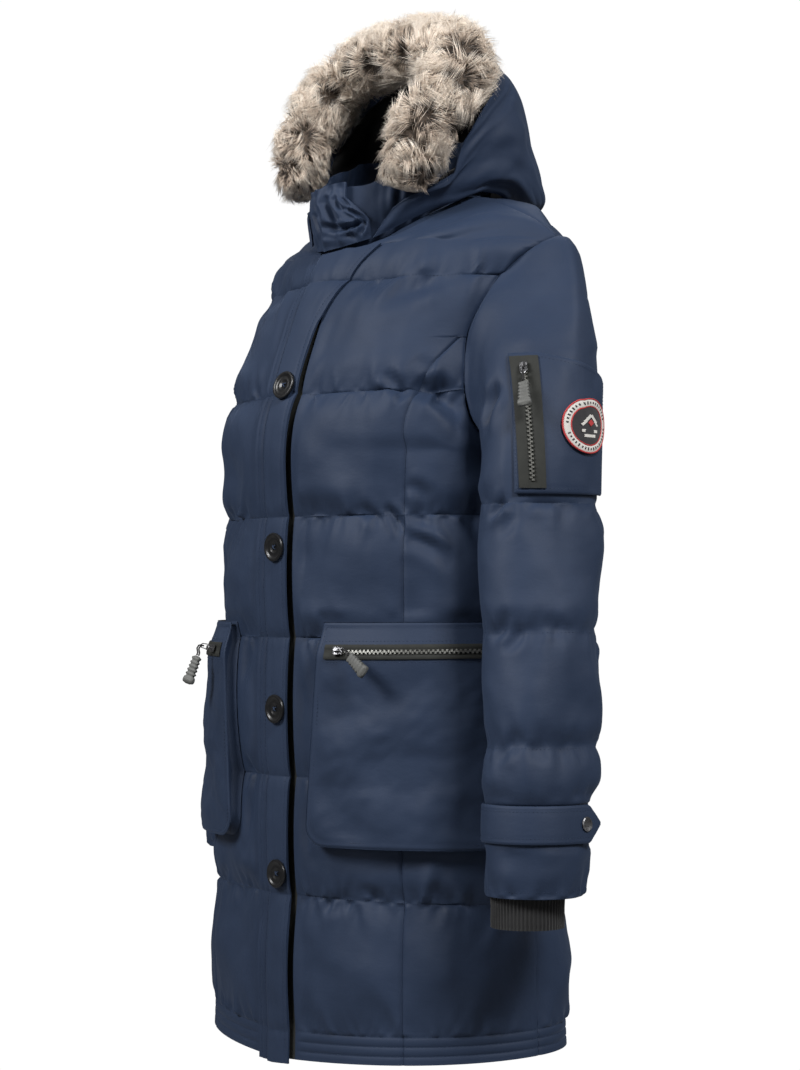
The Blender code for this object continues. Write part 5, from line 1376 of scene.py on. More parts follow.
@dataclass(frozen=True)
class FurFinish:
    """Long hair, dark at the roots and pale at the tips."""

    slot: Slot
    root: tuple = (0.045, 0.034, 0.027)
    middle: tuple = (0.620, 0.500, 0.400)
    tip: tuple = (1.000, 0.900, 0.780)

    def build(self) -> bpy.types.Material:
        """Material of the hair.

        Returns:
            The material.
        """
        graph = Graph(self.slot.value + "_look")
        tone = graph.node("ShaderNodeAttribute", {"attribute_name": "hair"}, {}, "Color")
        along = graph.node("ShaderNodeSeparateColor", {}, {0: tone})
        clump_tone_and_parting_shade, single = (Value(graph, along.socket.node.outputs[k]) for k in (1, 2))
        # The clump channel holds random clump tone and painted shade near the fur's partings.
        reach = along + (clump_tone_and_parting_shade - 0.55) * 0.80 + (single - 0.5) * 0.34
        low = graph.mix(self.root, self.middle, reach.within(0.06, 0.40))
        colour = graph.mix(low, self.tip, reach.within(0.36, 0.92))
        return graph.finish({
            "Base Color": colour, "Roughness": 0.62, "Specular IOR Level": 0.30,
            "Sheen Weight": 0.15, "Sheen Roughness": 0.5,
        })


FINISHES: dict = {}


def prepare_finishes() -> None:
    """Builds every material once."""
    looks = (
        WovenCloth(Slot.NAVY, (0.0165, 0.0290, 0.0610), (0.0215, 0.0365, 0.0745)),
        WovenCloth(Slot.LINING, (0.0040, 0.0040, 0.0050), (0.0070, 0.0070, 0.0080), 0.60, 0.10,
                   (0.5, 0.5, 0.5)),
        PlainFinish(Slot.TAPE, (0.0130, 0.0140, 0.0120), (0.0220, 0.0235, 0.0200), 0.80, scale=1400.0),
        PlainFinish(Slot.BUTTON, (0.0060, 0.0060, 0.0066), (0.0120, 0.0120, 0.0126), 0.32, scale=900.0),
        PlainFinish(Slot.RIB, (0.0060, 0.0060, 0.0068), (0.0110, 0.0110, 0.0120), 0.86, sheen=0.25,
                    scale=1600.0, grain=0.00012),
        PlainFinish(Slot.METAL, (0.20, 0.20, 0.21), (0.34, 0.34, 0.35), 0.34, metallic=1.0, scale=700.0),
        PlainFinish(Slot.CORD, (0.010, 0.010, 0.011), (0.022, 0.022, 0.022), 0.78, scale=2200.0),
        PlainFinish(Slot.RUBBER, (0.085, 0.087, 0.083), (0.130, 0.132, 0.125), 0.55, scale=900.0),
        PlainFinish(Slot.BADGE, (0.016, 0.015, 0.018), (0.028, 0.026, 0.030), 0.80, sheen=0.2, scale=1500.0,
                    grain=0.00012),
        FurFinish(Slot.FUR),
    )
    for look in looks:
        FINISHES[look.slot] = look.build()
    small = {
        "cream": PlainFinish(Slot.BADGE, (0.60, 0.58, 0.54), (0.72, 0.70, 0.66), 0.75, scale=1500.0),
        "red": PlainFinish(Slot.BADGE, (0.42, 0.030, 0.032), (0.52, 0.050, 0.050), 0.70, scale=1500.0),
        "teeth": PlainFinish(Slot.METAL, (0.150, 0.150, 0.138), (0.260, 0.260, 0.240), 0.40, metallic=0.70,
                             scale=900.0),
        "fur_core": PlainFinish(Slot.FUR, (0.070, 0.052, 0.040), (0.130, 0.098, 0.074), 0.95, scale=300.0),
    }
    for key, look in small.items():
        FINISHES[key] = look.build()


def repaint(thing: bpy.types.Object, key: object) -> bpy.types.Object:
    """Same object in another finish.

    Args:
        thing: Piece to paint.
        key: Finish by slot or name.

    Returns:
        The same piece.
    """
    thing.data.materials.clear()
    thing.data.materials.append(FINISHES[key])
    return thing


# ---------------------------------------------------------------- body

@dataclass
class Torso:
    """Fronts, side fronts and back, with their quilting."""

    stitches: Stitches
    pitch: float = 0.0036
    relief: TorsoRelief = field(default_factory=lambda: TorsoRelief(41))

    def rows(self, top: float) -> np.ndarray:
        """Heights of a panel's rows up to its top.

        Args:
            top: Height of the top row.

        Returns:
            Rising heights.
        """
        stops = HEM_ROWS + QUILT_ROWS[1:-1] + (PRINCESS_TOP,)
        low = marks_between(0.0, min(top, FINE_ROWS_FROM), self.pitch, stops)
        if top <= FINE_ROWS_FROM:
            return low
        high = marks_between(FINE_ROWS_FROM, SHOULDER_ROW, 0.0012)
        return np.unique(np.concatenate((low, high)))

    def panel(self, name: str, side: int, top: float, start: Callable, end: Callable) -> bpy.types.Object:
        """One panel of the front from a start share to an end share of every row.

        Args:
            name: Node that it stands for.
            side: 1 on the wearer's left, -1 on the right.
            top: Height of its top row.
            start: Share at which each row starts.
            end: Share at which each row ends.

        Returns:
            The panel's object.
        """
        rows = self.rows(top)
        low, high = start(rows), end(rows)
        width = float(np.max((high - low) * FORM.length(True, rows)))
        marks = marks_between(0.0, width, self.pitch, (0.0, width)) / width
        shares = low[:, None] + (high - low)[:, None] * marks[None, :]
        levels = np.broadcast_to(rows[:, None], shares.shape)
        height = self.relief.front(side, levels, shares)
        base = FORM.points(True, levels, shares)
        normals = FORM.normals(True, levels, shares)
        base[..., 1] -= np.where(levels > SHOULDER_ROW - 1e-6, 0.6 * SEAM_GAP, 0.0)
        outer = base + height[..., None] * normals
        below = np.minimum(lowest_near(height, 3), 0.0) - WALL
        inner = base + below[..., None] * normals
        picked_rows = every(len(rows), 3)
        picked = every(len(marks), 3)
        inner = inner[picked_rows][:, picked]
        turn = 1.0 if side > 0 else MIRROR
        shell = Shell()
        flat_sheet(shell, outer * turn, inner * turn, rows, marks, rows[picked_rows], marks[picked])
        thing = shell.build(name + "_cloth", Slot.NAVY)
        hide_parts(name)
        self.sew_rows(rows, outer * turn, normals * turn)
        return thing

    def sew_rows(self, rows: np.ndarray, outer: np.ndarray, normals: np.ndarray) -> None:
        """Stitches along every quilting row of a panel.

        Args:
            rows: Heights of the body's cross rows.
            outer: Grid of outer points.
            normals: Outward directions at the points.
        """
        for row in HEM_ROWS + QUILT_ROWS[1:-1]:
            if row < rows[-1] - 0.002:
                i = closest(rows, row)
                self.stitches.row(outer[i, 1:-1], normals[i, 1:-1])

    def back(self) -> bpy.types.Object:
        """Back, cut in one piece from side seam to side seam.

        Returns:
            The back's object.
        """
        rows = self.rows(SHOULDER_ROW)
        end = 1.0 - np.where(rows < SIDE_SEAM_TOP, 0.5 * SEAM_GAP / FORM.length(False, rows), 0.0)
        width = float(np.max(FORM.length(False, rows)))
        marks = marks_between(0.0, width, self.pitch, (0.0, width)) / width
        shares = end[:, None] * marks[None, :]
        levels = np.broadcast_to(rows[:, None], shares.shape)
        normals = FORM.normals(False, levels, shares)
        base = FORM.points(False, levels, shares)
        base[..., 1] += np.where(levels > SHOULDER_ROW - 1e-6, 0.6 * SEAM_GAP, 0.0)
        neck = closest(rows, BACK_NECK_ROW)
        picked_rows = np.unique(np.append(every(len(rows), 3), neck))
        picked = every(len(marks), 3)
        inner_neck = closest(picked_rows, neck)
        middle = ease(shares * width / 0.010)
        shell = Shell()
        for side in (1, -1):
            height = self.relief.back(side, levels, shares)
            even = 0.5 * (self.relief.back(1, levels, shares) + self.relief.back(-1, levels, shares))
            height = even + (height - even) * middle
            outer = base + height[..., None] * normals
            below = np.minimum(lowest_near(height, 3), 0.0) - WALL
            inner = (base + below[..., None] * normals)[picked_rows][:, picked]
            turn = 1.0 if side > 0 else MIRROR
            above = shell.add(outer * turn)
            under = shell.add(inner * turn)
            shell.grid(above)
            shell.grid(under)
            shell.rim(above[0], under[0], marks, marks[picked])
            shell.rim(above[-1], under[-1], marks, marks[picked])
            shell.rim(above[:, -1], under[:, -1], rows, rows[picked_rows])
            shell.rim(above[neck:, 0], under[inner_neck:, 0], rows[neck:], rows[picked_rows][inner_neck:])
            self.sew_rows(rows, outer * turn, normals * turn)
        thing = shell.build("back_cloth", Slot.NAVY, merge=2e-5)
        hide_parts("back")
        return thing

    def build(self) -> None:
        """Every panel of the body."""
        def seam_low(rows: np.ndarray) -> np.ndarray:
            """Share just before the princess seam, or the armhole above it."""
            gap = 0.5 * SEAM_GAP / FORM.length(True, rows)
            return np.where(rows <= PRINCESS_TOP + 1e-9, FORM.princess(rows) - gap, 1.0)

        def seam_high(rows: np.ndarray) -> np.ndarray:
            """Share just past the princess seam."""
            return FORM.princess(rows) + 0.5 * SEAM_GAP / FORM.length(True, rows)

        def side_end(rows: np.ndarray) -> np.ndarray:
            """Share at the side seam or armhole."""
            return 1.0 - np.where(rows < SIDE_SEAM_TOP, 0.5 * SEAM_GAP / FORM.length(True, rows), 0.0)

        for name, side in (("left", 1), ("right", -1)):
            edge = LEFT_FRONT_EDGE if side > 0 else -ZIP_RIGHT_EDGE + SEAM_GAP
            self.panel("front_" + name, side, SHOULDER_ROW,
                       lambda rows, x=edge: FORM.share_at_x(True, rows, x), seam_low)
            self.panel("side_front_" + name, side, PRINCESS_TOP, seam_high, side_end)
        self.back()


# ---------------------------------------------------------------- front closure

def strip_sheet(name: str, slot: Slot, rows: np.ndarray, left: np.ndarray, right: np.ndarray,
                low: Callable, high: Callable, pitch: float = 0.0036) -> tuple:
    """Strip along the front between two heights above the quilting.

    Args:
        name: Node that it stands for.
        slot: Finish.
        rows: Heights of its rows.
        left: Distance of its left edge at each row.
        right: Distance of its right edge at each row.
        low: Height of its under face at rows and distances.
        high: Height of its outer face at rows and distances.
        pitch: Spacing of its points.

    Returns:
        The object, its outer points and their normals.
    """
    width = float(np.max(left - right))
    marks = marks_between(0.0, width, pitch, (0.0, width)) / width
    spots = right[:, None] + (left - right)[:, None] * marks[None, :]
    levels = np.broadcast_to(rows[:, None], spots.shape)
    shares = FORM.share_at_x(True, levels, np.abs(spots))
    normals = FORM.normals(True, levels, shares)
    base = FORM.points(True, levels, shares) + front_puff(levels, shares)[..., None] * normals
    side = np.where(spots >= 0, 1.0, -1.0)

    def level(raised: np.ndarray) -> np.ndarray:
        """Points at a height, on their own side of the centre.

        Args:
            raised: Heights above the quilting.

        Returns:
            Points in the part's frame.
        """
        points = base + raised[..., None] * normals
        points[..., 0] = np.where(np.abs(spots) < 0.030, np.abs(spots), points[..., 0]) * side
        return points

    outer = level(high(levels, spots))
    inner = level(low(levels, spots))
    flip = normals.copy()
    flip[..., 0] *= side
    picked_rows = every(len(rows), 2)
    picked = every(len(marks), 2)
    shell = Shell()
    flat_sheet(shell, outer, inner[picked_rows][:, picked], rows, marks, rows[picked_rows], marks[picked])
    thing = shell.build(name + "_cloth", slot)
    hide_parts(name)
    return thing, outer, flip, spots


@dataclass
class Closure:
    """Button strip with its topstitching and buttons, and the zip under it."""

    stitches: Stitches
    foot: float = -0.004
    head: float = 0.7705
    edge_stitch: float = 0.0045
    second_stitch: float = 0.0125
    free_stitch: float = 0.0055
    relief: Ripples = field(default_factory=lambda: Ripples(7, 0.090, 0.030, 0.0008))

    def low(self, rows: np.ndarray, x: np.ndarray) -> np.ndarray:
        """Height of the strip's under face.

        Args:
            rows: Heights of the body's cross rows; not used.
            x: Distances from the centre, left above 0.

        Returns:
            Heights above the quilting.
        """
        covered = np.clip((np.abs(x) - 0.026) / 0.010, 0.0, 1.0)
        lifted = PLACKET_LIFT * (1.0 - 0.70 * covered)
        seat = np.clip((x + 0.012) / 0.004, 0.0, 1.0)
        return 0.0006 + (lifted - 0.0006) * seat

    def high(self, rows: np.ndarray, x: np.ndarray) -> np.ndarray:
        """Height of the strip's outer face, with its stitched edges sunk.

        Args:
            rows: Heights of the body's cross rows.
            x: Distances from the centre, left above 0.

        Returns:
            Heights above the quilting.
        """
        rise = self.low(rows, x) + PLACKET_WALL
        near_right = np.abs(x - PLACKET_RIGHT_EDGE - self.edge_stitch)
        second = np.abs(x - PLACKET_RIGHT_EDGE - self.second_stitch)
        free = np.abs(x - placket_edge(rows) + self.free_stitch)
        groove = 0.0007 * (np.exp(-(near_right / 0.0011) ** 2) + np.exp(-(second / 0.0011) ** 2))
        groove = groove + 0.0004 * np.exp(-(free / 0.0012) ** 2)
        belly = 0.0009 * np.sin(np.clip((x + 0.014) / 0.034, 0, 1) * math.pi)
        gather = np.zeros(rows.shape)
        for index, row in enumerate(QUILT_ROWS[1:-1]):
            gather -= 0.0010 * np.exp(-((rows - row) / 0.005) ** 2)
            for way in (-1, 1):
                folds = Puckers(900 + index * 2 + way, -0.03, 0.07, 0.009, 0.0009)
                gather += folds.rise(x, way * (rows - row))
        return rise + belly - groove + gather * 0.8 + self.relief.rise(x, rows) * 0.6

    def build(self) -> None:
        """Strip, zip and buttons."""
        rows = marks_between(self.foot, self.head, 0.0034, QUILT_ROWS[1:-1] + (self.foot, self.head))
        strip, outer, normals, spots = strip_sheet(
            "button_strip", Slot.NAVY, rows, placket_edge(rows), np.full(len(rows), PLACKET_RIGHT_EDGE),
            self.low, self.high, 0.0026)
        for inset in (self.edge_stitch, self.second_stitch):
            self.sew(outer, normals, spots, np.full(len(rows), PLACKET_RIGHT_EDGE + inset))
        self.sew(outer, normals, spots, placket_edge(rows) - self.free_stitch)
        self.zip()
        self.buttons()

    def sew(self, outer: np.ndarray, normals: np.ndarray, spots: np.ndarray, at: np.ndarray) -> None:
        """Upright row of stitches at a distance from the centre.

        Args:
            outer: Points of the outer face.
            normals: Outward directions at the points.
            spots: Distance of each point from the centre.
            at: Distance of the stitches at each row.
        """
        line = []
        out = []
        for i in range(1, len(outer) - 1):
            line.append([np.interp(at[i], spots[i], outer[i, :, k]) for k in range(3)])
            out.append([np.interp(at[i], spots[i], normals[i, :, k]) for k in range(3)])
        self.stitches.row(np.array(line), np.array(out))

    def zip(self) -> None:
        """Zip under the strip, with teeth over its whole length."""
        def place(rows: np.ndarray, x: np.ndarray, raised: np.ndarray) -> np.ndarray:
            """Points of the tape at heights and distances from the centre.

            Args:
                rows: Heights of the body's cross rows.
                x: Distances from the centre, left above 0.
                raised: Heights above the form.

            Returns:
                Points in the part's frame.
            """
            rows, x, raised = np.broadcast_arrays(rows, x, raised)
            shares = FORM.share_at_x(True, rows, np.abs(x))
            points = FORM.points(True, rows, shares) + raised[..., None] * FORM.normals(True, rows, shares)
            points[..., 0] = x
            return points

        rows = np.linspace(0.0, 0.768, 130)
        marks = np.array((ZIP_RIGHT_EDGE, -0.002, 0.0055, 0.0145, 0.021, LEFT_FRONT_EDGE - SEAM_GAP))
        outer = place(rows[:, None], marks[None, :], np.full((1, 1), -0.0005))
        inner = place(rows[:, None], marks[None, :], np.full((1, 1), -0.0018))
        shell = Shell()
        flat_sheet(shell, outer, inner, rows, marks, rows, marks)
        tape = shell.build("front_zip_tape", Slot.TAPE)
        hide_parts("front_zip")
        middle, sunk = 0.010, 0.0005
        teeth_row("front_zip_teeth", lambda mark, across, raised: place(mark, middle + across, raised - sunk),
                  0.004, 0.764, 0.0030, 0.0)

    def buttons(self) -> None:
        """Four dished buttons, each with its crossed threads."""
        for count, height in enumerate(BUTTON_HEIGHTS, start=1):
            share = FORM.share_at_x(True, np.array(height), np.array(0.009))
            normal = FORM.normals(True, np.array(height), share)
            top = front_point(np.array(height), share, np.array(PLACKET_LIFT + PLACKET_WALL + 0.0009))
            placed = face_frame(top, normal)
            profile = (
                (0.0, 0.0), (0.0122, 0.0), (0.0136, 0.0006), (0.0140, 0.0014), (0.0140, 0.0026),
                (0.0135, 0.0034), (0.0124, 0.0037), (0.0114, 0.0036), (0.0106, 0.0030), (0.0098, 0.0023),
                (0.0070, 0.0021), (0.0062, 0.0024), (0.0055, 0.0023), (0.0048, 0.0017), (0.0, 0.0015),
            )
            button = turned("button_%d_face" % count, Slot.BUTTON, profile, placed, 64)
            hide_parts("button_%d" % count)
            crossed_threads("button_%d_thread" % count, placed)


def face_frame(place: np.ndarray, outward: np.ndarray) -> np.ndarray:
    """Frame whose Z points out of a surface and whose Y points up it.

    Args:
        place: Its origin.
        outward: Direction out of the surface.

    Returns:
        Matrix of the frame.
    """
    z = unit(np.asarray(outward, float))
    x = unit(np.cross((0.0, 0.0, 1.0), z))
    y = np.cross(z, x)
    placed = np.eye(4)
    placed[:3, 0], placed[:3, 1], placed[:3, 2], placed[:3, 3] = x, y, z, place
    return placed


def moved(points: np.ndarray, placed: np.ndarray) -> np.ndarray:
    """Points of a frame, in the part's own frame."""
    return np.asarray(points, float) @ placed[:3, :3].T + placed[:3, 3]


def turned(name: str, slot: Slot, profile: Sequence, placed: np.ndarray, steps: int) -> bpy.types.Object:
    """Round piece turned from a profile of (radius, height) about its face.

    Args:
        name: The piece's name.
        slot: Finish that it takes.
        profile: Radius and height of each ring.
        placed: Frame of its face.
        steps: Points to a ring.

    Returns:
        The object.
    """
    around = np.linspace(0, 2 * math.pi, steps, endpoint=False)
    shell = Shell()
    rings = []
    for radius, height in profile:
        if radius < 1e-6:
            rings.append(shell.add(moved(np.array([(0, 0, height)]), placed)))
            continue
        ring = np.stack((radius * np.cos(around), radius * np.sin(around), np.full(steps, height)), axis=1)
        rings.append(shell.add(moved(ring, placed)))
    for low, high in zip(rings, rings[1:]):
        if len(low) == 1:
            shell.fan(high, int(low[0]))
        elif len(high) == 1:
            shell.fan(low, int(high[0]))
        else:
            shell.grid(np.stack((low, high)), ring=True)
    return shell.build(name, slot, sharp=40.0)


def crossed_threads(name: str, placed: np.ndarray) -> bpy.types.Object:
    """Crossed sewing threads in the middle of a button.

    Args:
        name: The piece's name.
        placed: Frame of its face.

    Returns:
        The object.
    """
    shell = Shell()
    for turn in (math.radians(45), math.radians(135)):
        along = np.array((math.cos(turn), math.sin(turn), 0.0))
        aside = np.array((-math.sin(turn), math.cos(turn), 0.0))
        stations = ((-0.0030, 0.0015), (-0.0020, 0.0026), (0.0, 0.0030), (0.0020, 0.0026), (0.0030, 0.0015))
        rings = []
        for reach, height in stations:
            middle = along * reach + np.array((0, 0, height))
            corner = [middle + aside * 0.0007 * c + np.array((0, 0, 0.0005 * s))
                      for c, s in ((1, 0), (0, 1), (-1, 0), (0, -1))]
            rings.append(corner)
        numbers = shell.add(moved(np.array(rings), placed))
        shell.grid(numbers, ring=True)
        shell.faces.append(numbers[0][None, :])
        shell.faces.append(numbers[-1][None, :])
    return shell.build(name, Slot.NAVY, sharp=180.0)


# Corners of one tooth: end along the zip, near or far side, foot or top
TOOTH_CORNERS = ((-1, 0, 0), (1, 0, 0), (1, 1, 0), (-1, 1, 0), (-1, 0, 1), (1, 0, 1), (1, 1, 1), (-1, 1, 1))


def teeth_row(name: str, place: Callable, low: float, high: float, pitch: float, seat: float,
              length: float = 0.0027, wide: float = 0.0017, deep: float = 0.0013) -> bpy.types.Object:
    """Two interlocked rows of zip teeth.

    Args:
        name: The piece's name.
        place: Points from a mark along the zip, a distance across and a height.
        low: First mark.
        high: Last mark.
        pitch: Spacing of the teeth on one side.
        seat: Height of their feet.
        length: Size of a tooth across the zip.
        wide: Size of a tooth along the zip.
        deep: Height of a tooth.

    Returns:
        The joined teeth.
    """
    count = int((high - low) / pitch)
    shell = Shell()
    corners_mark, corners_across, corners_up = [], [], []
    for side in (-1, 1):
        middle = low + pitch * (np.arange(count) + (0.25 if side < 0 else 0.75))
        for end, far, top in TOOTH_CORNERS:
            shrink = 0.42 if top else 0.5
            reach = (-0.0004 + far * (length - 0.0003)) if top else (-0.0006 + far * length)
            corners_mark.append(middle + end * wide * shrink)
            corners_across.append(np.full(count, side * reach))
            corners_up.append(np.full(count, seat + top * deep))
    marks = np.array(corners_mark).reshape(2, 8, count)
    across = np.array(corners_across).reshape(2, 8, count)
    up = np.array(corners_up).reshape(2, 8, count)
    points = place(marks, across, up)
    numbers = shell.add(points)
    for loop in ((0, 1, 2, 3), (4, 5, 6, 7), (0, 1, 5, 4), (1, 2, 6, 5), (2, 3, 7, 6), (3, 0, 4, 7)):
        shell.faces.append(np.stack([numbers[:, k, :].ravel() for k in loop], axis=1))
    return repaint(shell.build(name, Slot.METAL, sharp=30.0, merge=0.0), "teeth")


# ---------------------------------------------------------------- sleeves

class SleeveForm:
    """Surface of a sleeve: levels 0 to 1 are the cap, then 1 to 2 the tube."""

    def __init__(self, rings: Sequence[Ring]) -> None:
        """Reads the armhole from the body.

        Args:
            rings: Sections of the straight part.
        """
        self.rings = rings
        self.edges = {}
        rows = np.linspace(SHOULDER_ROW, ARMPIT_ROW, 240)
        for front in (True, False):
            table = FORM.tables[front]
            line = lift(smooth([entry.row for entry in table], [entry.end for entry in table], rows))
            self.edges[front] = spread(line, 240)

    def armhole(self, turn: np.ndarray) -> np.ndarray:
        """Armhole points: 0 at the shoulder, half a turn at the armpit.

        Args:
            turn: Turns around, in radians.

        Returns:
            Points of the seam.
        """
        turn = (turn + math.pi) % (2 * math.pi) - math.pi
        share = np.abs(turn) / math.pi
        ahead = (turn >= 0)[..., None]
        return np.where(ahead, on_line(self.edges[True], share), on_line(self.edges[False], share))

    def tube(self, height: np.ndarray, turn: np.ndarray) -> np.ndarray:
        """Points of the straight part; turn 0 is outward, then front.

        Args:
            height: Heights up from the coat's hem.
            turn: Turns around, in radians.

        Returns:
            Points in the part's frame.
        """
        ring = smooth([-r.height for r in self.rings], [tuple(r)[1:] for r in self.rings], -height)
        x = ring[..., 0] + ring[..., 2] * np.cos(turn)
        y = ring[..., 1] - ring[..., 3] * np.sin(turn)
        return lift(np.stack((x, y, np.broadcast_to(height, x.shape)), axis=-1))

    def level_of(self, height: float) -> float:
        """Level of a height on the straight part."""
        top, low = self.rings[0].height, self.rings[-1].height
        return 1.0 + (top - height) / (top - low)

    def points(self, level: np.ndarray, turn: np.ndarray) -> np.ndarray:
        """Points of the sleeve.

        Args:
            level: Levels, 0 at the armhole and 2 at the hem.
            turn: Turns around, in radians.

        Returns:
            Points in the part's frame.
        """
        level, turn = np.broadcast_arrays(np.asarray(level, float), np.asarray(turn, float))
        top, low = self.rings[0].height, self.rings[-1].height
        below = self.tube(top + (np.maximum(level, 1.0) - 1.0) * (low - top), turn)
        begin = self.armhole(turn)
        flat = np.full(turn.shape, top)
        finish_at = self.tube(flat, turn)
        further = self.tube(flat - 0.01, turn)
        inward = 0.5 - 0.5 * np.cos(turn)
        away = unit(np.stack((0.90 + 0.03 * inward, -0.04 * np.sin(turn), -0.30 - 0.24 * inward), axis=-1))
        reach = np.linalg.norm(finish_at - begin, axis=-1, keepdims=True)
        leave = away * reach * (0.55 + 0.47 * inward)[..., None]
        arrive = (further - finish_at) * np.stack((inward, inward, np.ones(inward.shape)), axis=-1)
        arrive = unit(arrive) * reach * (1.15 - 0.20 * inward)[..., None]
        begin = begin + away * 2.5 * SEAM_GAP
        t = np.minimum(level, 1.0)[..., None]
        cap = ((2 * t ** 3 - 3 * t ** 2 + 1) * begin + (t ** 3 - 2 * t ** 2 + t) * leave
               + (3 * t ** 2 - 2 * t ** 3) * finish_at + (t ** 3 - t ** 2) * arrive)
        return np.where((level >= 1.0)[..., None], below, cap)

    def normals(self, level: np.ndarray, turn: np.ndarray) -> np.ndarray:
        """Outward directions of the sleeve.

        Args:
            level: Levels, 0 at the armhole and 2 at the hem.
            turn: Turns around, in radians.

        Returns:
            Directions of length 1.
        """
        level, turn = np.broadcast_arrays(np.asarray(level, float), np.asarray(turn, float))
        down = (self.points(np.minimum(level + 0.01, 2.0), turn)
                - self.points(np.maximum(level - 0.01, 0.0), turn))
        around = self.points(level, turn + 0.02) - self.points(level, turn - 0.02)
        return unit(np.cross(around, down))

    def seams(self) -> list:
        """Levels of the quilting rows, strap and hem among them."""
        return list(CAP_SEAMS) + [self.level_of(height) for height in TUBE_SEAMS[1:]]

    def puff(self, level: np.ndarray, turn: np.ndarray) -> np.ndarray:
        """Quilting height, low on the side next to the body.

        Args:
            level: Levels, 0 at the armhole and 2 at the hem.
            turn: Turns around, in radians.

        Returns:
            Heights above the form.
        """
        level, turn = np.broadcast_arrays(np.asarray(level, float), np.asarray(turn, float))
        rise = np.zeros(level.shape)
        seams = self.seams()
        for low, high in zip(seams, seams[1:]):
            t = np.clip((level - low) / (high - low), 0.0, 1.0)
            small = 1.0
            if high > self.level_of(STRAP_HIGH) + 1e-6:
                small = 0.35
            elif high <= 1.0:
                small = 0.22 + 0.23 * np.cos(turn - 1.0)
            rise = np.maximum(rise, small * np.sin(math.pi * t).clip(0, 1) ** 0.6)
        inner_side = 0.5 - 0.5 * np.cos(turn)
        return 0.9 * PUFF * rise * (1.0 - 0.85 * inner_side ** 2)

    def surface(self, level: np.ndarray, turn: np.ndarray, raised: np.ndarray) -> np.ndarray:
        """Points above the sleeve's own quilting."""
        height = self.puff(level, turn) + raised
        return self.points(level, turn) + height[..., None] * self.normals(level, turn)

    def level_at(self, height: np.ndarray, turn: np.ndarray) -> np.ndarray:
        """Levels at which turns of the sleeve reach heights.

        Args:
            height: Heights up from the coat's hem.
            turn: Turns around, in radians.

        Returns:
            Levels.
        """
        height, turn = np.broadcast_arrays(np.asarray(height, float), np.asarray(turn, float))
        low = np.zeros(height.shape)
        high = np.full(height.shape, 2.0)
        for _ in range(26):
            middle = 0.5 * (low + high)
            above = self.points(middle, turn)[..., 2] + NECK_LEVEL > height
            low = np.where(above, middle, low)
            high = np.where(above, high, middle)
        return 0.5 * (low + high)

    def place(self, height: np.ndarray, turn: np.ndarray, raised: np.ndarray) -> np.ndarray:
        """Points over the sleeve at a height, flat across the quilting.

        Args:
            height: Heights up from the coat's hem.
            turn: Turns around, in radians.
            raised: Heights above the quilting.

        Returns:
            Points in the part's frame.
        """
        level = self.level_at(height, turn)
        level, raised = np.broadcast_arrays(level, np.asarray(raised, float))
        height = self.puff(level, turn) - 0.0003 + raised
        return self.points(level, turn) + height[..., None] * self.normals(level, turn)

    def facing(self, height: np.ndarray, turn: np.ndarray) -> np.ndarray:
        """Outward directions at heights and turns."""
        return self.normals(self.level_at(height, turn), turn)


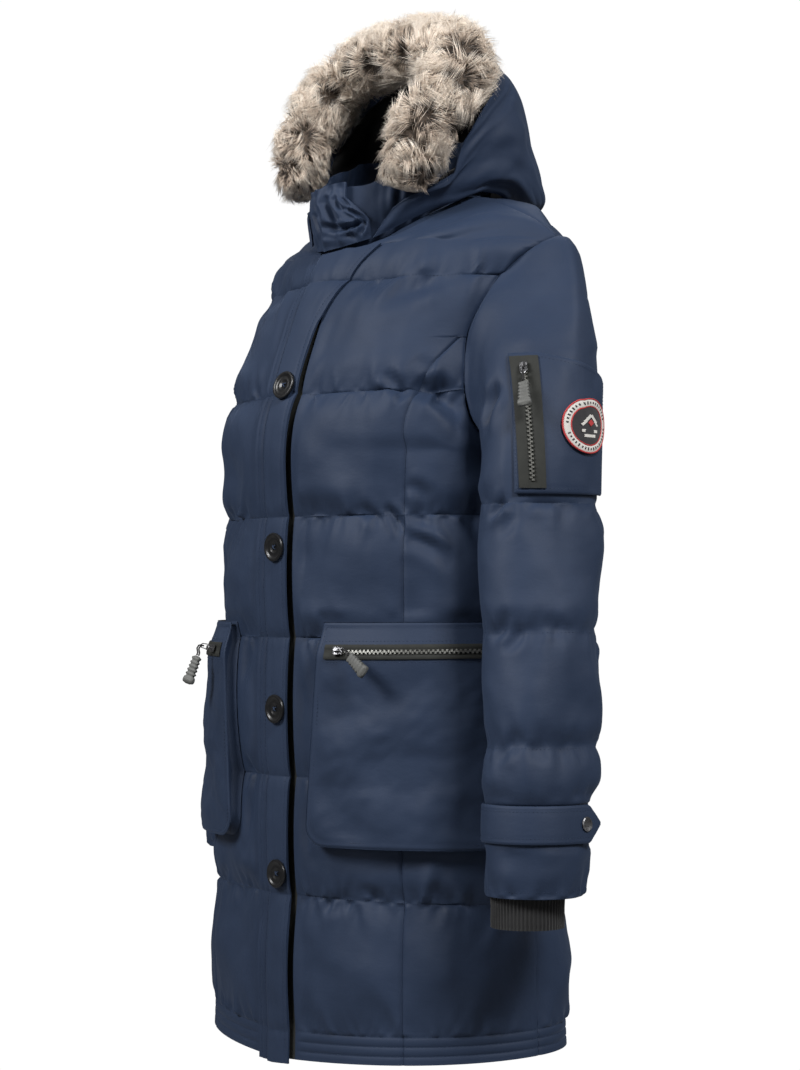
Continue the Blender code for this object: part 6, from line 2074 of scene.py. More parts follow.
@dataclass
class Sleeve:
    """Front and back of one sleeve, its strap and its knitted cuff."""

    side: str
    rings: Sequence[Ring]
    stitches: Stitches
    radius: float = 0.050

    def __post_init__(self) -> None:
        """Works out the form and its small folds."""
        self.form = SleeveForm(self.rings)
        self.turn = 1.0 if self.side == "left" else MIRROR
        seed = 300 if self.side == "left" else 400
        self.slow = Ripples(seed, 0.120, 0.045, 0.0026)
        self.quick = Ripples(seed + 1, 0.045, 0.018, 0.00034)
        self.folds = [(level, way, folds) for i, level in enumerate(self.form.seams()[1:]) for way in (-1, 1)
                      for folds in (Puckers(seed + 10 * i + way + 5, -0.18, 0.18, 0.0058, 0.0032),
                                    Puckers(seed + 10 * i + way + 6, -0.18, 0.18, 0.0180, 0.0056, 1.8))]

    def along(self, level: np.ndarray) -> np.ndarray:
        """Distance down the sleeve at a level."""
        tube = self.rings[0].height - self.rings[-1].height
        return np.minimum(level, 1.0) * CAP_LENGTH * 0.62 + np.maximum(level - 1.0, 0.0) * tube

    def relief(self, level: np.ndarray, turn: np.ndarray) -> np.ndarray:
        """Height of the outer face above the form.

        Args:
            level: Levels, 0 at the armhole and 2 at the hem.
            turn: Turns around, in radians.

        Returns:
            Heights above the form.
        """
        across = turn * self.radius
        down = self.along(level)
        total = self.slow.rise(across, down) + self.quick.rise(across, down)
        for seam, way, folds in self.folds:
            total += folds.rise(across, way * (down - self.along(np.array(seam))))
        for seam in self.form.seams()[1:]:
            uneven = 0.7 + 0.4 * np.sin(across * 43.0 + seam * 9.0)
            total += sag(self.along(np.array(seam)) - down, 0.0019, 0.0105) * uneven
        creases = [crease._replace(from_across=math.radians(crease.from_across) * self.radius,
                                   to_across=math.radians(crease.to_across) * self.radius,
                                   from_up=float(self.along(np.array(crease.from_up))),
                                   to_up=float(self.along(np.array(crease.to_up))))
                   for crease in SLEEVE_CREASES]
        total += crease_rise(creases, across, down)
        height = self.form.points(level, turn)[..., 2] + NECK_LEVEL
        for row, deep, wide in zip(CAP_ROWS, (0.0006, 0.0018), (0.0030, 0.0070)):
            total -= deep * np.exp(-((height - row) / wide) ** 2) * (level < 1.0)
            for way in (-1, 1):
                rows = Puckers(int(row * 1000) + way, -0.18, 0.18, 0.0085, 0.6 * deep)
                total += rows.rise(across, way * (height - row)) * (level < 1.0)
        inner_side = 0.5 - 0.5 * np.cos(turn)
        calm = (1.0 - 0.75 * inner_side ** 2) * ease(down / 0.010) * self.uncovered(level, turn)
        return self.form.puff(level, turn) + total * calm

    def uncovered(self, level: np.ndarray, turn: np.ndarray) -> np.ndarray:
        """1 on bare cloth, fading to 0 under the strap and the sleeve pocket.

        Args:
            level: Levels, 0 at the armhole and 2 at the hem.
            turn: Turns around, in radians.

        Returns:
            Shares from 0 to 1.
        """
        strap = np.abs(level - self.form.level_of(0.5 * (STRAP_LOW + STRAP_HIGH))) * TUBE_LENGTH
        bare = ease((strap - 0.019) / 0.008)
        if self.side == "left":
            height = self.form.points(level, turn)[..., 2] + NECK_LEVEL
            low, high = (math.radians(a) for a in SLEEVE_POCKET_TURNS)
            beyond = np.maximum.reduce(((low - turn) * 0.055, (turn - high) * 0.055,
                                        height - SLEEVE_POCKET_TOP, SLEEVE_POCKET_BOTTOM - height))
            bare = np.minimum(bare, ease((beyond - 0.002) / 0.010))
        return bare

    def build(self) -> None:
        """Both cloth pieces, the strap and the cuff."""
        seams = self.form.seams()
        cap = marks_between(0.0, 1.0, 0.0165, CAP_SEAMS, (0.004, 0.010, 0.020))
        tube = marks_between(1.0, 2.0, 0.0105, seams[4:] + [1.0, 1.985], (0.0025, 0.006, 0.012))
        levels = np.unique(np.concatenate((cap, tube)))
        gap = 0.0032
        spans = (("sleeve_front_", BACK_SLEEVE_SEAM, math.pi), ("sleeve_back_", -math.pi, BACK_SLEEVE_SEAM))
        for name, begin, end in spans:
            turns = marks_between(begin + gap, end - gap, 0.072, (begin + gap, end - gap), (0.016, 0.045))
            facing = turns.copy()
            facing[0], facing[-1] = begin, end
            grid_level = np.broadcast_to(levels[:, None], (len(levels), len(turns)))
            grid_turn = np.broadcast_to(turns[None, :], grid_level.shape)
            grid_facing = np.broadcast_to(facing[None, :], grid_level.shape)
            base = self.form.points(grid_level, grid_turn)
            normals = self.form.normals(grid_level, grid_facing)
            height = self.relief(grid_level, grid_turn)
            edge = np.minimum(np.abs(grid_turn - begin), np.abs(grid_turn - end)) * self.radius
            height = height - 0.0010 * np.exp(-(edge / 0.0016) ** 2)
            below = np.minimum(lowest_near(height, 3), 0.0) - WALL
            rows_in, cols_in = every(len(levels), 3), every(len(turns), 3)
            inner = (base + below[..., None] * normals)[rows_in][:, cols_in]
            outer = base + height[..., None] * normals
            shell = Shell()
            flat_sheet(shell, outer * self.turn, inner * self.turn,
                       levels, turns, levels[rows_in], turns[cols_in])
            thing = shell.build(name + self.side + "_cloth", Slot.NAVY)
            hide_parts(name + self.side)
            wide = 0.235 if "front" in name else 0.120
            for seam in seams[1:-2] + [self.form.level_of(SLEEVE_HEM + 0.006)]:
                i = closest(levels, seam)
                self.stitches.row((outer * self.turn)[i, 1:-1], (normals * self.turn)[i, 1:-1])
        self.strap()
        self.cuff()

    def strap_points(self, level: np.ndarray, turn: np.ndarray, raised: np.ndarray) -> np.ndarray:
        """Points of the strap, whose pointed end runs on nearly straight, off the sleeve.

        Args:
            level: Levels, 0 at the armhole and 2 at the hem.
            turn: Turns around, in radians.
            raised: Heights above the form.

        Returns:
            Points in the part's frame.
        """
        on = self.form.surface(level, np.maximum(turn, STRAP_LEAVES), raised)
        start = np.full(turn.shape, STRAP_LEAVES)
        step = 0.02
        near, far = (self.form.surface(level, start - away, raised) for away in (0.0, step))
        ahead = (far - near) / step
        beyond = np.maximum(STRAP_LEAVES - turn, 0.0)[..., None]
        return on + ahead * beyond - STRAP_BEND * beyond ** 2 * self.form.normals(level, start)

    def strap(self) -> None:
        """Pointed strap round the front, with stitched edges."""
        high, low = self.form.level_of(STRAP_HIGH), self.form.level_of(STRAP_LOW)
        levels = marks_between(high, low, 0.0075, (high, low), (0.0018, 0.0045))
        middle = np.abs((levels - 0.5 * (high + low)) / (0.5 * (low - high)))
        begin = np.radians(-44.0 + 19.0 * middle)
        end = np.radians(128.0)
        marks = marks_between(0.0, 1.0, 0.018, (0.0, 1.0), (0.004, 0.010))
        turns = begin[:, None] + (end - begin)[:, None] * marks[None, :]
        grid = np.broadcast_to(levels[:, None], turns.shape)
        edge = np.minimum(np.abs(grid - high), np.abs(grid - low)) * TUBE_LENGTH
        inset = 0.0042
        groove = 0.0005 * np.exp(-((edge - inset) / 0.0010) ** 2)
        roll = 0.0008 * (1 - ease(edge / 0.0016))
        outer = self.strap_points(grid, turns, 0.0036 - groove - roll)
        inner = self.strap_points(grid, turns, np.full(turns.shape, 0.0009))
        shell = Shell()
        flat_sheet(shell, outer * self.turn, inner * self.turn, levels, marks, levels, marks)
        thing = shell.build("cuff_strap_%s_cloth" % self.side, Slot.NAVY)
        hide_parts("cuff_strap_" + self.side)
        normals = self.form.normals(grid, np.maximum(turns, STRAP_LEAVES)) * self.turn
        for level in (high + inset / TUBE_LENGTH, low - inset / TUBE_LENGTH):
            i = closest(levels, level)
            self.stitches.row((outer * self.turn)[i, 2:-2], normals[i, 2:-2])

    def cuff(self) -> None:
        """Knitted cuff with a rib for every second stitch."""
        ribs = 58
        count = ribs * 6
        turns = np.linspace(0, 2 * math.pi, count, endpoint=False)
        wave = np.cos(turns * ribs)
        shape = np.sign(wave) * np.abs(wave) ** 0.7
        sections = ((0.202, 1.0), (0.194, 0.9), (0.184, 0.25), (0.177, 0.04), (0.172, 0.0), (0.166, 0.0),
                    (0.160, 0.0), (0.154, 0.0), (0.148, 0.0), (0.1445, 0.0), (RIB_BOTTOM, 0.0))
        outer, inner = [], []
        for height, flare in sections:
            base = smooth([-r.height for r in self.rings], [tuple(r)[1:] for r in self.rings],
                          np.array(-max(height, SLEEVE_HEM)))
            wide = np.array((base[2], base[3])) - WALL - 0.0010
            shift = 0.005 * (1.0 - flare)
            pull = 0.0008 * math.sin((height - RIB_BOTTOM) / 0.030 * math.pi) * (flare < 0.1)
            close = 0.0006 if height < 0.1446 else 0.0
            for thickness, rings in ((0.0, outer), (0.0025, inner)):
                rib = 0.00055 * shape * (1.0 - flare) * (1.0 if thickness == 0 else 0.0)
                rise = rib - thickness - pull - close
                radius = RIB_RADIUS + (wide - RIB_RADIUS) * flare
                rings.append(lift(np.stack((base[0] - shift + (radius[0] + rise) * np.cos(turns),
                                            base[1] - shift - (radius[1] + rise) * np.sin(turns),
                                            np.full(count, height)), axis=1)))
        shell = Shell()
        above = shell.add(np.array(outer) * self.turn)
        below = shell.add(np.array(inner) * self.turn)
        shell.grid(above, ring=True)
        shell.grid(below, ring=True)
        shell.grid(np.stack((above[0], below[0])), ring=True)
        shell.grid(np.stack((above[-1], below[-1])), ring=True)
        thing = shell.build("rib_cuff_%s_knit" % self.side, Slot.RIB)
        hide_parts("rib_cuff_" + self.side)


# ---------------------------------------------------------------- pockets

@dataclass
class BodyPocket:
    """Bellows pocket with a zip across its top."""

    side: str
    stitches: Stitches

    def __post_init__(self) -> None:
        """Sets the side and the face's low swells."""
        self.turn = 1.0 if self.side == "left" else MIRROR
        self.middle = np.array((POCKET_MIDDLE_ACROSS, POCKET_MIDDLE_UP))
        self.swell = Ripples(61 if self.side == "left" else 67, 0.100, 0.035, 0.0022)
        self.crinkle = Ripples(71, 0.030, 0.012, 0.00035)

    def outline(self, pitch: float = 0.0040) -> np.ndarray:
        """Edge of the pocket as (across, up), with two rounded lower corners.

        Args:
            pitch: Widest spacing of the points.

        Returns:
            Points in order around the edge.
        """
        side = POCKET_BOTTOM + POCKET_CORNER
        far = POCKET_FAR_LOW - POCKET_CORNER
        near = POCKET_NEAR_LOW + POCKET_CORNER
        arc = np.radians(np.arange(0, 91, 9))
        wide, low = POCKET_CORNER * np.cos(arc), POCKET_CORNER * np.sin(arc)
        corner_far = np.stack((far + wide, side - low), axis=1)
        corner_near = np.stack((near - wide, side - low), axis=1)[::-1]
        legs = [((POCKET_NEAR_TOP, POCKET_TOP), (POCKET_FAR_TOP, POCKET_TOP)),
                ((POCKET_FAR_TOP, POCKET_TOP), (POCKET_FAR_LOW, side)), corner_far,
                ((far, POCKET_BOTTOM), (near, POCKET_BOTTOM)), corner_near,
                ((POCKET_NEAR_LOW, side), (POCKET_NEAR_TOP, POCKET_TOP))]
        line = []
        for leg in legs:
            leg = np.array(leg)
            if len(leg) == 2:
                count = max(int(np.linalg.norm(leg[1] - leg[0]) / pitch), 2)
                leg = leg[0] + (leg[1] - leg[0]) * np.linspace(0, 1, count + 1)[:, None]
            line.append(leg[:-1])
        return np.concatenate(line)

    def rise(self, up: np.ndarray) -> np.ndarray:
        """How far the face stands off the body, least along its top."""
        return PUFF + POCKET_LIP + (POCKET_DEPTH - POCKET_LIP) * ease((POCKET_TOP - up) / 0.035)

    def inward(self, line: np.ndarray, inset: float) -> np.ndarray:
        """Edge moved in toward the pocket's middle.

        Args:
            line: Points of the edge.
            inset: How far in.

        Returns:
            The moved points.
        """
        away = line - self.middle
        reach = np.linalg.norm(away, axis=1, keepdims=True)
        return line - inset * away / reach * 1.3

    def spot(self, across: np.ndarray, up: np.ndarray, raised: np.ndarray) -> np.ndarray:
        """Points over the front, off the form.

        Args:
            across: Distances across.
            up: Distances up.
            raised: Heights above the form.

        Returns:
            Points in the part's frame.
        """
        share = np.minimum(across / FORM.length(True, up), 1.0)
        raised = np.broadcast_to(raised, share.shape)
        return FORM.points(True, up, share) + raised[..., None] * FORM.normals(True, up, share)

    def face(self, across: np.ndarray, up: np.ndarray, raised: np.ndarray) -> np.ndarray:
        """Points over the pocket's plain face."""
        across, up = np.broadcast_arrays(np.asarray(across, float), np.asarray(up, float))
        return self.spot(across, up, self.rise(up) + raised)

    def build(self) -> None:
        """Pocket, zip tape, teeth and stitching."""
        line = self.outline()
        middle = self.middle
        over_body = front_puff(line[:, 1], line[:, 0] / FORM.length(True, line[:, 1])) + 0.0010
        top = self.rise(line[:, 1])
        rings = []
        for part, inset in ((0.0, 0.0), (0.16, 0.0020), (0.38, 0.0046), (0.60, 0.0050), (0.78, 0.0024),
                            (0.88, 0.0004), (0.95, 0.0)):
            moved_in = self.inward(line, inset)
            rings.append(self.spot(moved_in[:, 0], moved_in[:, 1], over_body + (top - over_body) * part))
        shares = np.concatenate(([1.0, 0.994, 0.984, 0.970, 0.955], np.arange(0.93, 0.05, -0.035)))
        for share in shares:
            spots = middle + (line - middle) * share
            depth = (1.0 - share) * np.linalg.norm(line - middle, axis=1)
            raised = -0.0012 * np.exp(-(depth / 0.0014) ** 2)
            raised = raised - 0.0006 * np.exp(-((depth - POCKET_STITCH) / 0.0012) ** 2)
            swell = self.swell.rise(spots[:, 0], spots[:, 1]) + self.crinkle.rise(spots[:, 0], spots[:, 1])
            calm = ease(depth / 0.020) * ease((POCKET_ZIP_HEIGHT - 0.010 - spots[:, 1]) / 0.030)
            raised = raised + np.maximum(swell * calm, -0.0020)
            rings.append(self.face(spots[:, 0], spots[:, 1], raised))
        crown = max(float(self.swell.rise(middle[:1], middle[1:])[0]), -0.0020)
        peak = self.face(middle[0], middle[1], np.array(crown))
        inner = []
        for part, inset in ((0.0, 0.0024), (0.45, 0.0075), (0.90, 0.0028)):
            moved_in = self.inward(line, inset)
            inner.append(self.spot(moved_in[:, 0], moved_in[:, 1], over_body + (top - over_body) * part))
        for share in (0.93, 0.70, 0.40, 0.15):
            spots = middle + (line - middle) * share
            inner.append(self.face(spots[:, 0], spots[:, 1], np.full(len(spots), -0.0042)))
        floor = self.face(middle[0], middle[1], np.array(-0.0042))
        shell = Shell()
        above = shell.add(np.array(rings) * self.turn)
        below = shell.add(np.array(inner) * self.turn)
        tip = shell.add(np.array([peak]) * self.turn)
        low = shell.add(np.array([floor]) * self.turn)
        shell.grid(above, ring=True)
        shell.grid(below, ring=True)
        shell.grid(np.stack((above[0], below[0])), ring=True)
        shell.fan(above[-1], int(tip[0]))
        shell.fan(below[-1], int(low[0]))
        thing = shell.build("pocket_%s_cloth" % self.side, Slot.NAVY)
        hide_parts("pocket_" + self.side)
        self.sew(line)
        self.zip()

    def sew(self, line: np.ndarray) -> None:
        """Stitches inside the edge and around the zip.

        Args:
            line: Points of the edge.
        """
        reach = np.linalg.norm(line - self.middle, axis=1, keepdims=True)
        inside = self.middle + (line - self.middle) * (1.0 - POCKET_STITCH / reach)
        closed = np.vstack((inside, inside[:1]))
        shares = np.minimum(closed[:, 0] / FORM.length(True, closed[:, 1]), 1.0)
        out = FORM.normals(True, closed[:, 1], shares)
        self.stitches.row(self.face(closed[:, 0], closed[:, 1], -0.0005) * self.turn, out * self.turn)
        for up in (POCKET_ZIP_HEIGHT - 0.0100, POCKET_ZIP_HEIGHT + 0.0100):
            across = np.linspace(0.080, 0.236, 60)
            ups = np.full(60, up)
            out = FORM.normals(True, ups, across / FORM.length(True, ups))
            self.stitches.row(self.face(across, ups, 0.0) * self.turn, out * self.turn)

    def zip(self) -> None:
        """Tape with its teeth, closed from the slider to the side."""
        def place(mark: np.ndarray, across: np.ndarray, raised: np.ndarray) -> np.ndarray:
            """Points of the zip.

            Args:
                mark: Distances from the pocket's middle.
                across: Distances across.
                raised: Heights above the pocket's face.

            Returns:
                Points in the part's frame.
            """
            mark, across, raised = np.broadcast_arrays(mark, across, raised)
            return self.face(POCKET_MIDDLE_ACROSS + mark, POCKET_ZIP_HEIGHT - across, raised) * self.turn

        zip_piece("pocket_zip_" + self.side, place, 0.152, POCKET_ZIP_WIDTH, -0.058, 0.073)


def zip_piece(name: str, place: Callable, length: float, width: float, first: float, last: float) -> None:
    """Zip tape with its closed teeth.

    Args:
        name: Node that it stands for.
        place: Points from a mark along it, a distance across and a height.
        length: Length of the tape.
        width: Width of the tape.
        first: Mark of the first closed tooth.
        last: Mark of the last tooth.
    """
    marks = np.linspace(-0.5 * length, 0.5 * length, 61)
    half = 0.5 * width
    across = np.array((-half, -half + 0.0008, -0.0034, -0.0030, 0.0, 0.0030, 0.0034, half - 0.0008, half))
    raised = np.array((0.0013, 0.0016, 0.0016, 0.0013, 0.0012, 0.0013, 0.0016, 0.0016, 0.0013))
    outer = place(marks[:, None], across[None, :], raised[None, :])
    inner = place(marks[:, None], across[None, :], np.full((1, 1), 0.0009))
    shell = Shell()
    flat_sheet(shell, outer, inner, marks, across, marks, across)
    tape = shell.build(name + "_tape", Slot.TAPE)
    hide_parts(name)
    teeth_row(name + "_teeth", place, first, last, 0.0037, 0.0014, deep=0.0014, wide=0.0018)


@dataclass(frozen=True)
class Grip:
    """Ribbed rubber grip at the end of a zip pull's cord."""

    pull: str
    body: str
    wide: float = 0.0066
    thick: float = 0.0030

    def build(self) -> None:
        """Grip along the plain solid's own axes, with five notches down each side."""
        solid, cord = (np.array([thing.matrix_world @ corner.co for corner in thing.data.vertices])
                       for thing in (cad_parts[self.pull + part] for part in ("_grip", "_cord")))
        middle = solid.mean(axis=0)
        _, _, axes = np.linalg.svd(solid - middle, full_matrices=False)
        run = axes[0] * np.sign(np.dot(axes[0], middle - cord.mean(axis=0)))
        side, out = axes[1], axes[2]
        reach = (solid - middle) @ run
        marks = np.concatenate(([0.0, 0.02, 0.06], np.linspace(0.10, 0.78, 35),
                                [0.80, 0.83, 0.86, 0.90, 0.96, 0.99, 1.0]))
        wave = 0.5 - 0.5 * np.cos((marks - 0.10) / 0.68 * 10 * math.pi)
        notch = np.where((marks > 0.09) & (marks < 0.79), wave, 0.0)
        ends = np.sqrt(np.clip(np.minimum(marks, 1.0 - marks) / 0.05, 0.16, 1.0))
        half = self.wide * (0.74 + 0.26 * marks) * (1.0 - 0.30 * notch) * ends
        bar = 0.86 + 0.24 * ease((marks - 0.79) / 0.03) * ease((0.96 - marks) / 0.03)
        deep = self.thick * bar * (1.0 - 0.10 * notch) * ends
        around = np.linspace(0, 2 * math.pi, 20, endpoint=False)
        across = np.sign(np.cos(around)) * np.abs(np.cos(around)) ** 0.45
        height = np.sign(np.sin(around)) * np.abs(np.sin(around)) ** 0.55
        at = middle + np.outer(reach.min() + marks * (reach.max() - reach.min() + 0.0045), run)
        rings = (at[:, None] + (half[:, None] * across)[..., None] * side
                 + (deep[:, None] * height)[..., None] * out)
        shell = Shell()
        numbers = shell.add(rings)
        tips = shell.add(at[[0, -1]])
        shell.grid(numbers, ring=True)
        shell.fan(numbers[0], int(tips[0]))
        shell.fan(numbers[-1], int(tips[1]))
        thing = shell.build(self.pull + "_ribbed_grip", Slot.RUBBER, body=self.body)
        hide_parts(self.pull + "_grip")


@dataclass
class SleevePocket:
    """Flat pocket on the left upper sleeve, with an upright zip and a badge."""

    sleeve: Sleeve
    stitches: Stitches
    radius: float = 0.056
    badge_radius: float = 0.0535
    stands: float = 0.0045

    def build(self) -> None:
        """Pocket, zip and badge."""
        form = self.sleeve.form
        tall = SLEEVE_POCKET_TOP - SLEEVE_POCKET_BOTTOM
        heights = marks_between(0.0, tall, 0.0036, (0.0, tall))
        low, high = (math.radians(a) for a in SLEEVE_POCKET_TURNS)
        turns = marks_between(low, high, 0.060, (low, high), (0.015, 0.040))
        fall = SLEEVE_POCKET_FALL * np.clip((0.60 - turns) / 0.88, 0.0, 1.5)
        up = SLEEVE_POCKET_BOTTOM + heights[:, None] * (1.0 - fall / tall)[None, :]
        around = np.broadcast_to(turns[None, :], up.shape)
        edge = np.minimum(np.minimum(heights, tall - heights)[:, None],
                          np.minimum(around - low, high - around) * self.radius)
        swell = Ripples(81, 0.080, 0.030, 0.0016).rise(around * self.radius, up)
        calm = ease(edge / 0.014) * ease((math.radians(24.0) - around) / 0.2)
        badge = np.hypot((around - math.radians(BADGE_TURN)) * self.badge_radius, up - BADGE_HEIGHT)
        calm = calm * ease((badge - 0.026) / 0.012)
        groove = 0.0005 * np.exp(-((edge - 0.0050) / 0.0010) ** 2)
        roll = 0.0012 * (1.0 - ease(edge / 0.0016))
        outer = form.place(up, around, self.stands - groove - roll + np.clip(swell * calm, -0.0012, 0.0016))
        inner = form.place(up, around, np.full(up.shape, 0.0022))
        shell = Shell()
        rows, cols = every(len(heights), 2), every(len(turns), 2)
        flat_sheet(shell, outer, inner[rows][:, cols], heights, turns, heights[rows], turns[cols])
        thing = shell.build("sleeve_pocket_cloth", Slot.NAVY)
        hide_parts("sleeve_pocket")
        normals = form.facing(up, around)
        for height in (0.005, tall - 0.005):
            i = closest(heights, height)
            self.stitches.row(outer[i, 2:-2], normals[i, 2:-2])
        for turn in (low + 0.09, high - 0.04):
            j = closest(turns, turn)
            self.stitches.row(outer[2:-2, j], normals[2:-2, j])
        self.zip()
        self.badge()

    def zip(self) -> None:
        """Upright tape and teeth."""
        middle = 0.5 * (SLEEVE_POCKET_TOP + SLEEVE_POCKET_BOTTOM)

        def place(mark: np.ndarray, across: np.ndarray, raised: np.ndarray) -> np.ndarray:
            """Points of the zip.

            Args:
                mark: Distances down from the pocket's middle.
                across: Distances across.
                raised: Heights above the pocket's face.

            Returns:
                Points in the part's frame.
            """
            mark, across, raised = np.broadcast_arrays(mark, across, raised)
            turn = SLEEVE_ZIP_TURN - SLEEVE_ZIP_LEAN * mark - across / self.radius
            return self.sleeve.form.place(middle - mark, turn, self.stands + raised)

        zip_piece("sleeve_zip", place, 0.120, 0.0235, -0.046, 0.057)

    def spot(self, across: np.ndarray, up: np.ndarray, raised: np.ndarray) -> np.ndarray:
        """Points over the badge from its middle."""
        across, up, raised = np.broadcast_arrays(across, up, raised)
        turn = math.radians(BADGE_TURN) - across / self.badge_radius
        return self.sleeve.form.place(BADGE_HEIGHT + up, turn, raised)

    def ring(self, name: str, finish: str, inside: float, outside: float, low: float,
             high: float) -> bpy.types.Object:
        """Flat ring of the badge between two radii.

        Args:
            name: The piece's name.
            finish: Its finish.
            inside: Inner radius.
            outside: Outer radius.
            low: Height of its foot.
            high: Height of its top.

        Returns:
            The object.
        """
        around = np.linspace(0, 2 * math.pi, 72, endpoint=False)
        middle = 0.5 * (inside + outside)
        half = 0.5 * (low + high)
        section = ((outside, low), (outside, half), (outside - 0.0004, high), (middle, high + 0.0001),
                   (inside + 0.0004, high), (inside, half), (inside, low))
        rings = [self.spot(r * np.cos(around), r * np.sin(around), np.full(72, h)) for r, h in section]
        shell = Shell()
        numbers = shell.add(np.array(rings + [rings[0]]))
        shell.grid(numbers, ring=True)
        thing = shell.build(name, Slot.BADGE, merge=1e-6)
        return repaint(thing, finish)

    def block(self, shell: Shell, x: float, y: float, wide: float, tall: float, turn: float, low: float,
              high: float) -> None:
        """Small raised bar on the badge.

        Args:
            shell: Mesh that takes the points.
            x: Distance across of its middle.
            y: Distance up of its middle.
            wide: Width.
            tall: Length.
            turn: Turn on the badge, in radians.
            low: Height of its foot.
            high: Height of its top.
        """
        c, s = math.cos(turn), math.sin(turn)
        u, v = (np.array(((-0.5, -0.5), (0.5, -0.5), (0.5, 0.5), (-0.5, 0.5))) * np.array((wide, tall))).T
        across, up = x + u * c - v * s, y + u * s + v * c
        foot = shell.add(self.spot(across, up, np.full(4, low)))
        top = shell.add(self.spot(across, up, np.full(4, high)))
        shell.grid(np.stack((foot, top)), ring=True)
        shell.faces.append(foot[None, :])
        shell.faces.append(top[None, :])

    def badge(self) -> None:
        """Round badge with plain rings, dashes and bars of no meaning."""
        around = np.linspace(0, 2 * math.pi, 72, endpoint=False)
        shell = Shell()
        rings = [self.spot(r * np.cos(around), r * np.sin(around), np.full(72, h))
                 for r, h in ((0.012, 0.0061), (0.0245, 0.0061), (0.0253, 0.0064), (0.0253, 0.0068),
                              (0.0245, 0.0071), (0.017, 0.0071), (0.008, 0.0071))]
        numbers = shell.add(np.array(rings))
        foot = shell.add(self.spot(np.zeros(1), np.zeros(1), np.full(1, 0.0061)))
        tip = shell.add(self.spot(np.zeros(1), np.zeros(1), np.full(1, 0.0071)))
        shell.grid(numbers, ring=True)
        shell.fan(numbers[0], int(foot[0]))
        shell.fan(numbers[-1], int(tip[0]))
        disc = shell.build("sleeve_badge_disc", Slot.BADGE)
        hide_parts("sleeve_badge")
        self.ring("badge_rim", "red", 0.0241, 0.0255, 0.0067, 0.0077)
        self.ring("badge_band", "cream", 0.0184, 0.0241, 0.0068, 0.0074)
        self.ring("badge_inner_rim", "red", 0.0172, 0.0184, 0.0067, 0.0076)
        dashes = Shell()
        rng = np.random.default_rng(5)
        for k in range(40):
            if k in (0, 1, 20, 21):
                continue
            turn = 2 * math.pi * (k + 0.5) / 40
            tall = 0.0016 + 0.0012 * rng.random()
            self.block(dashes, 0.0212 * math.cos(turn), 0.0212 * math.sin(turn), tall, 0.0013, turn,
                       0.0072, 0.0078)
        dashes.build("badge_dashes", Slot.BADGE, sharp=30.0)
        bars = Shell()
        for k, (wide, y) in enumerate(((0.018, -0.0048), (0.013, -0.0092))):
            self.block(bars, 0.0, y, wide, 0.0026, 0.0, 0.0069, 0.0077)
        for side in (-1, 1):
            self.block(bars, side * 0.0038, 0.0062, 0.0098, 0.0026, side * -0.75, 0.0069, 0.0077)
            self.block(bars, side * 0.0070, 0.0022, 0.0060, 0.0020, side * -0.75, 0.0069, 0.0076)
        repaint(bars.build("badge_bars", Slot.BADGE, sharp=30.0), "cream")
        dot = Shell()
        self.block(dot, 0.0, 0.0025, 0.0044, 0.0044, math.pi / 4, 0.0069, 0.0080)
        repaint(dot.build("badge_diamond", Slot.BADGE, sharp=30.0), "red")


# ---------------------------------------------------------------- neck

def neckline(count: int) -> np.ndarray:
    """Left half of the neckline, from the front centre to the back centre.

    Args:
        count: Number of points.

    Returns:
        Evenly spaced points.
    """
    front = FORM.points(True, np.linspace(FRONT_NECK_ROW, SHOULDER_ROW, 60), np.zeros(60))
    back = FORM.points(False, np.linspace(SHOULDER_ROW, BACK_NECK_ROW, 40), np.zeros(40))[1:]
    line = np.vstack((front, back))
    line[0, 0] = line[-1, 0] = 0.0
    return spread(line, count)


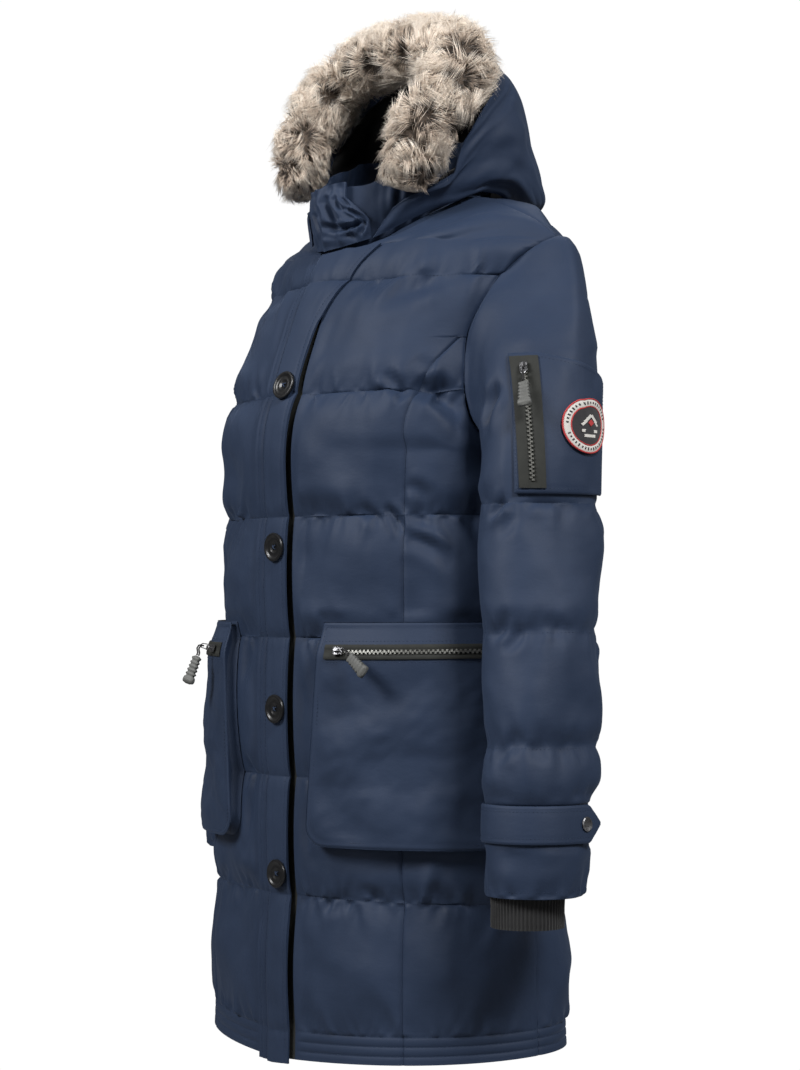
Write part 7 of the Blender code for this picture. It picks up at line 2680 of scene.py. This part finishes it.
# Troughs on the collar: metres around from the front, metres up
COLLAR_CREASES = (
    Crease(0.5212, 0.0510, 0.5140, 0.0165, 0.0036, 0.0062, 0.001),
    Crease(0.5050, 0.0240, 0.5250, 0.0160, 0.0034, 0.0056, -0.002),
    Crease(0.5180, 0.0160, 0.5400, 0.0185, 0.0026, 0.0058, -0.001),
    Crease(0.5330, 0.0350, 0.5412, 0.0215, 0.0022, 0.0044, 0.001),
    Crease(0.5410, 0.0230, 0.5360, 0.0060, 0.0022, 0.0044, 0.001),
    Crease(0.5342, 0.0480, 0.5270, 0.0340, 0.0028, 0.0036, 0.001),
    Crease(0.5400, 0.0450, 0.5350, 0.0340, 0.0024, 0.0034, 0.001),
    Crease(0.5250, 0.0095, 0.5330, 0.0020, 0.0024, 0.0026, 0.001),
    Crease(0.4960, 0.0380, 0.4990, 0.0120, 0.0036, 0.0030, 0.001),
    Crease(0.5000, 0.0105, 0.5260, 0.0035, 0.0034, -0.0020, -0.001),
    Crease(0.4760, 0.0540, 0.4820, 0.0180, 0.0050, 0.0036, 0.003),
    Crease(0.4600, 0.0500, 0.4560, 0.0140, 0.0050, 0.0034, 0.003),
    Crease(0.4350, 0.0480, 0.4420, 0.0200, 0.0050, 0.0030, -0.003),
    Crease(0.4080, 0.0440, 0.4040, 0.0120, 0.0055, 0.0030, 0.003),
    Crease(0.3780, 0.0400, 0.3830, 0.0140, 0.0050, 0.0026, 0.002),
    Crease(0.3450, 0.0420, 0.3400, 0.0160, 0.0055, 0.0028, 0.002),
    Crease(0.3050, 0.0400, 0.3110, 0.0120, 0.0055, 0.0026, -0.002),
    Crease(0.2650, 0.0400, 0.2600, 0.0140, 0.0055, 0.0028, 0.002),
    Crease(0.2250, 0.0400, 0.2300, 0.0120, 0.0055, 0.0026, 0.002),
    Crease(0.1880, 0.0420, 0.1840, 0.0140, 0.0050, 0.0028, -0.002),
    Crease(0.1500, 0.0460, 0.1560, 0.0160, 0.0050, 0.0030, 0.002),
    Crease(0.1200, 0.0520, 0.1150, 0.0180, 0.0050, 0.0032, 0.003),
    Crease(0.0920, 0.0540, 0.0980, 0.0160, 0.0050, 0.0030, -0.003),
    Crease(0.0700, 0.0560, 0.0660, 0.0200, 0.0045, 0.0026, 0.002),
)


@dataclass
class Collar:
    """Gathered stand collar, its right end lying over its left."""

    girth: float = 0.50
    tall: float = 0.060
    overlap: float = 0.93
    end: float = 1.088
    covered: float = 0.14

    def relief(self, around: np.ndarray, level: np.ndarray) -> np.ndarray:
        """Height of the collar's small folds.

        Args:
            around: Turns around the neck, 0 at the front.
            level: Levels up the collar, from 0 to 1.

        Returns:
            Heights above the form.
        """
        across, up = around * self.girth, level * self.tall
        under = np.clip((self.covered - around) / 0.05, 0.0, 1.0)
        small = Ripples(91, 0.030, 0.010, 0.0013, 30).rise(across * 1.6, up * 0.7)
        folds = crease_rise(COLLAR_CREASES, across, up)
        quiet = ease(level / 0.10) * ease((1.0 - level) / 0.06) * (1.0 - 0.9 * under)
        quiet = quiet * ease((self.end - around) / 0.006)
        return (np.clip(small + folds, -0.0060, 0.0030)
                - 0.0007 * np.exp(-((level - 0.91) / 0.02) ** 2)) * quiet

    def points(self, around: np.ndarray, level: np.ndarray, raised: np.ndarray) -> np.ndarray:
        """Points of the collar at turns around the neck and levels up it.

        Args:
            around: Turns around the neck, 0 at the front.
            level: Levels up the collar, from 0 to 1.
            raised: Heights above the form.

        Returns:
            Points in the part's frame.
        """
        shorter = np.clip((level - 0.30) / 0.45, 0.0, 1.0) ** 1.3
        past = np.maximum(0.0, (around - self.overlap) / (self.end - self.overlap))
        around = around - 0.036 * shorter * past
        turn = around % 1.0
        half = np.where(turn <= 0.5, turn, 1.0 - turn)
        base = on_line(neckline(121), half * 2.0)
        base[..., 0] *= np.where(turn <= 0.5, 1.0, -1.0)
        outward = base - np.array((0.0, 0.015, 0.0))
        outward[..., 2] = 0.0
        outward = unit(outward)
        wave = 2.0 * math.pi * around
        backward = 0.5 - 0.5 * np.cos(wave)
        over = np.clip((around - self.overlap) / 0.05, 0.0, 1.0)
        under = np.clip((self.covered - around) / 0.05, 0.0, 1.0)
        rise = 0.0008 + 0.0035 * over + level * (self.tall - 0.014 * backward)
        lean = level * (0.007 * (1.0 - backward) - 0.010 * backward)
        slow = np.sin(17.0 * wave + 1.3 * np.sin(3.0 * wave) + 1.5 * level)
        fast = np.sin(26.0 * wave + 0.9 * np.sin(5.0 * wave) - 2.6 * level + 1.0)
        ripple = 0.0018 * (0.62 * slow + 0.38 * fast) * (1.0 - 0.8 * under) * (1.0 - 0.6 * over)
        out = lean + 0.0035 * np.sin(math.pi * level) + ripple + 0.0072 * over + raised
        point = base + out[..., None] * outward
        point[..., 2] += rise + 0.0020 * level * np.sin(9.0 * wave)
        return point

    def build(self) -> None:
        """Collar as one closed shell."""
        around = np.concatenate((np.linspace(-0.018, 0.96, 380)[:-1], np.linspace(0.96, self.end, 110)))
        levels = np.concatenate(([0.0, 0.03, 0.07], np.linspace(0.11, 0.89, 34), [0.93, 0.97, 1.0]))
        grid_level = np.broadcast_to(levels[:, None], (len(levels), len(around)))
        grid_around = np.broadcast_to(around[None, :], grid_level.shape)
        height = self.relief(grid_around, grid_level)
        below = np.minimum(lowest_near(height, 2), 0.0) - 0.0024
        outer = self.points(grid_around, grid_level, height)
        outer[0] -= (outer[1] - outer[0]) * 0.1
        inner = self.points(grid_around, grid_level, below)
        rows, cols = every(len(levels), 2), every(len(around), 2)
        shell = Shell()
        flat_sheet(shell, outer, inner[rows][:, cols], levels, around, levels[rows], around[cols])
        thing = shell.build("collar_cloth", Slot.NAVY)
        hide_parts("collar")


# ---------------------------------------------------------------- hood

HEAD_CENTRE = lift((0.0, 0.030, 0.885))


def fur_centreline(count: int) -> np.ndarray:
    """Middle of the fur trim, from its left tail over the top to its right.

    Args:
        count: Number of points.

    Returns:
        Evenly spaced points.
    """
    half = lift(np.array(FUR_LINE))
    whole = np.vstack((half, half[-2:0:-1] * MIRROR, lift(np.array([FUR_RIGHT_END]))))
    return spline(whole, count)


def line_frames(line: np.ndarray) -> tuple:
    """Directions along a line, away from the head, and square to both.

    Args:
        line: Points in order.

    Returns:
        The three directions at each point.
    """
    along = unit(np.gradient(line, axis=0))
    away = line - HEAD_CENTRE
    away = unit(away - along * np.sum(away * along, axis=1)[:, None])
    across = np.cross(along, away)
    return along, away, across * np.where(across[:, 1:2] < 0, -1.0, 1.0)


class HoodForm:
    """Surface of the hood's left half."""

    def __init__(self) -> None:
        """Works out the neck seam and the front edge."""
        line = neckline(80)
        outward = line - np.array((0.0, 0.015, 0.0))
        outward[:, 2] = 0.0
        line = line + 0.0125 * unit(outward) + np.array((0.0, 0.0, 0.0022))
        self.base = spread(line[15:], 41)
        centre = fur_centreline(61)
        _, _, back = line_frames(centre)
        edge = centre[:31] + back[:31] * HOOD_SET_BACK
        edge[-1, 0] = 0.0
        bend = self.base[0] + np.array((0.022, 0.012, 0.030))
        self.edge = spline(np.vstack((self.base[0], bend, edge[2:])), 61)

    def grid(self, shares: np.ndarray, ups: np.ndarray) -> np.ndarray:
        """Grid of points: shares run front to back, ups run to the centre seam.

        Args:
            shares: Shares from front to back.
            ups: Shares from the neck to the centre seam.

        Returns:
            Grid of points.
        """
        ribs = [on_line(self.edge, ups)]
        t = ups[:, None]
        for arch in HOOD[1:]:
            start = on_line(self.base, np.array(arch.share))
            low, high, crown = lift(arch.low_bend), lift(arch.high_bend), lift(arch.crown)
            ribs.append((1 - t) ** 3 * start + 3 * (1 - t) ** 2 * t * low
                        + 3 * (1 - t) * t ** 2 * high + t ** 3 * crown)
        knots = [arch.share for arch in HOOD]
        points = smooth(knots, np.array(ribs), shares)
        starts = np.array([self.base[int(round(knot * 40))] for knot in knots])
        seam = on_line(self.base, shares) - smooth(knots, starts, shares)
        return points + ((1.0 - ups) ** 3)[None, :, None] * seam[:, None, :]

    def normals(self, shares: np.ndarray, ups: np.ndarray) -> np.ndarray:
        """Outward directions over the same grid.

        Args:
            shares: Shares from front to back.
            ups: Shares from the neck to the centre seam.

        Returns:
            Grid of directions.
        """
        step = 0.015
        s = np.minimum(shares, 1.0 - step)
        u = np.minimum(ups, 1.0 - step)
        back = self.grid(s + step, u) - self.grid(np.maximum(s - step, 0.0), u)
        up = self.grid(s, u + step) - self.grid(s, np.maximum(u - step, 0.0))
        normal = unit(np.cross(back, up))
        fade = np.minimum(ease((1.0 - ups) / 0.03)[None, :], ease((1.0 - shares) / 0.03)[:, None])
        normal[..., 0] *= fade
        return unit(normal)


@dataclass
class Hood:
    """Two padded hood halves and the lining that shows in the face opening."""

    stitches: Stitches
    form: HoodForm = field(default_factory=HoodForm)
    deep: float = 0.250
    tall: float = 0.260
    lowest: float = 0.0026

    def relief(self, side: int, shares: np.ndarray, ups: np.ndarray) -> np.ndarray:
        """Height of the outer face above the form.

        Args:
            side: 1 for the left half, 2 for the right.
            shares: Shares from front to back.
            ups: Shares from the neck to the centre seam.

        Returns:
            Heights above the form.
        """
        down = shares * self.deep
        up = ups * self.tall
        slow = Ripples(120 + side, 0.140, 0.060, 0.0026).rise(down, up)
        quick = Ripples(130 + side, 0.050, 0.020, 0.0005).rise(down, up)
        creases = [c._replace(from_across=c.from_across * self.deep, to_across=c.to_across * self.deep,
                              from_up=c.from_up * self.tall, to_up=c.to_up * self.tall) for c in HOOD_CREASES]
        total = slow + quick + crease_rise(creases, down, up)
        seam = np.minimum((1.0 - ups) * self.tall, (1.0 - shares) * self.deep)
        calm = ease(seam / 0.016) * ease(up / 0.010) * ease(down / 0.012)
        roll = 0.0034 * np.sin(np.clip(up / 0.022, 0, 1) * math.pi) * ease((shares - 0.12) / 0.2)
        dip = 0.0011 * np.exp(-(seam / 0.0017) ** 2) + 0.0005 * np.exp(-((seam - 0.0065) / 0.0012) ** 2)
        pull = 0.0
        for way in (-1, 1):
            folds = Puckers(140 + way + side, -0.3, 0.3, 0.013, 0.0009, 1.4)
            pull = pull + folds.rise(down + up, seam - 0.007)
        above = total * calm + roll - dip - 0.0010 * ease(seam / 0.030) + pull * calm + self.lowest
        return 0.5 * (above + np.sqrt(above ** 2 + 2e-7)) - self.lowest

    def build(self) -> None:
        """Both halves and the lining."""
        shares = marks_between(0.0, 1.0, 0.0145, (0.0, 1.0), (0.003, 0.008, 0.018, 0.026))
        ups = marks_between(0.0, 1.0, 0.0140, (0.0, 1.0), (0.003, 0.008, 0.018, 0.026))
        base = self.form.grid(shares, ups)
        normals = self.form.normals(shares, ups)
        grid_share, grid_up = np.meshgrid(shares, ups, indexing="ij")
        rows, cols = every(len(shares), 3), every(len(ups), 3)
        for name, side in (("left", 1), ("right", 2)):
            turn = 1.0 if name == "left" else MIRROR
            height = self.relief(side, grid_share, grid_up)
            outer = base + height[..., None] * normals
            inner = base - (WALL - np.minimum(lowest_near(height, 3), 0.0))[..., None] * normals
            for points in (outer, inner):
                points[-1, :, 0] = 0.5 * SEAM_GAP
                points[:, -1, 0] = 0.5 * SEAM_GAP
                points[..., 0] = np.maximum(points[..., 0], 0.5 * SEAM_GAP)
            shell = Shell()
            flat_sheet(shell, outer * turn, inner[rows][:, cols] * turn, shares, ups, shares[rows], ups[cols])
            thing = shell.build("hood_%s_cloth" % name, Slot.NAVY)
            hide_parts("hood_" + name)
            j = closest(ups, 0.974)
            self.stitches.row((outer * turn)[2:-1, j], (normals * turn)[2:-1, j])
        self.lining()

    def lining(self) -> None:
        """Soft dark lining inside the face opening."""
        shares = np.linspace(0.11, 1.0, 46)
        ups = np.linspace(0.06, 1.0, 46)
        base = self.form.grid(shares, ups)
        normals = self.form.normals(shares, ups)
        grid_share, grid_up = np.meshgrid(shares, ups, indexing="ij")
        swell = np.abs(Ripples(150, 0.090, 0.030, 0.0030).rise(grid_share * self.deep, grid_up * self.tall))
        swell = swell * ease((1.0 - grid_share) / 0.1) * ease((1.0 - grid_up) / 0.1)
        shell = Shell()
        for turn in (1.0, MIRROR):
            outer = base - (WALL + 0.0032) * normals
            inner = base - (WALL + 0.0046 + swell)[..., None] * normals
            for points in (outer, inner):
                points[-1, :, 0] = 0.0
                points[:, -1, 0] = 0.0
                points[..., 0] = np.maximum(points[..., 0], 0.0)
            above, below = shell.add(outer * turn), shell.add(inner * turn)
            shell.grid(above)
            shell.grid(below)
            shell.rim(above[0], below[0])
            shell.rim(above[:, 0], below[:, 0])
        thing = shell.build("hood_lining_cloth", Slot.LINING, merge=2e-5)
        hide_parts("hood_lining")


# ---------------------------------------------------------------- fur

# Partings of the fur, from which it lies away, with painted shade on the strands near them: share along the
# roll, turn
WHORLS = (
    (0.561, 3.56), (0.281, 1.75), (0.232, 1.29), (0.092, 1.78), (0.136, 1.71), (0.896, 3.56), (0.625, 3.04),
    (0.445, 3.40), (0.360, 3.70), (0.180, 3.30), (0.060, 3.90), (0.700, 2.20), (0.780, 3.60), (0.840, 2.10),
    (0.950, 2.40), (0.030, 0.90), (0.500, 1.30), (0.410, 0.60), (0.600, 0.70), (0.760, 0.90), (0.900, 0.80),
    (0.160, 0.20), (0.330, 0.10), (0.520, 5.90), (0.690, 5.80), (0.860, 5.70),
)


@dataclass
class FurTrim:
    """Long straight fur over a dark core, lying away from its partings."""

    strands: int = 38400
    clumps: int = 2600
    seed: int = 17
    core: float = 0.60
    per_piece: int = 9600

    def __post_init__(self) -> None:
        """Works out the roll's centreline and directions."""
        self.line = fur_centreline(400)
        self.along, self.away, self.back = line_frames(self.line)
        self.length = line_lengths(self.line)
        end = np.minimum(self.length, self.length[-1] - self.length) / 0.030
        taper = np.sqrt(np.maximum(1.0 - (1.0 - np.minimum(end, 1.0)) ** 2, 0.0)) * 0.80 + 0.20
        self.size = taper * (0.80 + 0.20 * np.minimum(end / 3.0, 1.0))

    def surface(self, mark: np.ndarray, turn: np.ndarray, scale: np.ndarray) -> tuple:
        """Points around the roll at a scale of its section, and their directions.

        Args:
            mark: Shares along the roll.
            turn: Turns around, in radians.
            scale: Part of the full section.

        Returns:
            Points and outward directions.
        """
        place = on_line(self.line, mark)
        away, back = on_line(self.away, mark), on_line(self.back, mark)
        size = on_line(self.size[:, None], mark)[..., 0] * scale
        c, s = np.cos(turn)[..., None], np.sin(turn)[..., None]
        point = place + size[..., None] * (FUR_SECTION_FRONT * c * back + FUR_SECTION_OUT * s * away)
        out = unit(back * c / FUR_SECTION_FRONT + away * s / FUR_SECTION_OUT)
        ends = on_line(self.along, mark) * np.clip((np.abs(mark - 0.5) - 0.455) / 0.045, 0, 1)[..., None]
        return point, unit(out + 1.1 * ends * np.sign(mark - 0.5)[..., None])

    def build(self) -> None:
        """Core and hair."""
        marks = np.linspace(0.0, 1.0, 90)
        turns = np.linspace(0, 2 * math.pi, 36, endpoint=False)
        grid_mark, grid_turn = np.meshgrid(marks, turns, indexing="ij")
        points, _ = self.surface(grid_mark, grid_turn, np.full(grid_mark.shape, self.core))
        shell = Shell()
        numbers = shell.add(points)
        ends = shell.add(np.array([points[0].mean(axis=0), points[-1].mean(axis=0)]))
        shell.grid(numbers, ring=True)
        shell.fan(numbers[0], int(ends[0]))
        shell.fan(numbers[-1], int(ends[1]))
        core = shell.build("fur_backing", Slot.FUR)
        repaint(core, "fur_core")
        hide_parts("fur_trim")
        self.hair()

    def lie(self, mark: np.ndarray, turn: np.ndarray) -> tuple:
        """Which way hair lies on the roll, and how close it is to a parting.

        Args:
            mark: Share along the roll of each root.
            turn: Turn around it of each root.

        Returns:
            Roots, outward directions, lying directions and closeness from 0 to 1.
        """
        root, out = self.surface(mark, turn, np.full(mark.shape, self.core))
        partings = np.array(WHORLS)
        middle, _ = self.surface(partings[:, 0], partings[:, 1], np.full(len(partings), self.core))
        owner = nearest(root, middle)
        aside = root - middle[owner]
        gap = np.linalg.norm(aside, axis=1)
        flow = unit(aside) * (0.35 + 0.9 * np.exp(-(gap / 0.030) ** 2))[:, None]
        flow = flow + on_line(self.away, mark) * 0.55 + np.array((0.0, 0.0, -0.22))
        flow = flow + on_line(self.along, mark) * (0.30 * np.sin(mark * 31.0 + turn))[:, None]
        flow = flow - out * np.sum(flow * out, axis=1)[:, None]
        return root, out, unit(flow), np.exp(-(gap / 0.011) ** 2)

    def hair(self) -> None:
        """Tapering strands that gather in fine clumps."""
        rng = np.random.default_rng(self.seed)
        clump_mark = rng.uniform(0.0, 1.0, self.clumps)
        clump_turn = rng.uniform(0.0, 2 * math.pi, self.clumps)
        mark = rng.uniform(0.0, 1.0, self.strands)
        turn = rng.uniform(0.0, 2 * math.pi, self.strands)
        root, out, flow, close = self.lie(mark, turn)
        clump_root, clump_out, clump_flow, clump_close = self.lie(clump_mark, clump_turn)
        owner = nearest(root, clump_root)
        lean = rng.normal(0.0, 0.22, (self.clumps, 3))
        clump_size = on_line(self.size[:, None], clump_mark)[:, 0]
        clump_long = rng.uniform(0.026, 0.042, self.clumps) * (0.45 + 0.55 * clump_size)
        clump_long = clump_long * (1.0 - 0.35 * clump_close)
        lift_out = rng.uniform(0.20, 0.46, self.clumps)[:, None]
        clump_tip = clump_root + clump_long[:, None] * (lift_out * clump_out + 0.86 * unit(clump_flow + lean))
        long = clump_long[owner] * rng.uniform(0.65, 1.08, self.strands)
        stray = rng.normal(0.0, 0.16, (self.strands, 3))
        tip = root + long[:, None] * (lift_out[owner] * out + 0.86 * unit(flow + lean[owner] + stray))
        tip = tip + (clump_tip[owner] - tip) * rng.uniform(0.15, 0.75, self.strands)[:, None]
        limit = rng.uniform(0.90, 1.10, self.strands) + 0.06 * (rng.random(self.strands) > 0.93)
        tip = self.held(tip, mark, limit)
        root = root - out * 0.0014
        bend = root + out * long[:, None] * 0.34 + (tip - root) * 0.30
        patch = 0.5 + 0.5 * np.sin(mark * 47.0 + 2.0 * np.sin(turn * 2.0 + mark * 19.0))
        # Strands near a parting get a darker tone: painted shade of the parting. The patch and clump draws
        # are tone that differs at random.
        tone = 0.62 * (1.0 - close) * (0.55 + 0.45 * patch) + 0.38 * rng.random(self.clumps)[owner]
        tones_with_parting_shade = np.stack((tone, rng.random(self.strands)), axis=1)
        wide = 0.00029 * rng.uniform(0.7, 1.3, self.strands)
        for piece, start in enumerate(range(0, self.strands, self.per_piece)):
            part = slice(start, start + self.per_piece)
            self.strand_mesh("fur_hair_%d" % (piece + 1), root[part], bend[part], tip[part], wide[part],
                             tones_with_parting_shade[part])

    def held(self, tip: np.ndarray, mark: np.ndarray, limit: np.ndarray) -> np.ndarray:
        """Tips drawn in to a limit of the roll's own section.

        Args:
            tip: Points to hold.
            mark: Shares along the roll.
            limit: Part of the full section not to pass.

        Returns:
            The points held.
        """
        place = on_line(self.line, mark)
        away, back, along = (on_line(line, mark) for line in (self.away, self.back, self.along))
        size = on_line(self.size[:, None], mark)[:, 0]
        offset = tip - place
        up = np.sum(offset * away, axis=1)
        rear = np.sum(offset * back, axis=1)
        radius = np.hypot(up / FUR_SECTION_OUT, rear / FUR_SECTION_FRONT) / size
        part = np.minimum(1.0, limit / np.maximum(radius, 1e-6))
        reach = mark * self.length[-1]
        ahead = np.clip(np.sum(offset * along, axis=1), -reach - 0.002, self.length[-1] - reach + 0.002)
        return place + along * ahead[:, None] + (away * up[:, None] + back * rear[:, None]) * part[:, None]

    def strand_mesh(self, name: str, root: np.ndarray, bend: np.ndarray, tip: np.ndarray, wide: np.ndarray,
                    tone: np.ndarray) -> None:
        """One mesh of three-sided strands, with their colours as an attribute.

        Args:
            name: The piece's name.
            root: Roots.
            bend: Points that bend the strands.
            tip: Tips.
            wide: Radii.
            tone: Two tones for each strand, the first darkened near partings as painted shade.
        """
        shares = (0.0, 0.48)
        widths = (0.80, 1.0)
        run = unit(tip - root)
        side = unit(np.cross(run, np.array((0.31, 0.17, 0.93))))
        flat = np.cross(run, side)
        rings = []
        for share, width in zip(shares, widths):
            middle = (1 - share) ** 2 * root + 2 * share * (1 - share) * bend + share ** 2 * tip
            for k in range(3):
                turn = 2 * math.pi * k / 3
                spoke = side * math.cos(turn) + flat * math.sin(turn)
                rings.append(middle + (wide * width)[:, None] * spoke)
        rings.append(tip)
        shell = Shell()
        numbers = shell.add(np.stack(rings, axis=1))
        for k in range(3):
            n = (k + 1) % 3
            shell.faces.append(numbers[:, [k, n, 3 + n, 3 + k]])
            shell.faces.append(numbers[:, [3 + k, 3 + n, 6]])
        shell.faces.append(numbers[:, [2, 1, 0]])
        thing = shell.build(name, Slot.FUR, sharp=180.0, merge=0.0)
        reach = np.repeat(shares + (1.0,), (3, 3, 1))
        colours = np.ones((len(root), 7, 4))
        colours[:, :, 0] = reach[None, :]
        colours[:, :, 1] = tone[:, :1]
        colours[:, :, 2] = tone[:, 1:]
        layer = thing.data.attributes.new("hair", "FLOAT_COLOR", "POINT")
        layer.data.foreach_set("color", colours.ravel())


def nearest(points: np.ndarray, others: np.ndarray) -> np.ndarray:
    """Number of the closest of some other points to each point.

    Args:
        points: Points to match.
        others: Points to choose from.

    Returns:
        Numbers of the chosen ones.
    """
    found = np.empty(len(points), dtype=int)
    for start in range(0, len(points), 2000):
        part = points[start:start + 2000]
        gaps = ((part[:, None, :] - others[None, :, :]) ** 2).sum(axis=2)
        found[start:start + 2000] = gaps.argmin(axis=1)
    return found


# ---------------------------------------------------------------- studio

@dataclass(frozen=True)
class Light:
    """Square soft light that looks at a spot."""

    name: str
    azimuth: float
    height: float
    distance: float
    size: float
    power: float
    target: tuple = (0.0, 0.0, -0.35)

    def build(self) -> None:
        """Adds the light."""
        lamp = bpy.data.lights.new(self.name, "AREA")
        lamp.shape = "SQUARE"
        lamp.size = self.size
        lamp.energy = self.power
        thing = bpy.data.objects.new(self.name, lamp)
        bpy.context.scene.collection.objects.link(thing)
        turn = math.radians(self.azimuth)
        place = Vector((math.sin(turn) * self.distance, -math.cos(turn) * self.distance, self.height))
        thing.location = place
        thing.rotation_euler = (Vector(self.target) - place).to_track_quat("-Z", "Y").to_euler()


@dataclass
class Studio:
    """Pale floor, soft light and the camera."""

    azimuth: float = 52.0
    distance: float = 2.75
    eye: float = -0.364
    picture_height: float = 1070.0
    focal_pixels: float = 2750.0
    shift_pixels: tuple = (10.0, 65.0)
    sensor: float = 36.0
    backdrop: float = 1.02
    ambient: float = 0.10
    floor_grey: float = 0.25
    floor_height: float = -1.30

    def build(self) -> None:
        """Floor, lights, world and camera."""
        scene = bpy.context.scene
        scene.view_settings.view_transform = "Standard"
        world = bpy.data.worlds.new("studio")
        scene.world = world
        world.use_nodes = True
        tree = world.node_tree
        ground = tree.nodes["Background"]
        ground.inputs[0].default_value = (1.0, 1.0, 1.0, 1.0)
        ground.inputs[1].default_value = self.ambient
        seen = tree.nodes.new("ShaderNodeBackground")
        seen.inputs[0].default_value = (1.0, 1.0, 1.0, 1.0)
        seen.inputs[1].default_value = self.backdrop
        path = tree.nodes.new("ShaderNodeLightPath")
        both = tree.nodes.new("ShaderNodeMixShader")
        tree.links.new(path.outputs["Is Camera Ray"], both.inputs[0])
        tree.links.new(ground.outputs[0], both.inputs[1])
        tree.links.new(seen.outputs[0], both.inputs[2])
        tree.links.new(both.outputs[0], tree.nodes["World Output"].inputs[0])
        self.floor()
        Light("key", self.azimuth + 27.0, 2.0, 2.9, 0.9, 102.0).build()
        Light("side", self.azimuth - 60.0, 1.6, 2.9, 1.2, 100.0).build()
        Light("fill", self.azimuth + 84.0, 0.8, 2.6, 1.0, 12.0).build()
        Light("top", self.azimuth + 180.0, 2.4, 1.6, 1.6, 18.0).build()
        self.camera()

    def floor(self) -> None:
        """Plain pale floor, as far below the hem as worn."""
        graph = Graph("floor_look")
        material = graph.finish({"Base Color": (self.floor_grey,) * 3, "Roughness": 0.85})
        bright = graph.node("ShaderNodeEmission", {}, {"Color": (1.0, 1.0, 1.0), "Strength": self.backdrop})
        seen = graph.node("ShaderNodeLightPath", output="Is Camera Ray")
        lit = Value(graph, graph.shader.outputs[0])
        both = graph.node("ShaderNodeMixShader", {}, {0: seen, 1: lit, 2: bright})
        graph.tree.links.new(both.socket, graph.tree.nodes["Material Output"].inputs[0])
        bpy.ops.mesh.primitive_plane_add(size=60.0, location=(0.0, 0.0, self.floor_height))
        plane = bpy.context.object
        plane.name = "floor"
        plane.data.materials.append(material)

    def camera(self) -> None:
        """Camera level with the pockets, at the same turn as the pose shown."""
        lens = bpy.data.cameras.new("camera")
        thing = bpy.data.objects.new("camera", lens)
        bpy.context.scene.collection.objects.link(thing)
        lens.sensor_fit = "VERTICAL"
        lens.sensor_height = self.sensor
        lens.lens = self.focal_pixels / self.picture_height * self.sensor
        lens.shift_x, lens.shift_y = (pixels / self.picture_height for pixels in self.shift_pixels)
        turn = math.radians(self.azimuth)
        back = Vector((math.sin(turn), -math.cos(turn), 0.0))
        right = Vector((math.cos(turn), math.sin(turn), 0.0))
        matrix = Matrix((right, Vector((0, 0, 1)), back)).transposed().to_4x4()
        matrix.translation = back * self.distance + Vector((0.0, 0.0, self.eye))
        thing.matrix_world = matrix
        bpy.context.scene.camera = thing


def main() -> None:
    """Dresses the parka and sets the view."""
    logging.basicConfig(level=logging.INFO, format="%(message)s")
    for name in ("Cube", "Light", "Camera"):
        if name in bpy.data.objects:
            bpy.data.objects.remove(bpy.data.objects[name])
    prepare_finishes()
    stitches = Stitches("quilting_stitches")
    Torso(stitches).build()
    Closure(stitches).build()
    sleeves = {}
    for side, rings in (("left", LEFT_SLEEVE), ("right", RIGHT_SLEEVE)):
        sleeves[side] = Sleeve(side, rings, stitches)
        sleeves[side].build()
        BodyPocket(side, stitches).build()
    SleevePocket(sleeves["left"], stitches).build()
    Collar().build()
    Hood(stitches).build()
    stitches.build(Slot.NAVY)
    FurTrim().build()
    for pull, body in (("pocket_pull_left", "pull_left"), ("pocket_pull_right", "pull_right"),
                       ("sleeve_pull", "pull_sleeve")):
        Grip(pull, body).build()
    hard_pieces()
    Studio().build()


def hard_pieces() -> None:
    """Finishes of the solids that show as they are."""
    for name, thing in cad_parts.items():
        if thing.hide_render:
            continue
        repaint(thing, Slot.CORD if name.endswith("_cord") else Slot.METAL)


if __name__ == "__main__":
    main()
